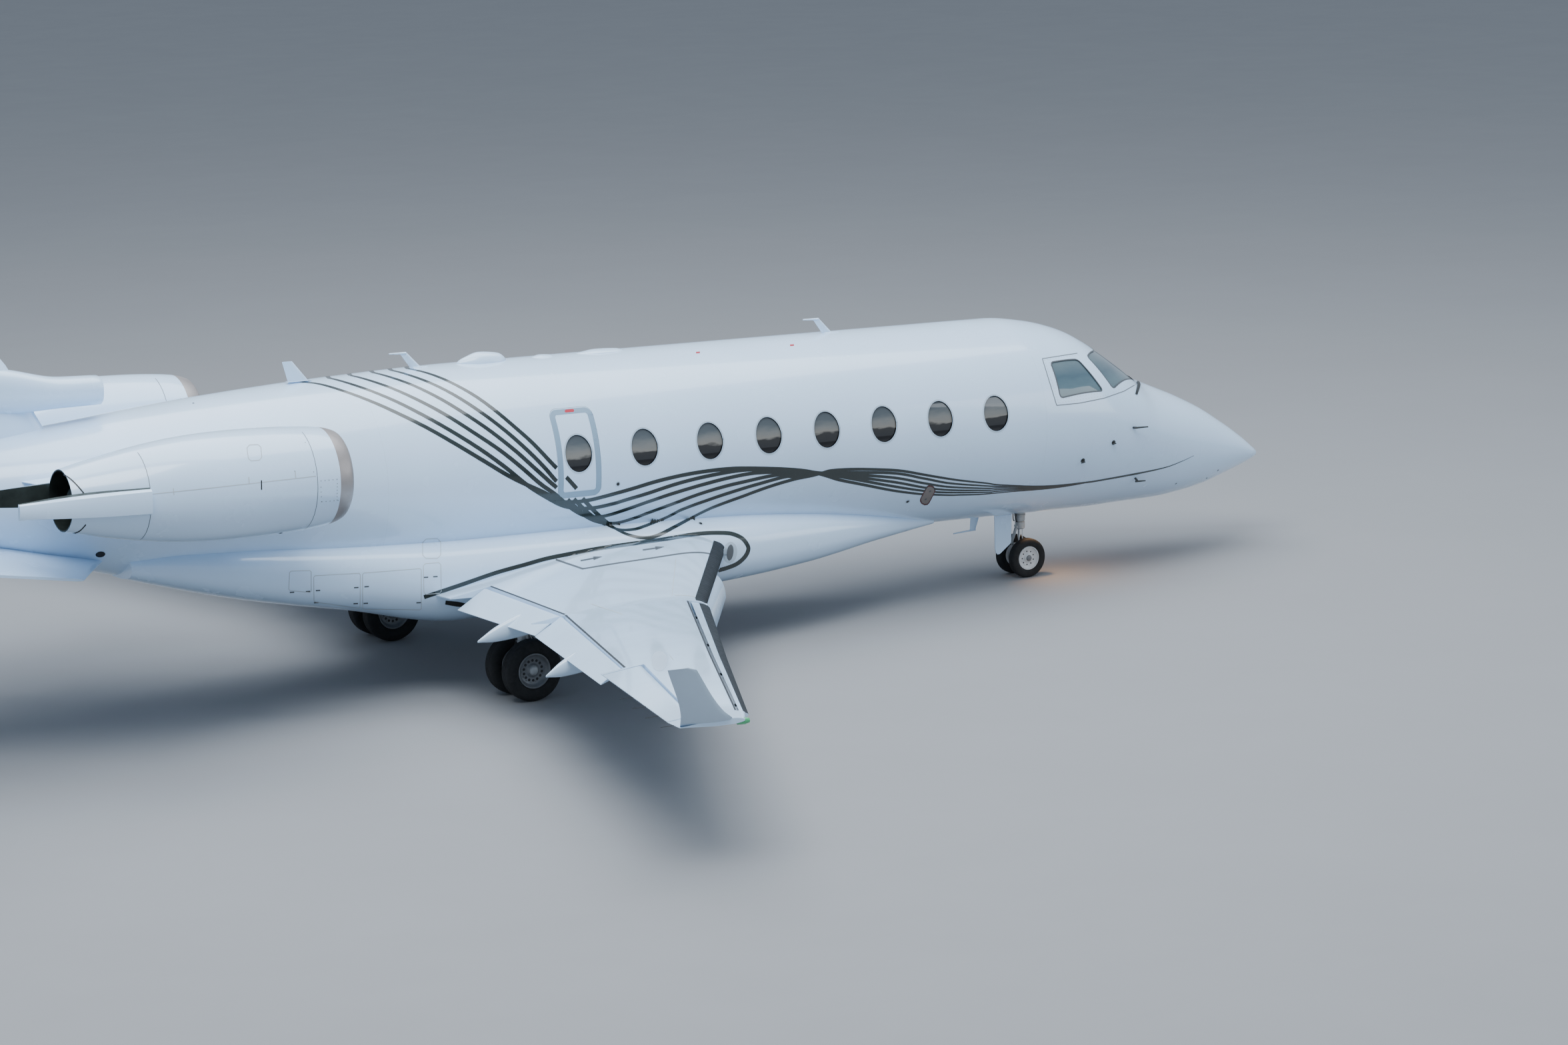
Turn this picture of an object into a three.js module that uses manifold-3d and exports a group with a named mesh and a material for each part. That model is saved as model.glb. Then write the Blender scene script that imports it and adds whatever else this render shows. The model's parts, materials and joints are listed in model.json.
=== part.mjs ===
// Twin-engined business jet, parked on its wheels with its flaps part lowered
// Millimetres. X points forward, Y to the left wing, Z up from the ground.
// The hull group leans nose down on the gear; inside it x = 0 is the main axle.
import * as THREE from 'three';
import { mergeVertices } from 'three/addons/utils/BufferGeometryUtils.js';
import Module from 'manifold-3d';

const wasm = await Module();
wasm.setup();

// Driving dimensions
const PITCH = THREE.MathUtils.degToRad(2.2);
const AXLE_X = -1283;
const FIT = 0.4;
const RUNNING_GAP = 7;
// Wider gap past the ends of a swept surface, whose corners move along its hinge as it swings
const SWING_GAP = 16;
const RUDDER_FOOT_GAP = 22;
const HULL_SIDES = 28;
const WALL = 65;
const HULL_RADIUS = 1137.5;
const HULL_AXIS_Z = 2187.5;

// Stations along the hull
const NOSE_JOINT_X = 9450;
const COCKPIT_BULKHEAD_X = 8900;
const COCKPIT_JOINT_X = 6950;
const REAR_JOINT_X = -1300;

// Cabin windows, the exit over the right wing and the door at the left front
const WINDOW_Z = 2440;
const WINDOW_WIDTH = 320;
const WINDOW_HEIGHT = 390;
const WINDOW_X = [1766, 2576, 3316, 4056, 4796, 5536];
const FRONT_WINDOW_X = 6276;
const EXIT_X = 960;
const EXIT_WIDTH = 520;
const EXIT_HEIGHT = 930;
const DOOR_REAR_X = 5920;
const DOOR_FRONT_X = 6690;
const DOOR_SILL_Z = 1360;
const DOOR_TOP_Z = 3010;
const FLOOR_TOP_Z = 1330;
const FLOOR_THICKNESS = 40;

// Wing, engines and wheels
const WING_TIP_Y = 8640;
const WING_TIP_Z = 1361;
const DIHEDRAL = Math.tan(THREE.MathUtils.degToRad(2));
const NACELLE_Y = 1850;
const NACELLE_Z = 2620;
const DUCT_RADIUS = 362;
const FAN_RADIUS = 351;
const TAILPLANE_Z = 4750;
const MAIN_TRACK_Y = 1680;
const MAIN_TWIN_Y = 190;
const MAIN_TYRE_RADIUS = 330;
const MAIN_TYRE_WIDTH = 172;
const WHEELBASE = 7380;
const NOSE_TWIN_Y = 137;
const NOSE_TYRE_RADIUS = 228.5;
const NOSE_TYRE_WIDTH = 112;

// Finishes
const paint = new THREE.MeshStandardMaterial({ color: 0xe9eef2, roughness: 0.22, metalness: 0.0 });
const greyPaint = new THREE.MeshStandardMaterial({ color: 0xc6ccd2, roughness: 0.4, metalness: 0.0 });
const metal = new THREE.MeshStandardMaterial({ color: 0x9b9a9c, roughness: 0.35, metalness: 0.9 });
const darkMetal = new THREE.MeshStandardMaterial({ color: 0x3c4040, roughness: 0.5, metalness: 0.8 });
const rubber = new THREE.MeshStandardMaterial({ color: 0x161718, roughness: 0.85, metalness: 0.0 });
const glass = new THREE.MeshStandardMaterial({ color: 0x2a3236, roughness: 0.05, metalness: 0.0 });
const trim = new THREE.MeshStandardMaterial({ color: 0x8a8378, roughness: 0.8, metalness: 0.0 });

const hull = new THREE.Group();
hull.rotation.y = PITCH;
hull.position.x = AXLE_X;
const ground = new THREE.Group();
ground.position.x = AXLE_X;
const aircraft = new THREE.Group();
aircraft.add(hull, ground);

// Solid helpers
function signedVolume(positions, index) {
  const [a, b, c] = [new THREE.Vector3(), new THREE.Vector3(), new THREE.Vector3()];
  let sum = 0;
  for (let i = 0; i < index.length; i += 3) {
    a.fromBufferAttribute(positions, index[i]);
    b.fromBufferAttribute(positions, index[i + 1]);
    c.fromBufferAttribute(positions, index[i + 2]);
    sum += a.dot(b.cross(c));
  }
  return sum;
}

function toSolid(geometry) {
  const bare = geometry.index ? geometry.toNonIndexed() : geometry.clone();
  bare.deleteAttribute('normal');
  bare.deleteAttribute('uv');
  const merged = mergeVertices(bare, 1e-3);
  const index = merged.index.array;
  const kept = [];
  for (let i = 0; i < index.length; i += 3) {
    const [a, b, c] = [index[i], index[i + 1], index[i + 2]];
    if (a !== b && b !== c && a !== c) kept.push(a, b, c);
  }
  if (signedVolume(merged.attributes.position, kept) < 0) kept.reverse();
  const mesh = new wasm.Mesh({
    numProp: 3,
    vertProperties: new Float32Array(merged.attributes.position.array),
    triVerts: new Uint32Array(kept),
  });
  return new wasm.Manifold(mesh);
}

function toGeometry(solid) {
  const mesh = solid.getMesh();
  const geometry = new THREE.BufferGeometry();
  geometry.setAttribute('position', new THREE.BufferAttribute(new Float32Array(mesh.vertProperties), 3));
  geometry.setIndex(new THREE.BufferAttribute(new Uint32Array(mesh.triVerts), 1));
  geometry.computeVertexNormals();
  return geometry;
}

function addPiece(group, name, solid, material, x = 0, y = 0, z = 0) {
  const mesh = new THREE.Mesh(toGeometry(solid), material.clone());
  mesh.name = name;
  mesh.position.set(x, y, z);
  group.add(mesh);
}

// Skin through closed loops of points, all of one count, with fans over both ends
function loft(loops) {
  const count = loops[0].length;
  const points = loops.flat();
  const index = [];
  for (let i = 0; i + 1 < loops.length; i++) {
    for (let j = 0; j < count; j++) {
      const k = (j + 1) % count;
      const [a, b, c, d] = [i * count + j, i * count + k, (i + 1) * count + j, (i + 1) * count + k];
      index.push(a, b, d, a, d, c);
    }
  }
  for (const [first, flip] of [[0, true], [(loops.length - 1) * count, false]]) {
    const centre = new THREE.Vector3();
    for (let j = 0; j < count; j++) centre.addScaledVector(points[first + j], 1 / count);
    points.push(centre);
    for (let j = 0; j < count; j++) {
      const [a, b] = [first + j, first + (j + 1) % count];
      index.push(...(flip ? [b, a, points.length - 1] : [a, b, points.length - 1]));
    }
  }
  const geometry = new THREE.BufferGeometry().setFromPoints(points);
  geometry.setIndex(index);
  return toSolid(geometry);
}

function box(x0, x1, y0, y1, z0, z1) {
  const geometry = new THREE.BoxGeometry(Math.abs(x1 - x0), Math.abs(y1 - y0), Math.abs(z1 - z0));
  geometry.translate((x0 + x1) / 2, (y0 + y1) / 2, (z0 + z1) / 2);
  return toSolid(geometry);
}

// Round bar between two points, with its corners on the given radius
function bar(from, to, radius, sides = 12, endRadius = radius) {
  const along = new THREE.Vector3().subVectors(to, from);
  const geometry = new THREE.CylinderGeometry(endRadius, radius, along.length(), sides);
  const turn = new THREE.Quaternion().setFromUnitVectors(new THREE.Vector3(0, 1, 0), along.normalize());
  geometry.applyQuaternion(turn);
  const middle = new THREE.Vector3().addVectors(from, to).multiplyScalar(0.5);
  geometry.translate(middle.x, middle.y, middle.z);
  return toSolid(geometry);
}

// Body of revolution about X or Y from a closed profile of [along, radius] pairs
function turned(profile, axis, sides, startAngle = 0) {
  const points = profile.map(([along, radius]) => new THREE.Vector2(radius, along));
  const geometry = new THREE.LatheGeometry(points, sides, startAngle);
  if (axis === 'x') geometry.rotateZ(-Math.PI / 2);
  return toSolid(geometry);
}

// Plan outline of [x, y] pairs raised from z0 to z1
function plate(outline, z0, z1) {
  const shape = new THREE.Shape(outline.map(([x, y]) => new THREE.Vector2(x, y)));
  const geometry = new THREE.ExtrudeGeometry(shape, { depth: z1 - z0, bevelEnabled: false });
  geometry.translate(0, 0, z0);
  return toSolid(geometry);
}

// Side outline of [x, z] pairs carried from y0 to y1
function sidePlate(outline, y0, y1) {
  const shape = new THREE.Shape(outline.map(([x, z]) => new THREE.Vector2(x, z)));
  const geometry = new THREE.ExtrudeGeometry(shape, { depth: Math.abs(y1 - y0), bevelEnabled: false });
  geometry.rotateX(Math.PI / 2);
  geometry.translate(0, Math.max(y0, y1), 0);
  return toSolid(geometry);
}

function roundedOutline(x, z, width, height, radius) {
  const outline = [];
  for (const [sx, sz, start] of [[1, 1, 0], [-1, 1, 90], [-1, -1, 180], [1, -1, 270]]) {
    for (let step = 0; step <= 3; step++) {
      const angle = THREE.MathUtils.degToRad(start + step * 30);
      const cx = x + sx * (width / 2 - radius);
      const cz = z + sz * (height / 2 - radius);
      outline.push([cx + radius * Math.cos(angle), cz + radius * Math.sin(angle)]);
    }
  }
  return outline;
}

function ovalOutline(x, z, width, height, sides = 12) {
  const outline = [];
  for (let i = 0; i < sides; i++) {
    const angle = ((i + 0.5) / sides) * 2 * Math.PI;
    outline.push([x + (width / 2) * Math.cos(angle), z + (height / 2) * Math.sin(angle)]);
  }
  return outline;
}

// Loop across X, oval or, with a power under one, fuller at the corners
function roundLoop(x, y, z, halfWidth, halfHeight, sides, power = 1) {
  const loop = [];
  for (let i = 0; i < sides; i++) {
    const angle = ((i + 0.5) / sides) * 2 * Math.PI;
    const [s, c] = [Math.sin(angle), Math.cos(angle)];
    const across = halfWidth * Math.sign(s) * Math.abs(s) ** power;
    loop.push(new THREE.Vector3(x, y + across, z + halfHeight * Math.sign(c) * Math.abs(c) ** power));
  }
  return loop;
}

function lerp(a, b, t) {
  return a + (b - a) * t;
}

function between(table, at) {
  let i = 0;
  while (i < table.length - 2 && (table[i + 1][0] - at) * Math.sign(table[1][0] - table[0][0]) < 0) i++;
  const t = (at - table[i][0]) / (table[i + 1][0] - table[i][0]);
  return table[i].map((value, column) => lerp(value, table[i + 1][column], t));
}

// Hull sections. Columns: x, crown z, keel z, half width, z of the widest place
const HULL = [
  [-8270, 2600, 2390, 100, 2500],
  [-7200, 2770, 2200, 300, 2480],
  [-5800, 2915, 1880, 550, 2420],
  [-4400, 3055, 1520, 800, 2330],
  [-3000, 3190, 1200, 1000, 2250],
  [-1300, 3290, 1050, 1120, 2190],
  [0, 3325, 1050, HULL_RADIUS, HULL_AXIS_Z],
  [6900, 3320, 1045, HULL_RADIUS, HULL_AXIS_Z],
  [7350, 3266, 1040, 1130, 2170],
  [7750, 3159, 1040, 1100, 2130],
  [8100, 2978, 1040, 1040, 2060],
  [8450, 2748, 1050, 955, 1970],
  [8750, 2533, 1055, 860, 1870],
  [9050, 2406, 1060, 755, 1770],
  [9400, 2264, 1090, 635, 1680],
  [9750, 2099, 1145, 510, 1610],
  [10100, 1891, 1240, 380, 1550],
  [10400, 1690, 1330, 250, 1500],
  [10580, 1550, 1395, 150, 1465],
  [10690, 1462, 1440, 20, 1450],
];

function hullLoop(x, offset) {
  const [, crown, keel, halfWidth, middle] = between(HULL, x);
  const loop = [];
  for (let i = 0; i < HULL_SIDES; i++) {
    const angle = ((i + 0.5) / HULL_SIDES) * 2 * Math.PI;
    const height = Math.cos(angle) > 0 ? crown - middle : middle - keel;
    const y = (halfWidth + offset) * Math.sin(angle);
    loop.push(new THREE.Vector3(x, y, middle + (height + offset) * Math.cos(angle)));
  }
  return loop;
}

function hullBetween(x0, x1, offset = 0) {
  const inside = HULL.map((row) => row[0]).filter((x) => x > x0 + 1 && x < x1 - 1);
  return loft([x0, ...inside, x1].map((x) => hullLoop(x, offset)));
}

// Cockpit panes as corners on the right side, with y outwards. Columns: x, y, z
const PILOT_EYE = new THREE.Vector3(7450, 0, 2300);
const SIDE_PANE = [[7167, 845, 2917], [7590, 770, 2908], [7811, 982, 2556], [7163, 1071, 2540]];
const FRONT_PANE = [
  [7772, 694, 2916], [8068, 408, 2921], [8130, 30, 2950],
  [8730, 30, 2545], [8621, 438, 2535], [7989, 918, 2557],
];

function paneCutter(corners, side, shrink) {
  const points = corners.map(([x, y, z]) => new THREE.Vector3(x, y * side, z));
  const centre = new THREE.Vector3();
  for (const point of points) centre.addScaledVector(point, 1 / points.length);
  const near = points.map((point) => {
    const pulled = point.clone().lerp(centre, shrink);
    return pulled.lerpVectors(PILOT_EYE, pulled, 0.7);
  });
  const far = near.map((point) => new THREE.Vector3().lerpVectors(PILOT_EYE, point, 1.25 / 0.7));
  return loft([near, far]);
}

// Wing sections. Columns: y, leading x, trailing x, thickness over chord, rise of the leading edge
const WING = [
  [1050, 2820, -830, 0.112, 190],
  [1500, 2520, -790, 0.112, 150],
  [3300, 1290, -735, 0.112, 0],
  [6000, -40, -1420, 0.108, 0],
  [8350, -1170, -2000, 0.1, 0],
  [WING_TIP_Y, -1340, -2030, 0.085, 0],
];
// Section shape. Columns: share of chord, upper and lower share of thickness
const SECTION = [
  [0, 0, 0],
  [0.015, 0.2, -0.16],
  [0.06, 0.36, -0.28],
  [0.18, 0.52, -0.42],
  [0.4, 0.56, -0.44],
  [0.65, 0.42, -0.28],
  [0.85, 0.19, -0.11],
  [1, 0.015, -0.015],
];

function wingHeight(y) {
  return WING_TIP_Z - (8850 - y) * DIHEDRAL;
}

function sectionOutline(lead, chord, thickness) {
  const upper = SECTION.map(([share, above]) => [lead - share * chord, above * thickness]);
  const lower = SECTION.slice(1).reverse()
    .map(([share, , below]) => [lead - share * chord, below * thickness]);
  return [...upper, ...lower];
}

function wingSurface(y, x) {
  const [, lead, trail, ratio, rise] = between(WING, y);
  const chord = lead - trail;
  const [, above, below] = between(SECTION, (lead - x) / chord);
  const middle = wingHeight(y) + (rise * (x - trail)) / chord;
  return [middle + above * ratio * chord, middle + below * ratio * chord];
}

function wingBlank(side) {
  return loft(WING.map(([y, lead, trail, ratio, rise]) => {
    const chord = lead - trail;
    return sectionOutline(lead, chord, chord * ratio)
      .map(([x, z]) => new THREE.Vector3(x, y * side, wingHeight(y) + (rise * (x - trail)) / chord + z));
  }));
}

// Hinged surface: round nose about its hinge line, thin tail
function controlSurface(stations) {
  const axis = new THREE.Vector3().subVectors(stations[1].hinge, stations[0].hinge).normalize();
  return loft(stations.map(({ hinge, tail, radius }) => {
    const chord = new THREE.Vector3().subVectors(tail, hinge).normalize();
    const up = new THREE.Vector3().crossVectors(axis, chord).normalize();
    const loop = [tail.clone().addScaledVector(up, 3)];
    for (let step = 0; step <= 6; step++) {
      const angle = (step / 6) * Math.PI;
      const point = hinge.clone().addScaledVector(up, radius * Math.cos(angle));
      loop.push(point.addScaledVector(chord, -radius * Math.sin(angle)));
    }
    loop.push(tail.clone().addScaledVector(up, -3));
    return loop;
  }));
}

// Hinge pins at both ends of a surface, and the wider bores that take them
const PIN_RADIUS = 8;
const PIN_SIDES = 12;
const AXLE_SIDES = 24;
const PIN_REACH = 32;
function hingePins(stations, extra = 0) {
  const [from, to] = [stations[0].hinge, stations[1].hinge];
  const along = new THREE.Vector3().subVectors(to, from).normalize();
  const radius = extra ? (PIN_RADIUS + extra) / Math.cos(Math.PI / PIN_SIDES) : PIN_RADIUS;
  const reach = PIN_REACH + extra;
  const inset = 20;
  const ends = [
    [from.clone().addScaledVector(along, -reach), from.clone().addScaledVector(along, inset)],
    [to.clone().addScaledVector(along, -inset), to.clone().addScaledVector(along, reach)],
  ];
  return ends.map(([a, b]) => bar(a, b, radius, PIN_SIDES)).reduce((sum, pin) => sum.add(pin));
}

// Hull shells
const BEYOND_WALL = 1300;
const WITHIN_WALL = 600;
function windowCutter(x, y0, y1, shrink = 0) {
  return sidePlate(ovalOutline(x, WINDOW_Z, WINDOW_WIDTH - 2 * shrink, WINDOW_HEIGHT - 2 * shrink), y0, y1);
}
const windowCutters = WINDOW_X.map((x) => windowCutter(x, -BEYOND_WALL, BEYOND_WALL));
const frontWindow = windowCutter(FRONT_WINDOW_X, -BEYOND_WALL, -WITHIN_WALL);
const rearWindow = windowCutter(EXIT_X, WITHIN_WALL, BEYOND_WALL);

function exitCutter(extra) {
  const outline = roundedOutline(EXIT_X, WINDOW_Z, EXIT_WIDTH + 2 * extra, EXIT_HEIGHT + 2 * extra, 90);
  return sidePlate(outline, -BEYOND_WALL, -WITHIN_WALL);
}

function doorCutter(extra) {
  const x = (DOOR_REAR_X + DOOR_FRONT_X) / 2;
  const z = (DOOR_SILL_Z + DOOR_TOP_Z) / 2;
  const width = DOOR_FRONT_X - DOOR_REAR_X + 2 * extra;
  const height = DOOR_TOP_Z - DOOR_SILL_Z + 2 * extra;
  return sidePlate(roundedOutline(x, z, width, height, 80), 400, BEYOND_WALL);
}

const cabinWall = hullBetween(REAR_JOINT_X, COCKPIT_JOINT_X - FIT)
  .subtract(hullBetween(REAR_JOINT_X - 10, COCKPIT_JOINT_X + 10, -WALL));

// Blade and rod aerials along the crown. Columns: foot x, top x, top z, foot chord, thickness
const BLADES = [
  [-1760, -1930, 3500, 170, 16],
  [-380, -420, 3470, 70, 12],
  [4760, 4720, 3470, 70, 12],
];
// Arms of the two angled aerials. Columns: front x, rear x, z
const AERIAL_ARMS = [[-380, -700, 3505], [4790, 4430, 3505]];
// Low domes on the crown. Columns: rear x, front x, height, half width
const DOMES = [[60, 660, 120, 110], [960, 1240, 35, 90], [1500, 2120, 45, 110]];
// Columns: share of the dome's length, share of its height
const DOME_SHAPE = [[0, 0.12], [0.2, 0.62], [0.45, 1], [0.83, 0.8], [1, 0.15]];
const CROWN_Z = 3325;

function crownFittings() {
  const list = BLADES.map(([foot, top, topZ, chord, thickness]) => sidePlate([
    [foot + chord / 2, CROWN_Z - 90], [foot - chord / 2, CROWN_Z - 90],
    [top - chord * 0.35, topZ], [top + chord * 0.3, topZ],
  ], -thickness / 2, thickness / 2));
  for (const [front, rear, z] of AERIAL_ARMS) list.push(box(rear, front, -10, 10, z - 38, z));
  for (const [rear, front, height, halfWidth] of DOMES) {
    list.push(loft(DOME_SHAPE.map(([along, share]) => {
      const x = lerp(rear, front, along);
      return roundLoop(x, 0, CROWN_Z - 12, halfWidth * share, height * share, 10);
    })));
  }
  return list.reduce((sum, piece) => sum.add(piece));
}

const cabinHollow = hullBetween(REAR_JOINT_X - 10, COCKPIT_JOINT_X + 10, -WALL);
const behind = (x) => box(-9000, x, -900, 900, 0, 4000);
const fittings = crownFittings();
const rearFittings = fittings.intersect(behind(REAR_JOINT_X - FIT));
let cabin = cabinWall.add(fittings.subtract(cabinHollow).subtract(behind(REAR_JOINT_X + FIT)));
for (const cutter of [...windowCutters, frontWindow, rearWindow]) cabin = cabin.subtract(cutter);
cabin = cabin.subtract(exitCutter(FIT)).subtract(doorCutter(RUNNING_GAP));

// Hinge tube along the door's sill, turning in a lug of the hull at each end
const HINGE = { radius: 9, lugRadius: 20, lugLength: 30, stand: 4 };
const sillY = Math.sqrt(HULL_RADIUS ** 2 - (HULL_AXIS_Z - DOOR_SILL_Z) ** 2);
function hingeBar(rear, front, radius, sides = AXLE_SIDES) {
  const [y, z] = [sillY + HINGE.stand, DOOR_SILL_Z];
  return bar(new THREE.Vector3(rear, y, z), new THREE.Vector3(front, y, z), radius, sides);
}
const lugFaces = [DOOR_REAR_X - RUNNING_GAP, DOOR_FRONT_X + RUNNING_GAP];
const hingeEnds = [lugFaces[0] - HINGE.lugLength, lugFaces[1] + HINGE.lugLength];
const hingeBore = (HINGE.radius + FIT) / Math.cos(Math.PI / AXLE_SIDES);
cabin = cabin
  .add(hingeBar(hingeEnds[0], lugFaces[0], HINGE.lugRadius))
  .add(hingeBar(lugFaces[1], hingeEnds[1], HINGE.lugRadius))
  .subtract(cabinHollow)
  .subtract(hingeBar(...lugFaces, HINGE.radius + RUNNING_GAP))
  .subtract(hingeBar(hingeEnds[0] - 1, hingeEnds[1] + 1, hingeBore));
addPiece(hull, 'cabin_section', cabin, paint);

const EXIT_RECESS = 50;
const exitRecess = windowCutter(EXIT_X, -BEYOND_WALL, -HULL_RADIUS + EXIT_RECESS);
addPiece(hull, 'emergency_exit', cabinWall.intersect(exitCutter(0)).subtract(exitRecess), paint);
const door = cabinWall.intersect(doorCutter(0)).add(hingeBar(...hingeEnds, HINGE.radius));
addPiece(hull, 'entry_door', door, paint);

// Nose leg bay: a box open below, whose side walls carry the leg's cross pin
const NOSE_BAY = { rear: 7010, front: 7700, halfWidth: 200, wall: 22, foot: 1085 };
const NOSE_BAY_TOP = FLOOR_TOP_Z - FLOOR_THICKNESS - 1;
const bayReach = NOSE_BAY.halfWidth + NOSE_BAY.wall;
const bayOuter = box(NOSE_BAY.rear, NOSE_BAY.front, -bayReach, bayReach, NOSE_BAY.foot, NOSE_BAY_TOP);
const bayInner = box(NOSE_BAY.rear + NOSE_BAY.wall, NOSE_BAY.front - NOSE_BAY.wall,
  -NOSE_BAY.halfWidth, NOSE_BAY.halfWidth, 900, NOSE_BAY_TOP - NOSE_BAY.wall);

// Flat round pads that a jack bears on. Columns: x, y, z of the face
const JACK_PAD = { radius: 38, depth: 60 };
const NOSE_JACK = [8300, 0, 1022];
const WING_JACK = [480, 2120, 1030];
function jackPad(x, y, z) {
  const top = new THREE.Vector3(x, y, z + JACK_PAD.depth);
  return bar(new THREE.Vector3(x, y, z), top, JACK_PAD.radius, 16);
}
let cockpit = hullBetween(COCKPIT_JOINT_X, NOSE_JOINT_X - FIT)
  .subtract(hullBetween(COCKPIT_JOINT_X - 10, COCKPIT_BULKHEAD_X, -WALL))
  .add(bayOuter)
  .add(jackPad(...NOSE_JACK))
  .subtract(bayInner);
for (const side of [-1, 1]) {
  cockpit = cockpit.subtract(paneCutter(SIDE_PANE, side, 0)).subtract(paneCutter(FRONT_PANE, side, 0));
}
addPiece(hull, 'cockpit_section', cockpit, paint);

const PANE_DEPTH = 12;
const PANE_THICKNESS = 20;
const paneSkin = hullBetween(COCKPIT_JOINT_X, NOSE_JOINT_X, -PANE_DEPTH)
  .subtract(hullBetween(COCKPIT_JOINT_X - 10, NOSE_JOINT_X + 10, -PANE_DEPTH - PANE_THICKNESS));
for (const [label, side] of [['left', 1], ['right', -1]]) {
  addPiece(hull, `side_window_${label}`, paneSkin.intersect(paneCutter(SIDE_PANE, side, 0.004)), glass);
  addPiece(hull, `windshield_${label}`, paneSkin.intersect(paneCutter(FRONT_PANE, side, 0.004)), glass);
}
addPiece(hull, 'nose_cone', hullBetween(NOSE_JOINT_X, HULL[HULL.length - 1][0]), paint);

// Cabin panes: a strip behind the wall on each side with an oval pane raised into each window
const STRIP_THICKNESS = 12;
const STRIP_HALF_HEIGHT = 245;
const PANE_INSET = 15;
const stripHollow = hullBetween(-10, 6910, -WALL - FIT - STRIP_THICKNESS);
const stripRing = hullBetween(0, 6900, -WALL - FIT).subtract(stripHollow);
const paneRing = hullBetween(0, 6900, -PANE_INSET).subtract(stripHollow);
const stripZ = [WINDOW_Z - STRIP_HALF_HEIGHT, WINDOW_Z + STRIP_HALF_HEIGHT];
const stripEnds = {
  left: [EXIT_X - 260, DOOR_REAR_X - 60, [EXIT_X, ...WINDOW_X]],
  right: [WINDOW_X[0] - 260, FRONT_WINDOW_X + 260, [...WINDOW_X, FRONT_WINDOW_X]],
};
for (const [label, side] of [['left', 1], ['right', -1]]) {
  const [rear, front, windows] = stripEnds[label];
  const reach = [side * WITHIN_WALL, side * BEYOND_WALL];
  let strip = stripRing.intersect(box(rear, front, ...reach, ...stripZ));
  for (const x of windows) strip = strip.add(paneRing.intersect(windowCutter(x, ...reach, FIT)));
  addPiece(hull, `cabin_glass_${label}`, strip, glass);
}

// Cabin floor, flight deck panel and seats
const floorEnds = [REAR_JOINT_X + FIT, COCKPIT_BULKHEAD_X - FIT];
const floorPlate = hullBetween(...floorEnds, -WALL - FIT)
  .intersect(box(...floorEnds, -900, 900, FLOOR_TOP_Z - FLOOR_THICKNESS, FLOOR_TOP_Z));
addPiece(hull, 'cabin_floor', floorPlate, trim);

const PANEL_X = 8060;
const panelOutline = [
  [PANEL_X + 520, 1900], [PANEL_X + 520, 2330], [PANEL_X + 160, 2470], [PANEL_X + 60, 2440],
  [PANEL_X, 2020], [PANEL_X - 60, FLOOR_TOP_Z + FIT], [PANEL_X + 200, FLOOR_TOP_Z + FIT],
  [PANEL_X + 260, 1900],
];
const panel = sidePlate(panelOutline, -780, 780)
  .intersect(hullBetween(COCKPIT_JOINT_X, COCKPIT_BULKHEAD_X, -WALL - 20));
addPiece(hull, 'instrument_panel', panel, darkMetal);

const SEAT_X = 7200;
const SEAT_FOOT_Z = FLOOR_TOP_Z + FIT;
const seatOutline = [
  [0, 0], [420, 0], [440, 380], [520, 410], [520, 520], [110, 500], [10, 1130], [-110, 1120],
  [-60, 400], [0, 360],
];
const seatRoom = hullBetween(COCKPIT_JOINT_X, COCKPIT_BULKHEAD_X, -WALL - 40)
  .translate(-SEAT_X, 0, -SEAT_FOOT_Z);
for (const [label, side] of [['left', 1], ['right', -1]]) {
  const seat = sidePlate(seatOutline, side * 240, side * 680).intersect(seatRoom);
  addPiece(hull, `pilot_seat_${label}`, seat, trim, SEAT_X, 0, SEAT_FOOT_Z);
}

// Belly fairing sections. Columns: x, half width, bottom z, top z
const FAIRING = [
  [-4000, 620, 1420, 1720],
  [-3480, 860, 1275, 1800],
  [-2700, 1060, 1085, 1800],
  [-1570, 1190, 870, 1760],
  [-340, 1265, 640, 1720],
  [1500, 1280, 655, 1700],
  [3000, 1235, 750, 1640],
  [4000, 1080, 840, 1560],
  [5030, 800, 985, 1400],
  [5900, 430, 1062, 1200],
];

const FAIRING_POWER = 0.72;

function fairingSolid(extra) {
  return loft(FAIRING.map(([x, halfWidth, bottom, top]) => roundLoop(x, 0, (bottom + top) / 2,
    halfWidth + extra, (top - bottom) / 2 + extra, 24, FAIRING_POWER)));
}
const fairing = fairingSolid(0).subtract(hullBetween(-5000, 7000, FIT));
const fairingGrown = fairingSolid(FIT + 0.1);

// Wings with their moving and lowered surfaces
const FLAP_DROOP = THREE.MathUtils.degToRad(25);
// Flaps. Columns: name, inner y, hinge x, tail x, radius, outer y, hinge x, tail x, radius
const FLAPS = [
  ['inboard', 1512, -375, -735, 46, 3245, -400, -720, 36],
  ['outboard', 3270, -405, -735, 35, 5985, -1190, -1437, 24],
];
const AILERON = { inner: 6060, outer: 8340, share: 0.7 };
const SLAT = { inner: 3480, outer: 8380, share: 0.115, forward: 32, down: 20 };
// Fairings of the flap tracks. Columns: y, nose x, tip x, tip z
const TRACKS = [[2600, 150, -1020, 880], [4600, -300, -1280, 945]];
// Columns: share of the fairing's length, share of its size, share of its drop
const TRACK_SHAPE = [[0, 0.2, 0], [0.2, 0.9, 0.1], [0.55, 1, 0.35], [0.8, 0.7, 0.68], [1, 0.08, 1]];

function onWing(side, y, x, lift = 0) {
  const [above, below] = wingSurface(y, x);
  return new THREE.Vector3(x, y * side, (above + below) / 2 + lift);
}

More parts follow.
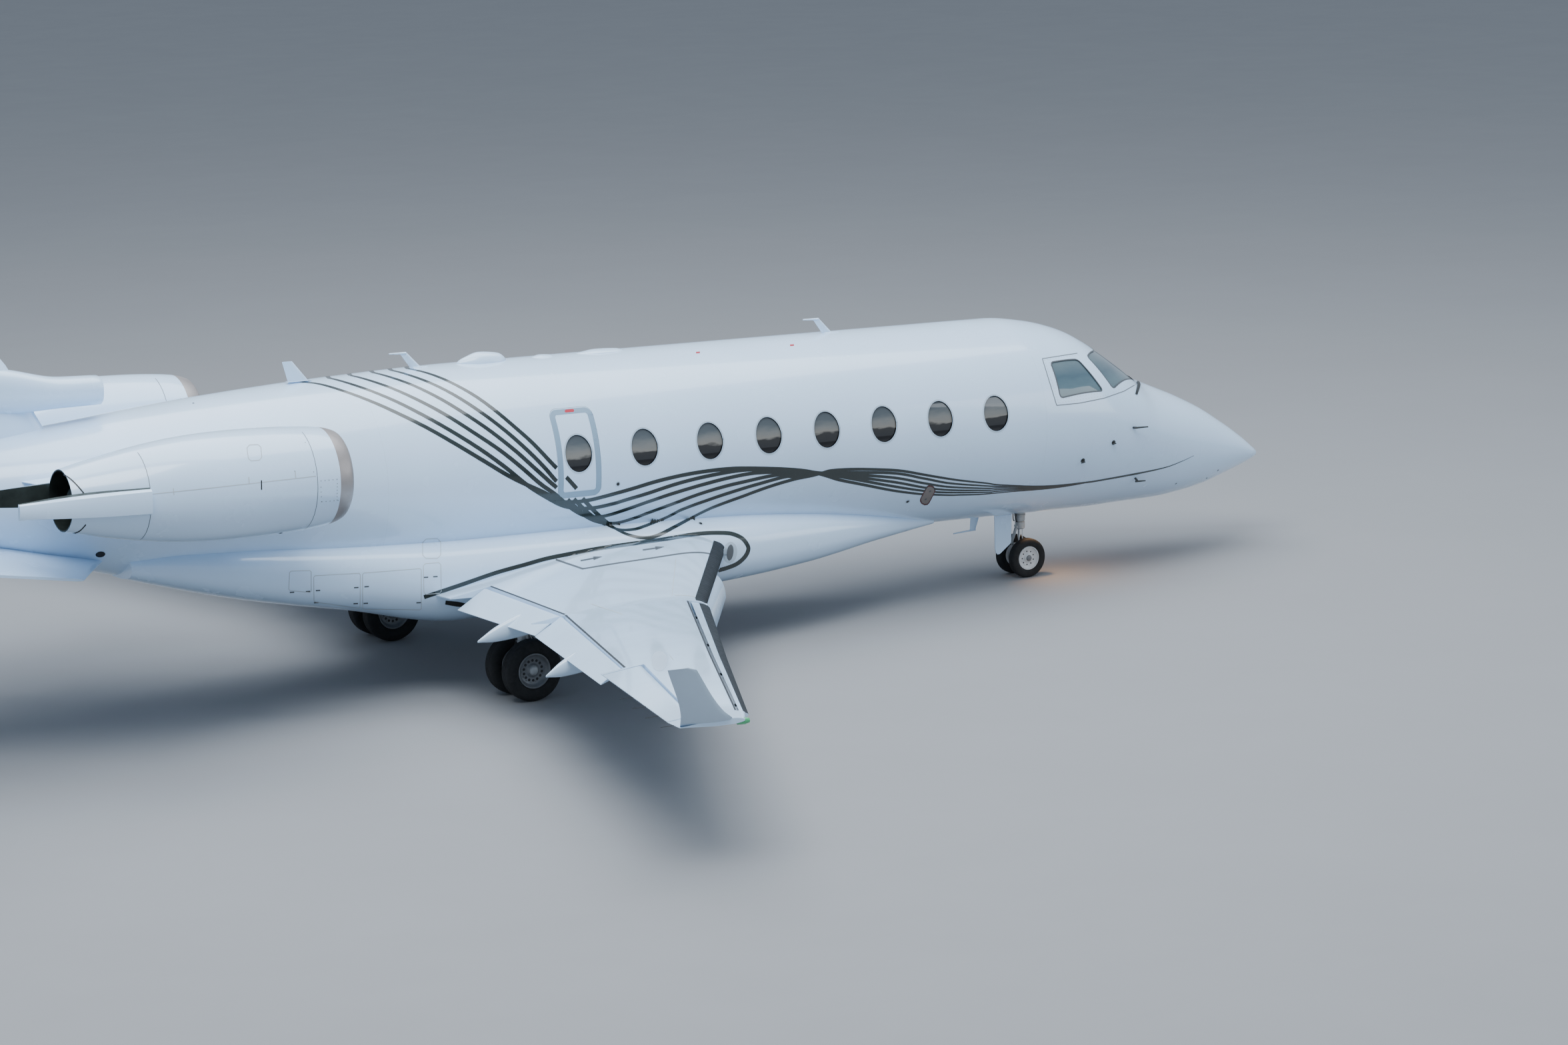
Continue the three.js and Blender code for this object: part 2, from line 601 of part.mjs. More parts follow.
function flapStations(side, row) {
  const [, innerY, innerHinge, innerTail, innerRadius, outerY, outerHinge, outerTail, outerRadius] = row;
  return [[innerY, innerHinge, innerTail, innerRadius], [outerY, outerHinge, outerTail, outerRadius]]
    .map(([y, hingeX, tailX, radius]) => {
      const hinge = onWing(side, y, hingeX, -8);
      const chord = hingeX - tailX;
      const tailZ = hinge.z - chord * Math.sin(FLAP_DROOP);
      const tail = new THREE.Vector3(hingeX - chord * Math.cos(FLAP_DROOP), y * side, tailZ);
      return { hinge, tail, radius };
    });
}

function aileronStations(side) {
  return [AILERON.inner, AILERON.outer].map((y) => {
    const [, lead, trail] = between(WING, y);
    const x = lead - AILERON.share * (lead - trail);
    const [above, below] = wingSurface(y, x);
    return { hinge: onWing(side, y, x), tail: onWing(side, y, trail + 4), radius: (above - below) * 0.47 };
  });
}

function slatOutline(side, extra) {
  return [SLAT.inner - extra, SLAT.outer + extra].map((y) => {
    const [, lead, trail] = between(WING, y);
    return [lead - SLAT.share * (lead - trail) - extra, y * side];
  });
}

// Front x of the bay round a hinged surface, at a place along its span
function bayFront([a, b], axis, place, gap) {
  const share = (place - a.hinge[axis]) / (b.hinge[axis] - a.hinge[axis]);
  return lerp(a.hinge.x + a.radius, b.hinge.x + b.radius, share) + gap;
}

// Plan outline of that bay
function bayOutline(stations, gap, endGap, side, rearX = -3000) {
  const ends = [stations[0].hinge.y - side * endGap, stations[1].hinge.y + side * endGap];
  const front = ends.map((y) => [bayFront(stations, 'y', y, gap), y]);
  return [...front, [rearX, ends[1]], [rearX, ends[0]]];
}

// Winglet sections. Columns: z, front x, rear x, y, thickness
const WINGLET = [
  [1345, -1410, -2000, 8585, 60],
  [1480, -1600, -2050, 8690, 42],
  [1960, -1985, -2270, 8835, 16],
];

// Main leg well in each wing: open below, its side walls carry the leg's trunnion
const MAIN_WELL = { halfLength: 210, halfWidth: 120, ceiling: 1150 };

for (const [label, side] of [['left', 1], ['right', -1]]) {
  const blank = wingBlank(side);
  let wing = blank;
  const flapSolids = FLAPS.map((row) => {
    const stations = flapStations(side, row);
    const gap = RUNNING_GAP - 2;
    wing = wing.subtract(plate(bayOutline(stations, gap, gap, side), 0, 3000));
    return [row[0], controlSurface(stations)];
  });
  const aileron = aileronStations(side);
  wing = wing.subtract(plate(bayOutline(aileron, RUNNING_GAP, SWING_GAP, side), 0, 3000))
    .subtract(hingePins(aileron, FIT));

  // Slat: the front of the section, run forward and down on its tracks
  const [slatInner, slatOuter] = slatOutline(side, 0);
  const slatZone = plate([slatInner, slatOuter, [3000, slatOuter[1]], [3000, slatInner[1]]], 0, 3000);
  const [cutInner, cutOuter] = slatOutline(side, 2);
  wing = wing.subtract(plate([cutInner, cutOuter, [3000, cutOuter[1]], [3000, cutInner[1]]], 0, 3000));
  const slat = blank.intersect(slatZone).translate(SLAT.forward, 0, -SLAT.down);
  let tracks = [0.08, 0.36, 0.64, 0.92].map((share) => {
    const y = lerp(SLAT.inner, SLAT.outer, share);
    const [, lead, trail] = between(WING, y);
    const x = lead - SLAT.share * (lead - trail);
    const z = wingHeight(y) - 2;
    return box(x - 60, x + SLAT.forward + 40, y * side - 14, y * side + 14, z - 14, z + 10);
  }).reduce((sum, piece) => sum.add(piece));
  const seat = SLAT.forward - FIT;
  tracks = tracks.subtract(plate([
    [slatInner[0] + seat, slatInner[1]], [slatOuter[0] + seat, slatOuter[1]],
    [3000, slatOuter[1]], [3000, slatInner[1]],
  ], 0, 3000));
  wing = wing.add(tracks);

  // Flap track fairings, hollowed where the lowered flaps lie on them
  for (const [y, noseX, tipX, tipZ] of TRACKS) {
    const startZ = wingSurface(y, noseX)[1] - 5;
    wing = wing.add(loft(TRACK_SHAPE.map(([along, size, drop]) => roundLoop(lerp(noseX, tipX, along),
      y * side, lerp(startZ, tipZ, drop), 62 * size, 120 * size, 8))));
  }
  for (const row of FLAPS) {
    const grown = flapStations(side, row).map(({ hinge, tail, radius }) => {
      const along = new THREE.Vector3().subVectors(tail, hinge).normalize();
      return { hinge, tail: tail.clone().addScaledVector(along, 2), radius: radius + FIT };
    });
    const [inner, outer] = grown;
    inner.hinge.y -= side;
    inner.tail.y -= side;
    outer.hinge.y += side;
    outer.tail.y += side;
    const shell = controlSurface(grown);
    wing = wing.subtract(shell).subtract(shell.translate(0, 0, FIT)).subtract(shell.translate(0, 0, 60));
  }

  // Winglet and leg well
  wing = wing.add(loft(WINGLET.map(([z, front, rear, y, thickness]) => [
    [front, 0], [lerp(front, rear, 0.12), 0.42], [lerp(front, rear, 0.4), 0.5], [rear, 0.06],
    [rear, -0.06], [lerp(front, rear, 0.4), -0.5], [lerp(front, rear, 0.12), -0.42],
  ].map(([x, share]) => new THREE.Vector3(x, side * (y + share * thickness), z)))));
  const wellSides = [MAIN_TRACK_Y - MAIN_WELL.halfWidth, MAIN_TRACK_Y + MAIN_WELL.halfWidth];
  wing = wing.subtract(box(-MAIN_WELL.halfLength, MAIN_WELL.halfLength,
    side * wellSides[0], side * wellSides[1], 500, MAIN_WELL.ceiling));
  wing = wing.add(jackPad(WING_JACK[0], side * WING_JACK[1], WING_JACK[2]));
  wing = wing.subtract(fairingGrown).subtract(hullBetween(-5000, 7000, 5));

  // Inboard leading edge panel, hinged open below the nose of the wing
  const panelStations = [1960, 3380].map((y) => {
    const [, lead, , , rise] = between(WING, y);
    const z = wingHeight(y) + rise;
    return [[lead - 60, z - 62], [lead + 20, z - 130], [lead + 70, z - 230], [lead + 90, z - 340],
      [lead + 70, z - 342], [lead + 46, z - 232], [lead - 4, z - 146], [lead - 76, z - 84]]
      .map(([x, height]) => new THREE.Vector3(x, y * side, height));
  });
  const krueger = [[0, 1, 6, 7], [1, 2, 5, 6], [2, 3, 4, 5]]
    .map((corners) => loft(panelStations.map((station) => corners.map((i) => station[i]))))
    .reduce((sum, strip) => sum.add(strip));
  for (const y of [2150, 3180]) {
    const [, lead, , , rise] = between(WING, y);
    const z = wingHeight(y) + rise;
    const arm = [[lead - 160, z - 40], [lead - 30, z - 20], [lead + 12, z - 150], [lead - 20, z - 150]];
    wing = wing.add(sidePlate(arm, side * y - 10, side * y + 10));
  }
  const kruegerGrown = krueger.translate(-0.5, 0, 0).add(krueger.translate(0, 0, 0.5)).add(krueger);
  wing = wing.subtract(kruegerGrown);

  addPiece(hull, `wing_${label}`, wing, paint);
  for (const [name, flap] of flapSolids) addPiece(hull, `flap_${name}_${label}`, flap, paint);
  addPiece(hull, `aileron_${label}`, controlSurface(aileron).add(hingePins(aileron)), paint);
  addPiece(hull, `slat_${label}`, slat, darkMetal);
  addPiece(hull, `krueger_${label}`, krueger, greyPaint);
}
addPiece(hull, 'belly_fairing', fairing, paint);

// Tail surfaces. Columns: span place, leading x, trailing x, half thickness
const FIN = [
  [2700, -4500, -7140, 130],
  [3700, -5080, -7460, 110],
  [6180, -7040, -8310, 52],
  [6218, -7150, -8310, 20],
];
const TAILPLANE_HALF = [[0, -5990, -7790, 95], [3340, -7250, -8105, 42], [3400, -7330, -8100, 34]];
const TAILPLANE = [
  ...TAILPLANE_HALF.slice(1).reverse().map(([y, ...row]) => [-y, ...row]),
  ...TAILPLANE_HALF,
];
const SYMMETRIC = [[0, 0], [0.03, 0.45], [0.14, 0.82], [0.38, 1], [0.68, 0.62], [1, 0.03]];

function symmetricLoop(lead, trail, half, place) {
  const upper = SYMMETRIC.map(([share, size]) => [lerp(lead, trail, share), size * half]);
  const lower = SYMMETRIC.slice(1).reverse().map(([share, size]) => [lerp(lead, trail, share), -size * half]);
  return [...upper, ...lower].map(place);
}
function symmetricHalf(table, at, x) {
  const [, lead, trail, half] = between(table, at);
  return between(SYMMETRIC, (x - lead) / (trail - lead))[1] * half;
}

const finBlank = loft(FIN.map(([z, lead, trail, half]) => symmetricLoop(lead, trail, half,
  ([x, y]) => new THREE.Vector3(x, y, z))));
function tailplaneBlank(extra) {
  return loft(TAILPLANE.map(([y, lead, trail, half]) => symmetricLoop(lead + extra, trail - extra,
    half + extra, ([x, z]) => new THREE.Vector3(x, y, TAILPLANE_Z + z))));
}

const RUDDER = { bottom: 3145, top: 6051, share: 0.76 };
const rudderStations = [RUDDER.bottom, RUDDER.top].map((z) => {
  const [, lead, trail] = between(FIN, z);
  const x = lerp(lead, trail, RUDDER.share);
  const radius = symmetricHalf(FIN, z, x) * 0.97;
  return { hinge: new THREE.Vector3(x, 0, z), tail: new THREE.Vector3(trail + 4, 0, z), radius };
});
const ELEVATOR = { inner: 330, outer: 3260, share: 0.7 };
function elevatorStations(side) {
  return [ELEVATOR.inner, ELEVATOR.outer].map((y) => {
    const [, lead, trail] = between(TAILPLANE_HALF, y);
    const x = lerp(lead, trail, ELEVATOR.share);
    const radius = symmetricHalf(TAILPLANE_HALF, y, x) * 0.97;
    const hinge = new THREE.Vector3(x, y * side, TAILPLANE_Z);
    return { hinge, tail: new THREE.Vector3(trail + 4, y * side, TAILPLANE_Z), radius };
  });
}

// Air scoop at the foot of the fin. Columns: x, middle z, half height, half width
const SCOOP = [
  [-4070, 3370, 150, 165],
  [-4500, 3375, 160, 172],
  [-5100, 3430, 230, 165],
  [-5900, 3500, 260, 110],
  [-6700, 3300, 200, 60],
];
const SCOOP_MOUTH = [[-4600, 3370, 95, 90], [-4060, 3370, 125, 140]];
function scoopSolid(table, power) {
  return loft(table.map(([x, middle, half, width]) => roundLoop(x, 0, middle, width, half, 16, power)));
}
const scoopBody = scoopSolid(SCOOP, 0.75);
const scoopMouth = scoopSolid(SCOOP_MOUTH, 1);

const rearHull = hullBetween(HULL[0][0], REAR_JOINT_X - FIT);
const rearHullGrown = hullBetween(HULL[0][0], REAR_JOINT_X - FIT, FIT + 0.1);
const rudderEnds = [RUDDER.bottom - RUDDER_FOOT_GAP, RUDDER.top + SWING_GAP];
const rudderBay = sidePlate([
  ...rudderEnds.map((z) => [bayFront(rudderStations, 'z', z, RUNNING_GAP), z]),
  [-9000, rudderEnds[1]], [-9000, rudderEnds[0]],
], -600, 600);
const scoopFoot = box(-6600, -4420, -45, 45, 2950, 3300);
const fin = finBlank.add(scoopBody).add(scoopFoot)
  .subtract(rudderBay)
  .subtract(hingePins(rudderStations, FIT))
  .subtract(scoopMouth)
  .subtract(rearHullGrown)
  .subtract(tailplaneBlank(2 * FIT));
addPiece(hull, 'fin', fin, paint);
addPiece(hull, 'rudder', controlSurface(rudderStations).add(hingePins(rudderStations)), paint);

let tailplane = tailplaneBlank(0);
for (const side of [1, -1]) {
  const stations = elevatorStations(side);
  const bay = plate(bayOutline(stations, RUNNING_GAP, SWING_GAP, side, -9000), 4000, 5500);
  tailplane = tailplane.subtract(bay).subtract(hingePins(stations, FIT));
}
tailplane = tailplane.subtract(rudderBay.translate(35, 0, 0));
addPiece(hull, 'tailplane', tailplane, paint);
for (const [label, side] of [['left', 1], ['right', -1]]) {
  const stations = elevatorStations(side);
  addPiece(hull, `elevator_${label}`, controlSurface(stations).add(hingePins(stations)), paint);
}

// Engine nacelles. Outer columns: x, radius; then back along the duct
const COWL_OUTER = [
  [-2250, 425], [-2300, 468], [-2480, 512], [-2900, 545], [-3500, 555],
  [-4000, 532], [-4490, 470], [-5000, 372], [-5260, 314],
];
const COWL_INNER = [
  [-5260, 300], [-4800, 335], [-4300, DUCT_RADIUS],
  [-2900, DUCT_RADIUS], [-2600, 372], [-2330, 392],
];
const COWL_SIDES = 20;
const cowlProfile = [...COWL_OUTER, ...COWL_INNER, COWL_OUTER[0]];
const ENGINE_FRONT_X = -3100;
const ENGINE = [
  [ENGINE_FRONT_X, 0], [ENGINE_FRONT_X, DUCT_RADIUS - FIT], [-4290, DUCT_RADIUS - FIT],
  [-4700, 210], [-5080, 150], [-5180, 60], [-5180, 0],
];
const FAN_FRONT_X = -2860;
const FAN_REAR_X = -3060;
const FAN_HUB_X = ENGINE_FRONT_X + FIT;
const SPINNER = [
  [-2720, 0], [-2790, 60], [FAN_FRONT_X, 105], [FAN_REAR_X, 120],
  [FAN_REAR_X, 60], [FAN_HUB_X, 60], [FAN_HUB_X, 0],
];
const BLADE_COUNT = 14;
// Blade stations. Columns: radius, twist in degrees, half chord
const BLADE = [[85, 30, 78], [220, 42, 74], [FAN_RADIUS, 54, 70]];
const cowlGrown = COWL_OUTER.map(([x, radius]) => [x, radius + FIT + 0.2]);
const cowlFilled = turned([[-2250, 0], ...cowlGrown, [-5260, 0]], 'x', COWL_SIDES);

// Side doors of the thrust reverser, shut along the cowl
// Columns: x, half height, outer radius, inner radius
const REVERSER = [
  [-4500, 140, 520, 440],
  [-4900, 132, 505, 360],
  [-5262, 118, 481, 318],
  [-5860, 84, 415, 372],
];

function bladeLoop(radius, twist, half, angle) {
  const [c, s] = [Math.cos(angle), Math.sin(angle)];
  const turn = THREE.MathUtils.degToRad(twist);
  return [[half, 0], [0, 9], [-half, 0], [0, -9]].map(([along, thick]) => {
    const x = (FAN_FRONT_X + FAN_REAR_X) / 2 + along * Math.cos(turn) - thick * Math.sin(turn);
    const across = along * Math.sin(turn) + thick * Math.cos(turn);
    const reach = Math.sqrt(radius * radius - across * across);
    return new THREE.Vector3(x, reach * c - across * s, reach * s + across * c);
  });
}

// Pylon stations. Columns: y, front x, rear x, half thickness
const PYLON = [[560, -2600, -5200, 110], [1480, -2750, -4850, 90]];
// Strake stations. Columns: y, front x, rear x, z at the reference x, rise towards the tail
const STRAKE = [[100, -4000, -6900, 1960, 0.2], [1240, -4780, -7000, 1758, 0.146]];
const STRAKE_REFERENCE_X = -5500;

const pylons = [];
for (const [label, side] of [['left', 1], ['right', -1]]) {
  const engineAt = [0, side * NACELLE_Y, NACELLE_Z];
  const doors = [['outer', side], ['inner', -side]].map(([place, way]) => {
    const loops = REVERSER.map(([x, half, outer, inner]) => [
      [outer, half * 0.8], [outer + 12, 0], [outer, -half * 0.8],
      [inner + 8, -half], [inner, 0], [inner + 8, half],
    ].map(([y, z]) => new THREE.Vector3(x, way * y, z)));
    return [place, loft(loops).subtract(cowlFilled)];
  });
  for (const [place, shell] of doors) {
    addPiece(hull, `reverser_door_${label}_${place}`, shell, paint, ...engineAt);
  }
  addPiece(hull, `nacelle_${label}`, turned(cowlProfile, 'x', COWL_SIDES), paint, ...engineAt);
  addPiece(hull, `engine_${label}`, turned(ENGINE, 'x', COWL_SIDES), darkMetal, ...engineAt);

  // Fan: a spinner and a ring of twisted blades
  let fan = turned(SPINNER, 'x', 12);
  for (let i = 0; i < BLADE_COUNT; i++) {
    const angle = (i / BLADE_COUNT) * 2 * Math.PI;
    fan = fan.add(loft(BLADE.map(([radius, twist, half]) => bladeLoop(radius, twist, half, angle))));
  }
  addPiece(hull, `fan_${label}`, fan, metal, ...engineAt);

  // Pylon between hull and cowl
  const pylonLoops = PYLON.map(([y, front, back, half]) => symmetricLoop(front, back, half,
    ([x, z]) => new THREE.Vector3(x, side * y, NACELLE_Z - 20 + z)));
  const innerDoor = doors[1][1].translate(...engineAt);
  pylons.push(loft(pylonLoops)
    .subtract(cowlFilled.translate(...engineAt))
    .subtract(innerDoor)
    .subtract(innerDoor.translate(FIT, -side * FIT, 0))
    .subtract(box(-6200, -4490, side * 1300, side * 1500, 2300, 2900)));

  // Ventral strake: a flat plate standing out from the lower tail
  pylons.push(loft(STRAKE.map(([y, front, back, z, rise]) => [
    [front, 0], [front - 80, 14], [back, 14], [back, -14], [front - 80, -14],
  ].map(([x, dz]) => new THREE.Vector3(x, side * y, z + dz - (x - STRAKE_REFERENCE_X) * rise)))));
}

// Behind the cabin the hull is hollow back to the tail cone, and open to the cabin in front
const REAR_HOLLOW_X = -6400;
const rearHollow = hullBetween(REAR_HOLLOW_X, REAR_JOINT_X + 10, -WALL);
let rear = rearHull.add(rearFittings);
for (const piece of pylons) rear = rear.add(piece.subtract(fairingGrown));
rear = rear.subtract(rearHollow).subtract(hullBetween(REAR_JOINT_X, 0, 10));
addPiece(hull, 'rear_fuselage', rear, paint);

// Wheels: two dished rims on one live axle, tyres in their own nodes
const RIM_SIDES = 16;
const TYRE_SIDES = 24;
const TYRE_FLAT = 1 / Math.cos(Math.PI / TYRE_SIDES);

function rimSolid(centre, radius, width, out, axleRadius, dish) {
  const inner = centre - (out * width) / 2;
  const outer = centre + (out * width) / 2;
  const face = outer - out * dish;
  return turned([
    [inner, 0.86 * radius], [inner, radius], [outer, radius], [outer, 0.88 * radius],
    [face, 0.74 * radius], [face, 0.36 * radius], [face + out * 18, 0.28 * radius], [face + out * 18, 0],
    [inner, 0], [inner, axleRadius], [centre - out * 4, axleRadius], [centre - out * 4, 0.74 * radius],
    [inner, 0.86 * radius],
  ], 'y', RIM_SIDES);
}

// Tyre cross-section. Columns: share of half width, share of the height from rim to tread
const TYRE = [[-0.66, 0], [-1, 0.42], [-0.93, 0.8], [-0.62, 1], [0.62, 1], [0.93, 0.8], [1, 0.42], [0.66, 0]];

// Flat facets roll on the ground at the full radius, and the bore clears the rim's corners
function tyreSolid(radius, width, rimRadius) {
  const profile = TYRE.map(([across, up]) => [
    (across * width) / 2, lerp(rimRadius + FIT, radius, up) * TYRE_FLAT,
  ]);
  return turned([...profile, profile[0]], 'y', TYRE_SIDES, Math.PI / TYRE_SIDES);
}

// Twin rims joined by their axle, on the wheel's centre
function rimPair(half, radius, width, bore, dish, axleRadius) {
  const axle = bar(new THREE.Vector3(0, -half, 0), new THREE.Vector3(0, half, 0), axleRadius, AXLE_SIDES);
  return rimSolid(half, radius, width, 1, bore, dish)
    .add(rimSolid(-half, radius, width, -1, bore, dish))
    .add(axle);
}

const MAIN_RIM_RADIUS = 190;
const MAIN_AXLE_RADIUS = 48;
const BEARING_HALF = 42;
for (const [label, side] of [['left', 1], ['right', -1]]) {
  const rims = rimPair(MAIN_TWIN_Y, MAIN_RIM_RADIUS, 140, 60, 44, MAIN_AXLE_RADIUS);
  const trackY = side * MAIN_TRACK_Y;
  addPiece(ground, `main_rims_${label}`, rims, darkMetal, 0, trackY, MAIN_TYRE_RADIUS);
  for (const [place, out] of [['outer', side], ['inner', -side]]) {
    const tyre = tyreSolid(MAIN_TYRE_RADIUS, MAIN_TYRE_WIDTH, MAIN_RIM_RADIUS);
    const tyreY = trackY + out * MAIN_TWIN_Y;
    addPiece(ground, `main_tyre_${label}_${place}`, tyre, rubber, 0, tyreY, MAIN_TYRE_RADIUS);
  }

  // Leg: bearing round the axle, piston, cylinder, torque links, trunnion, side brace and leg door
  const at = (x, y, z) => new THREE.Vector3(x, side * (MAIN_TRACK_Y + y), z);
  const axleZ = MAIN_TYRE_RADIUS;
  const wellSide = MAIN_WELL.halfWidth - FIT;
  let leg = bar(at(0, -BEARING_HALF, axleZ), at(0, BEARING_HALF, axleZ), 82, 16)
    .add(bar(at(0, 0, axleZ + 50), at(0, 0, 640), 44, 14))
    .add(bar(at(0, 0, 600), at(0, 0, 1085), 66, 16))
    .add(bar(at(0, -wellSide, 1050), at(0, wellSide, 1050), 48, 12))
    .add(bar(at(75, 0, axleZ + 60), at(150, 0, 520), 20, 8))
    .add(bar(at(150, 0, 510), at(60, 0, 690), 20, 8))
    .add(bar(at(150, -26, 515), at(150, 26, 515), 26, 10))
    .add(bar(at(0, 0, 760), at(0, -100, 880), 26, 10));
  const legBore = (MAIN_AXLE_RADIUS + FIT) / Math.cos(Math.PI / AXLE_SIDES);
  leg = leg.subtract(bar(at(0, -60, axleZ), at(0, 60, axleZ), legBore, AXLE_SIDES));
  const [armY, doorY] = [side * (MAIN_TRACK_Y + 30), side * (MAIN_TRACK_Y + 84)];
  leg = leg.add(box(-200, 200, doorY, doorY + side * 14, 690, 1000))
    .add(box(-24, 24, armY, doorY + side * 6, 700, 760))
    .add(box(-24, 24, armY, doorY + side * 6, 900, 960));
  addPiece(ground, `main_gear_leg_${label}`, leg, metal);
}

const NOSE_RIM_RADIUS = 138;
const NOSE_AXLE_RADIUS = 30;
const STEER_TOP_Z = 640;
const noseRims = rimPair(NOSE_TWIN_Y, NOSE_RIM_RADIUS, 92, 36, 24, NOSE_AXLE_RADIUS);
addPiece(ground, 'nose_rims', noseRims, greyPaint, WHEELBASE, 0, NOSE_TYRE_RADIUS);
for (const [label, side] of [['left', 1], ['right', -1]]) {
  const tyre = tyreSolid(NOSE_TYRE_RADIUS, NOSE_TYRE_WIDTH, NOSE_RIM_RADIUS);
  addPiece(ground, `nose_tyre_${label}`, tyre, rubber, WHEELBASE, side * NOSE_TWIN_Y, NOSE_TYRE_RADIUS);
}

const nose = (x, y, z) => new THREE.Vector3(WHEELBASE + x, y, z);
const fork = bar(nose(0, -34, NOSE_TYRE_RADIUS), nose(0, 34, NOSE_TYRE_RADIUS), 56, 16)
  .add(bar(nose(0, 0, NOSE_TYRE_RADIUS + 30), nose(0, 0, STEER_TOP_Z - 60), 32, 14))
  .add(bar(nose(0, 0, STEER_TOP_Z - 90), nose(0, 0, STEER_TOP_Z), 58, 16))
  .add(bar(nose(-45, 0, NOSE_TYRE_RADIUS + 45), nose(-120, 0, 400), 14, 8))
  .add(bar(nose(-120, 0, 392), nose(-40, 0, STEER_TOP_Z - 50), 14, 8))
  .add(bar(nose(-120, -20, 396), nose(-120, 20, 396), 20, 10))
  .add(box(WHEELBASE + 30, WHEELBASE + 78, -26, 26, 330, 382))
  .subtract(bar(nose(0, -50, NOSE_TYRE_RADIUS), nose(0, 50, NOSE_TYRE_RADIUS),
    (NOSE_AXLE_RADIUS + FIT) / Math.cos(Math.PI / AXLE_SIDES), AXLE_SIDES));
addPiece(ground, 'nose_fork', fork, metal);

const baySide = NOSE_BAY.halfWidth - FIT;
const noseLeg = bar(nose(0, 0, STEER_TOP_Z + FIT), nose(0, 0, 960), 60, 16)
  .add(bar(nose(0, -baySide, 930), nose(0, baySide, 930), 40, 12))
  .add(bar(nose(30, -42, 740), nose(30, 42, 740), 22, 8))
  .add(bar(nose(20, 0, 760), nose(230, 0, 930), 24, 10))
  .add(bar(nose(230, -baySide, 930), nose(230, baySide, 930), 22, 10))
  .add(bar(nose(60, -52, 800), nose(95, -52, 800), 46, 14))
  .add(bar(nose(60, 52, 800), nose(95, 52, 800), 46, 14))
  .add(box(WHEELBASE + 20, WHEELBASE + 70, -70, 70, 780, 820));
addPiece(ground, 'nose_gear_leg', noseLeg, metal);

// Door of the nose leg bay, hanging on the right edge behind the leg
const DOOR_OUTLINE = [[6850, 1250], [6875, 680], [6925, 590], [7095, 730], [7103, 1250]];
const noseDoor = sidePlate(DOOR_OUTLINE, -212, -200).subtract(hullBetween(6000, 8000, FIT));
addPiece(hull, 'nose_gear_door', noseDoor, paint);

export default aircraft;
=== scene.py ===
"""Looks of a parked business jet. Metres; x runs to the nose, y to the left wing tip, z up."""
import json
import math
import bpy
import numpy as np
from mathutils import Matrix, Vector
from mathutils.bvhtree import BVHTree
from mathutils.geometry import delaunay_2d_cdt

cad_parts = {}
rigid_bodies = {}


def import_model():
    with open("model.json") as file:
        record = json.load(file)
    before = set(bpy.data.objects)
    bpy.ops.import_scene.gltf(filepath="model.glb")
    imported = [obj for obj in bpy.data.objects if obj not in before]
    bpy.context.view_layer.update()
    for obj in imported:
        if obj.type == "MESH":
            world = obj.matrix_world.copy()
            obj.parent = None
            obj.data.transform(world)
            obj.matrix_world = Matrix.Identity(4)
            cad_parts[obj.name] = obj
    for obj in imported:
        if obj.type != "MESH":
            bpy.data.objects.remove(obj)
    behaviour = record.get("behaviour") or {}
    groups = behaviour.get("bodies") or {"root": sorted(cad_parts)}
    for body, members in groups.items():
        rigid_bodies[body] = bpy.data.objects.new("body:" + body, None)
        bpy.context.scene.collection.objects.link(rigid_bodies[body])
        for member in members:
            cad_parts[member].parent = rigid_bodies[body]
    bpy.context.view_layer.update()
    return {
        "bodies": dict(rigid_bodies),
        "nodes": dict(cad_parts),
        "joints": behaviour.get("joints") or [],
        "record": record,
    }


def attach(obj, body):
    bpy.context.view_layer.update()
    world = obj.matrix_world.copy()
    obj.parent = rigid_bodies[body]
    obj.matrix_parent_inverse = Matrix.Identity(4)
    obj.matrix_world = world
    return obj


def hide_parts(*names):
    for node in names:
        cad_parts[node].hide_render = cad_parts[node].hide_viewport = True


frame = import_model()
for leftover in ("Cube", "Light", "Camera"):
    if leftover in bpy.data.objects:
        bpy.data.objects.remove(bpy.data.objects[leftover])

# Camera, at the photograph's viewing angle
RIGHT = Vector((0.86083, -0.50821, -0.02615))
UP = Vector((0.12942, 0.16895, 0.97709))
FORWARD = Vector((0.49215, 0.84451, -0.21121))
EYE = Vector((-24.124, -46.428, 12.65))
LENS = 112.09
SENSOR = 36.0
WIDTH, HEIGHT = 2352, 1568
camera_data = bpy.data.cameras.new("camera")
camera_data.lens = LENS
camera_data.sensor_width = SENSOR
camera_data.clip_end = 400
camera = bpy.data.objects.new("camera", camera_data)
camera.matrix_world = Matrix((
    (RIGHT.x, UP.x, -FORWARD.x, EYE.x),
    (RIGHT.y, UP.y, -FORWARD.y, EYE.y),
    (RIGHT.z, UP.z, -FORWARD.z, EYE.z),
    (0, 0, 0, 1)))
bpy.context.scene.collection.objects.link(camera)
bpy.context.scene.camera = camera

# The hull leans nose down on its wheels; the ground frame stands level
AXLE_X = -1.283
LEAN = math.radians(2.2)
LEVEL = Matrix.Translation((AXLE_X, 0, 0))
HULL = LEVEL @ Matrix.Rotation(LEAN, 4, "Y")
SIDES = (("left", 1), ("right", -1))

# Materials. The spans are the part of a noise that turns into colour and into gloss
COLOR_SPAN = (0.35, 0.65)
GLOSS_SPAN = (0.3, 0.7)
GLOSS_VARY = 0.05
RELIEF_HEIGHT = 0.002


def nodes_of(name):
    material = bpy.data.materials.new(name)
    material.use_nodes = True
    tree = material.node_tree
    return material, tree.nodes, tree.links, tree.nodes["Principled BSDF"]


def put(node, values):
    """Sets a node's inputs by name."""
    for name, value in values.items():
        node.inputs[name].default_value = value


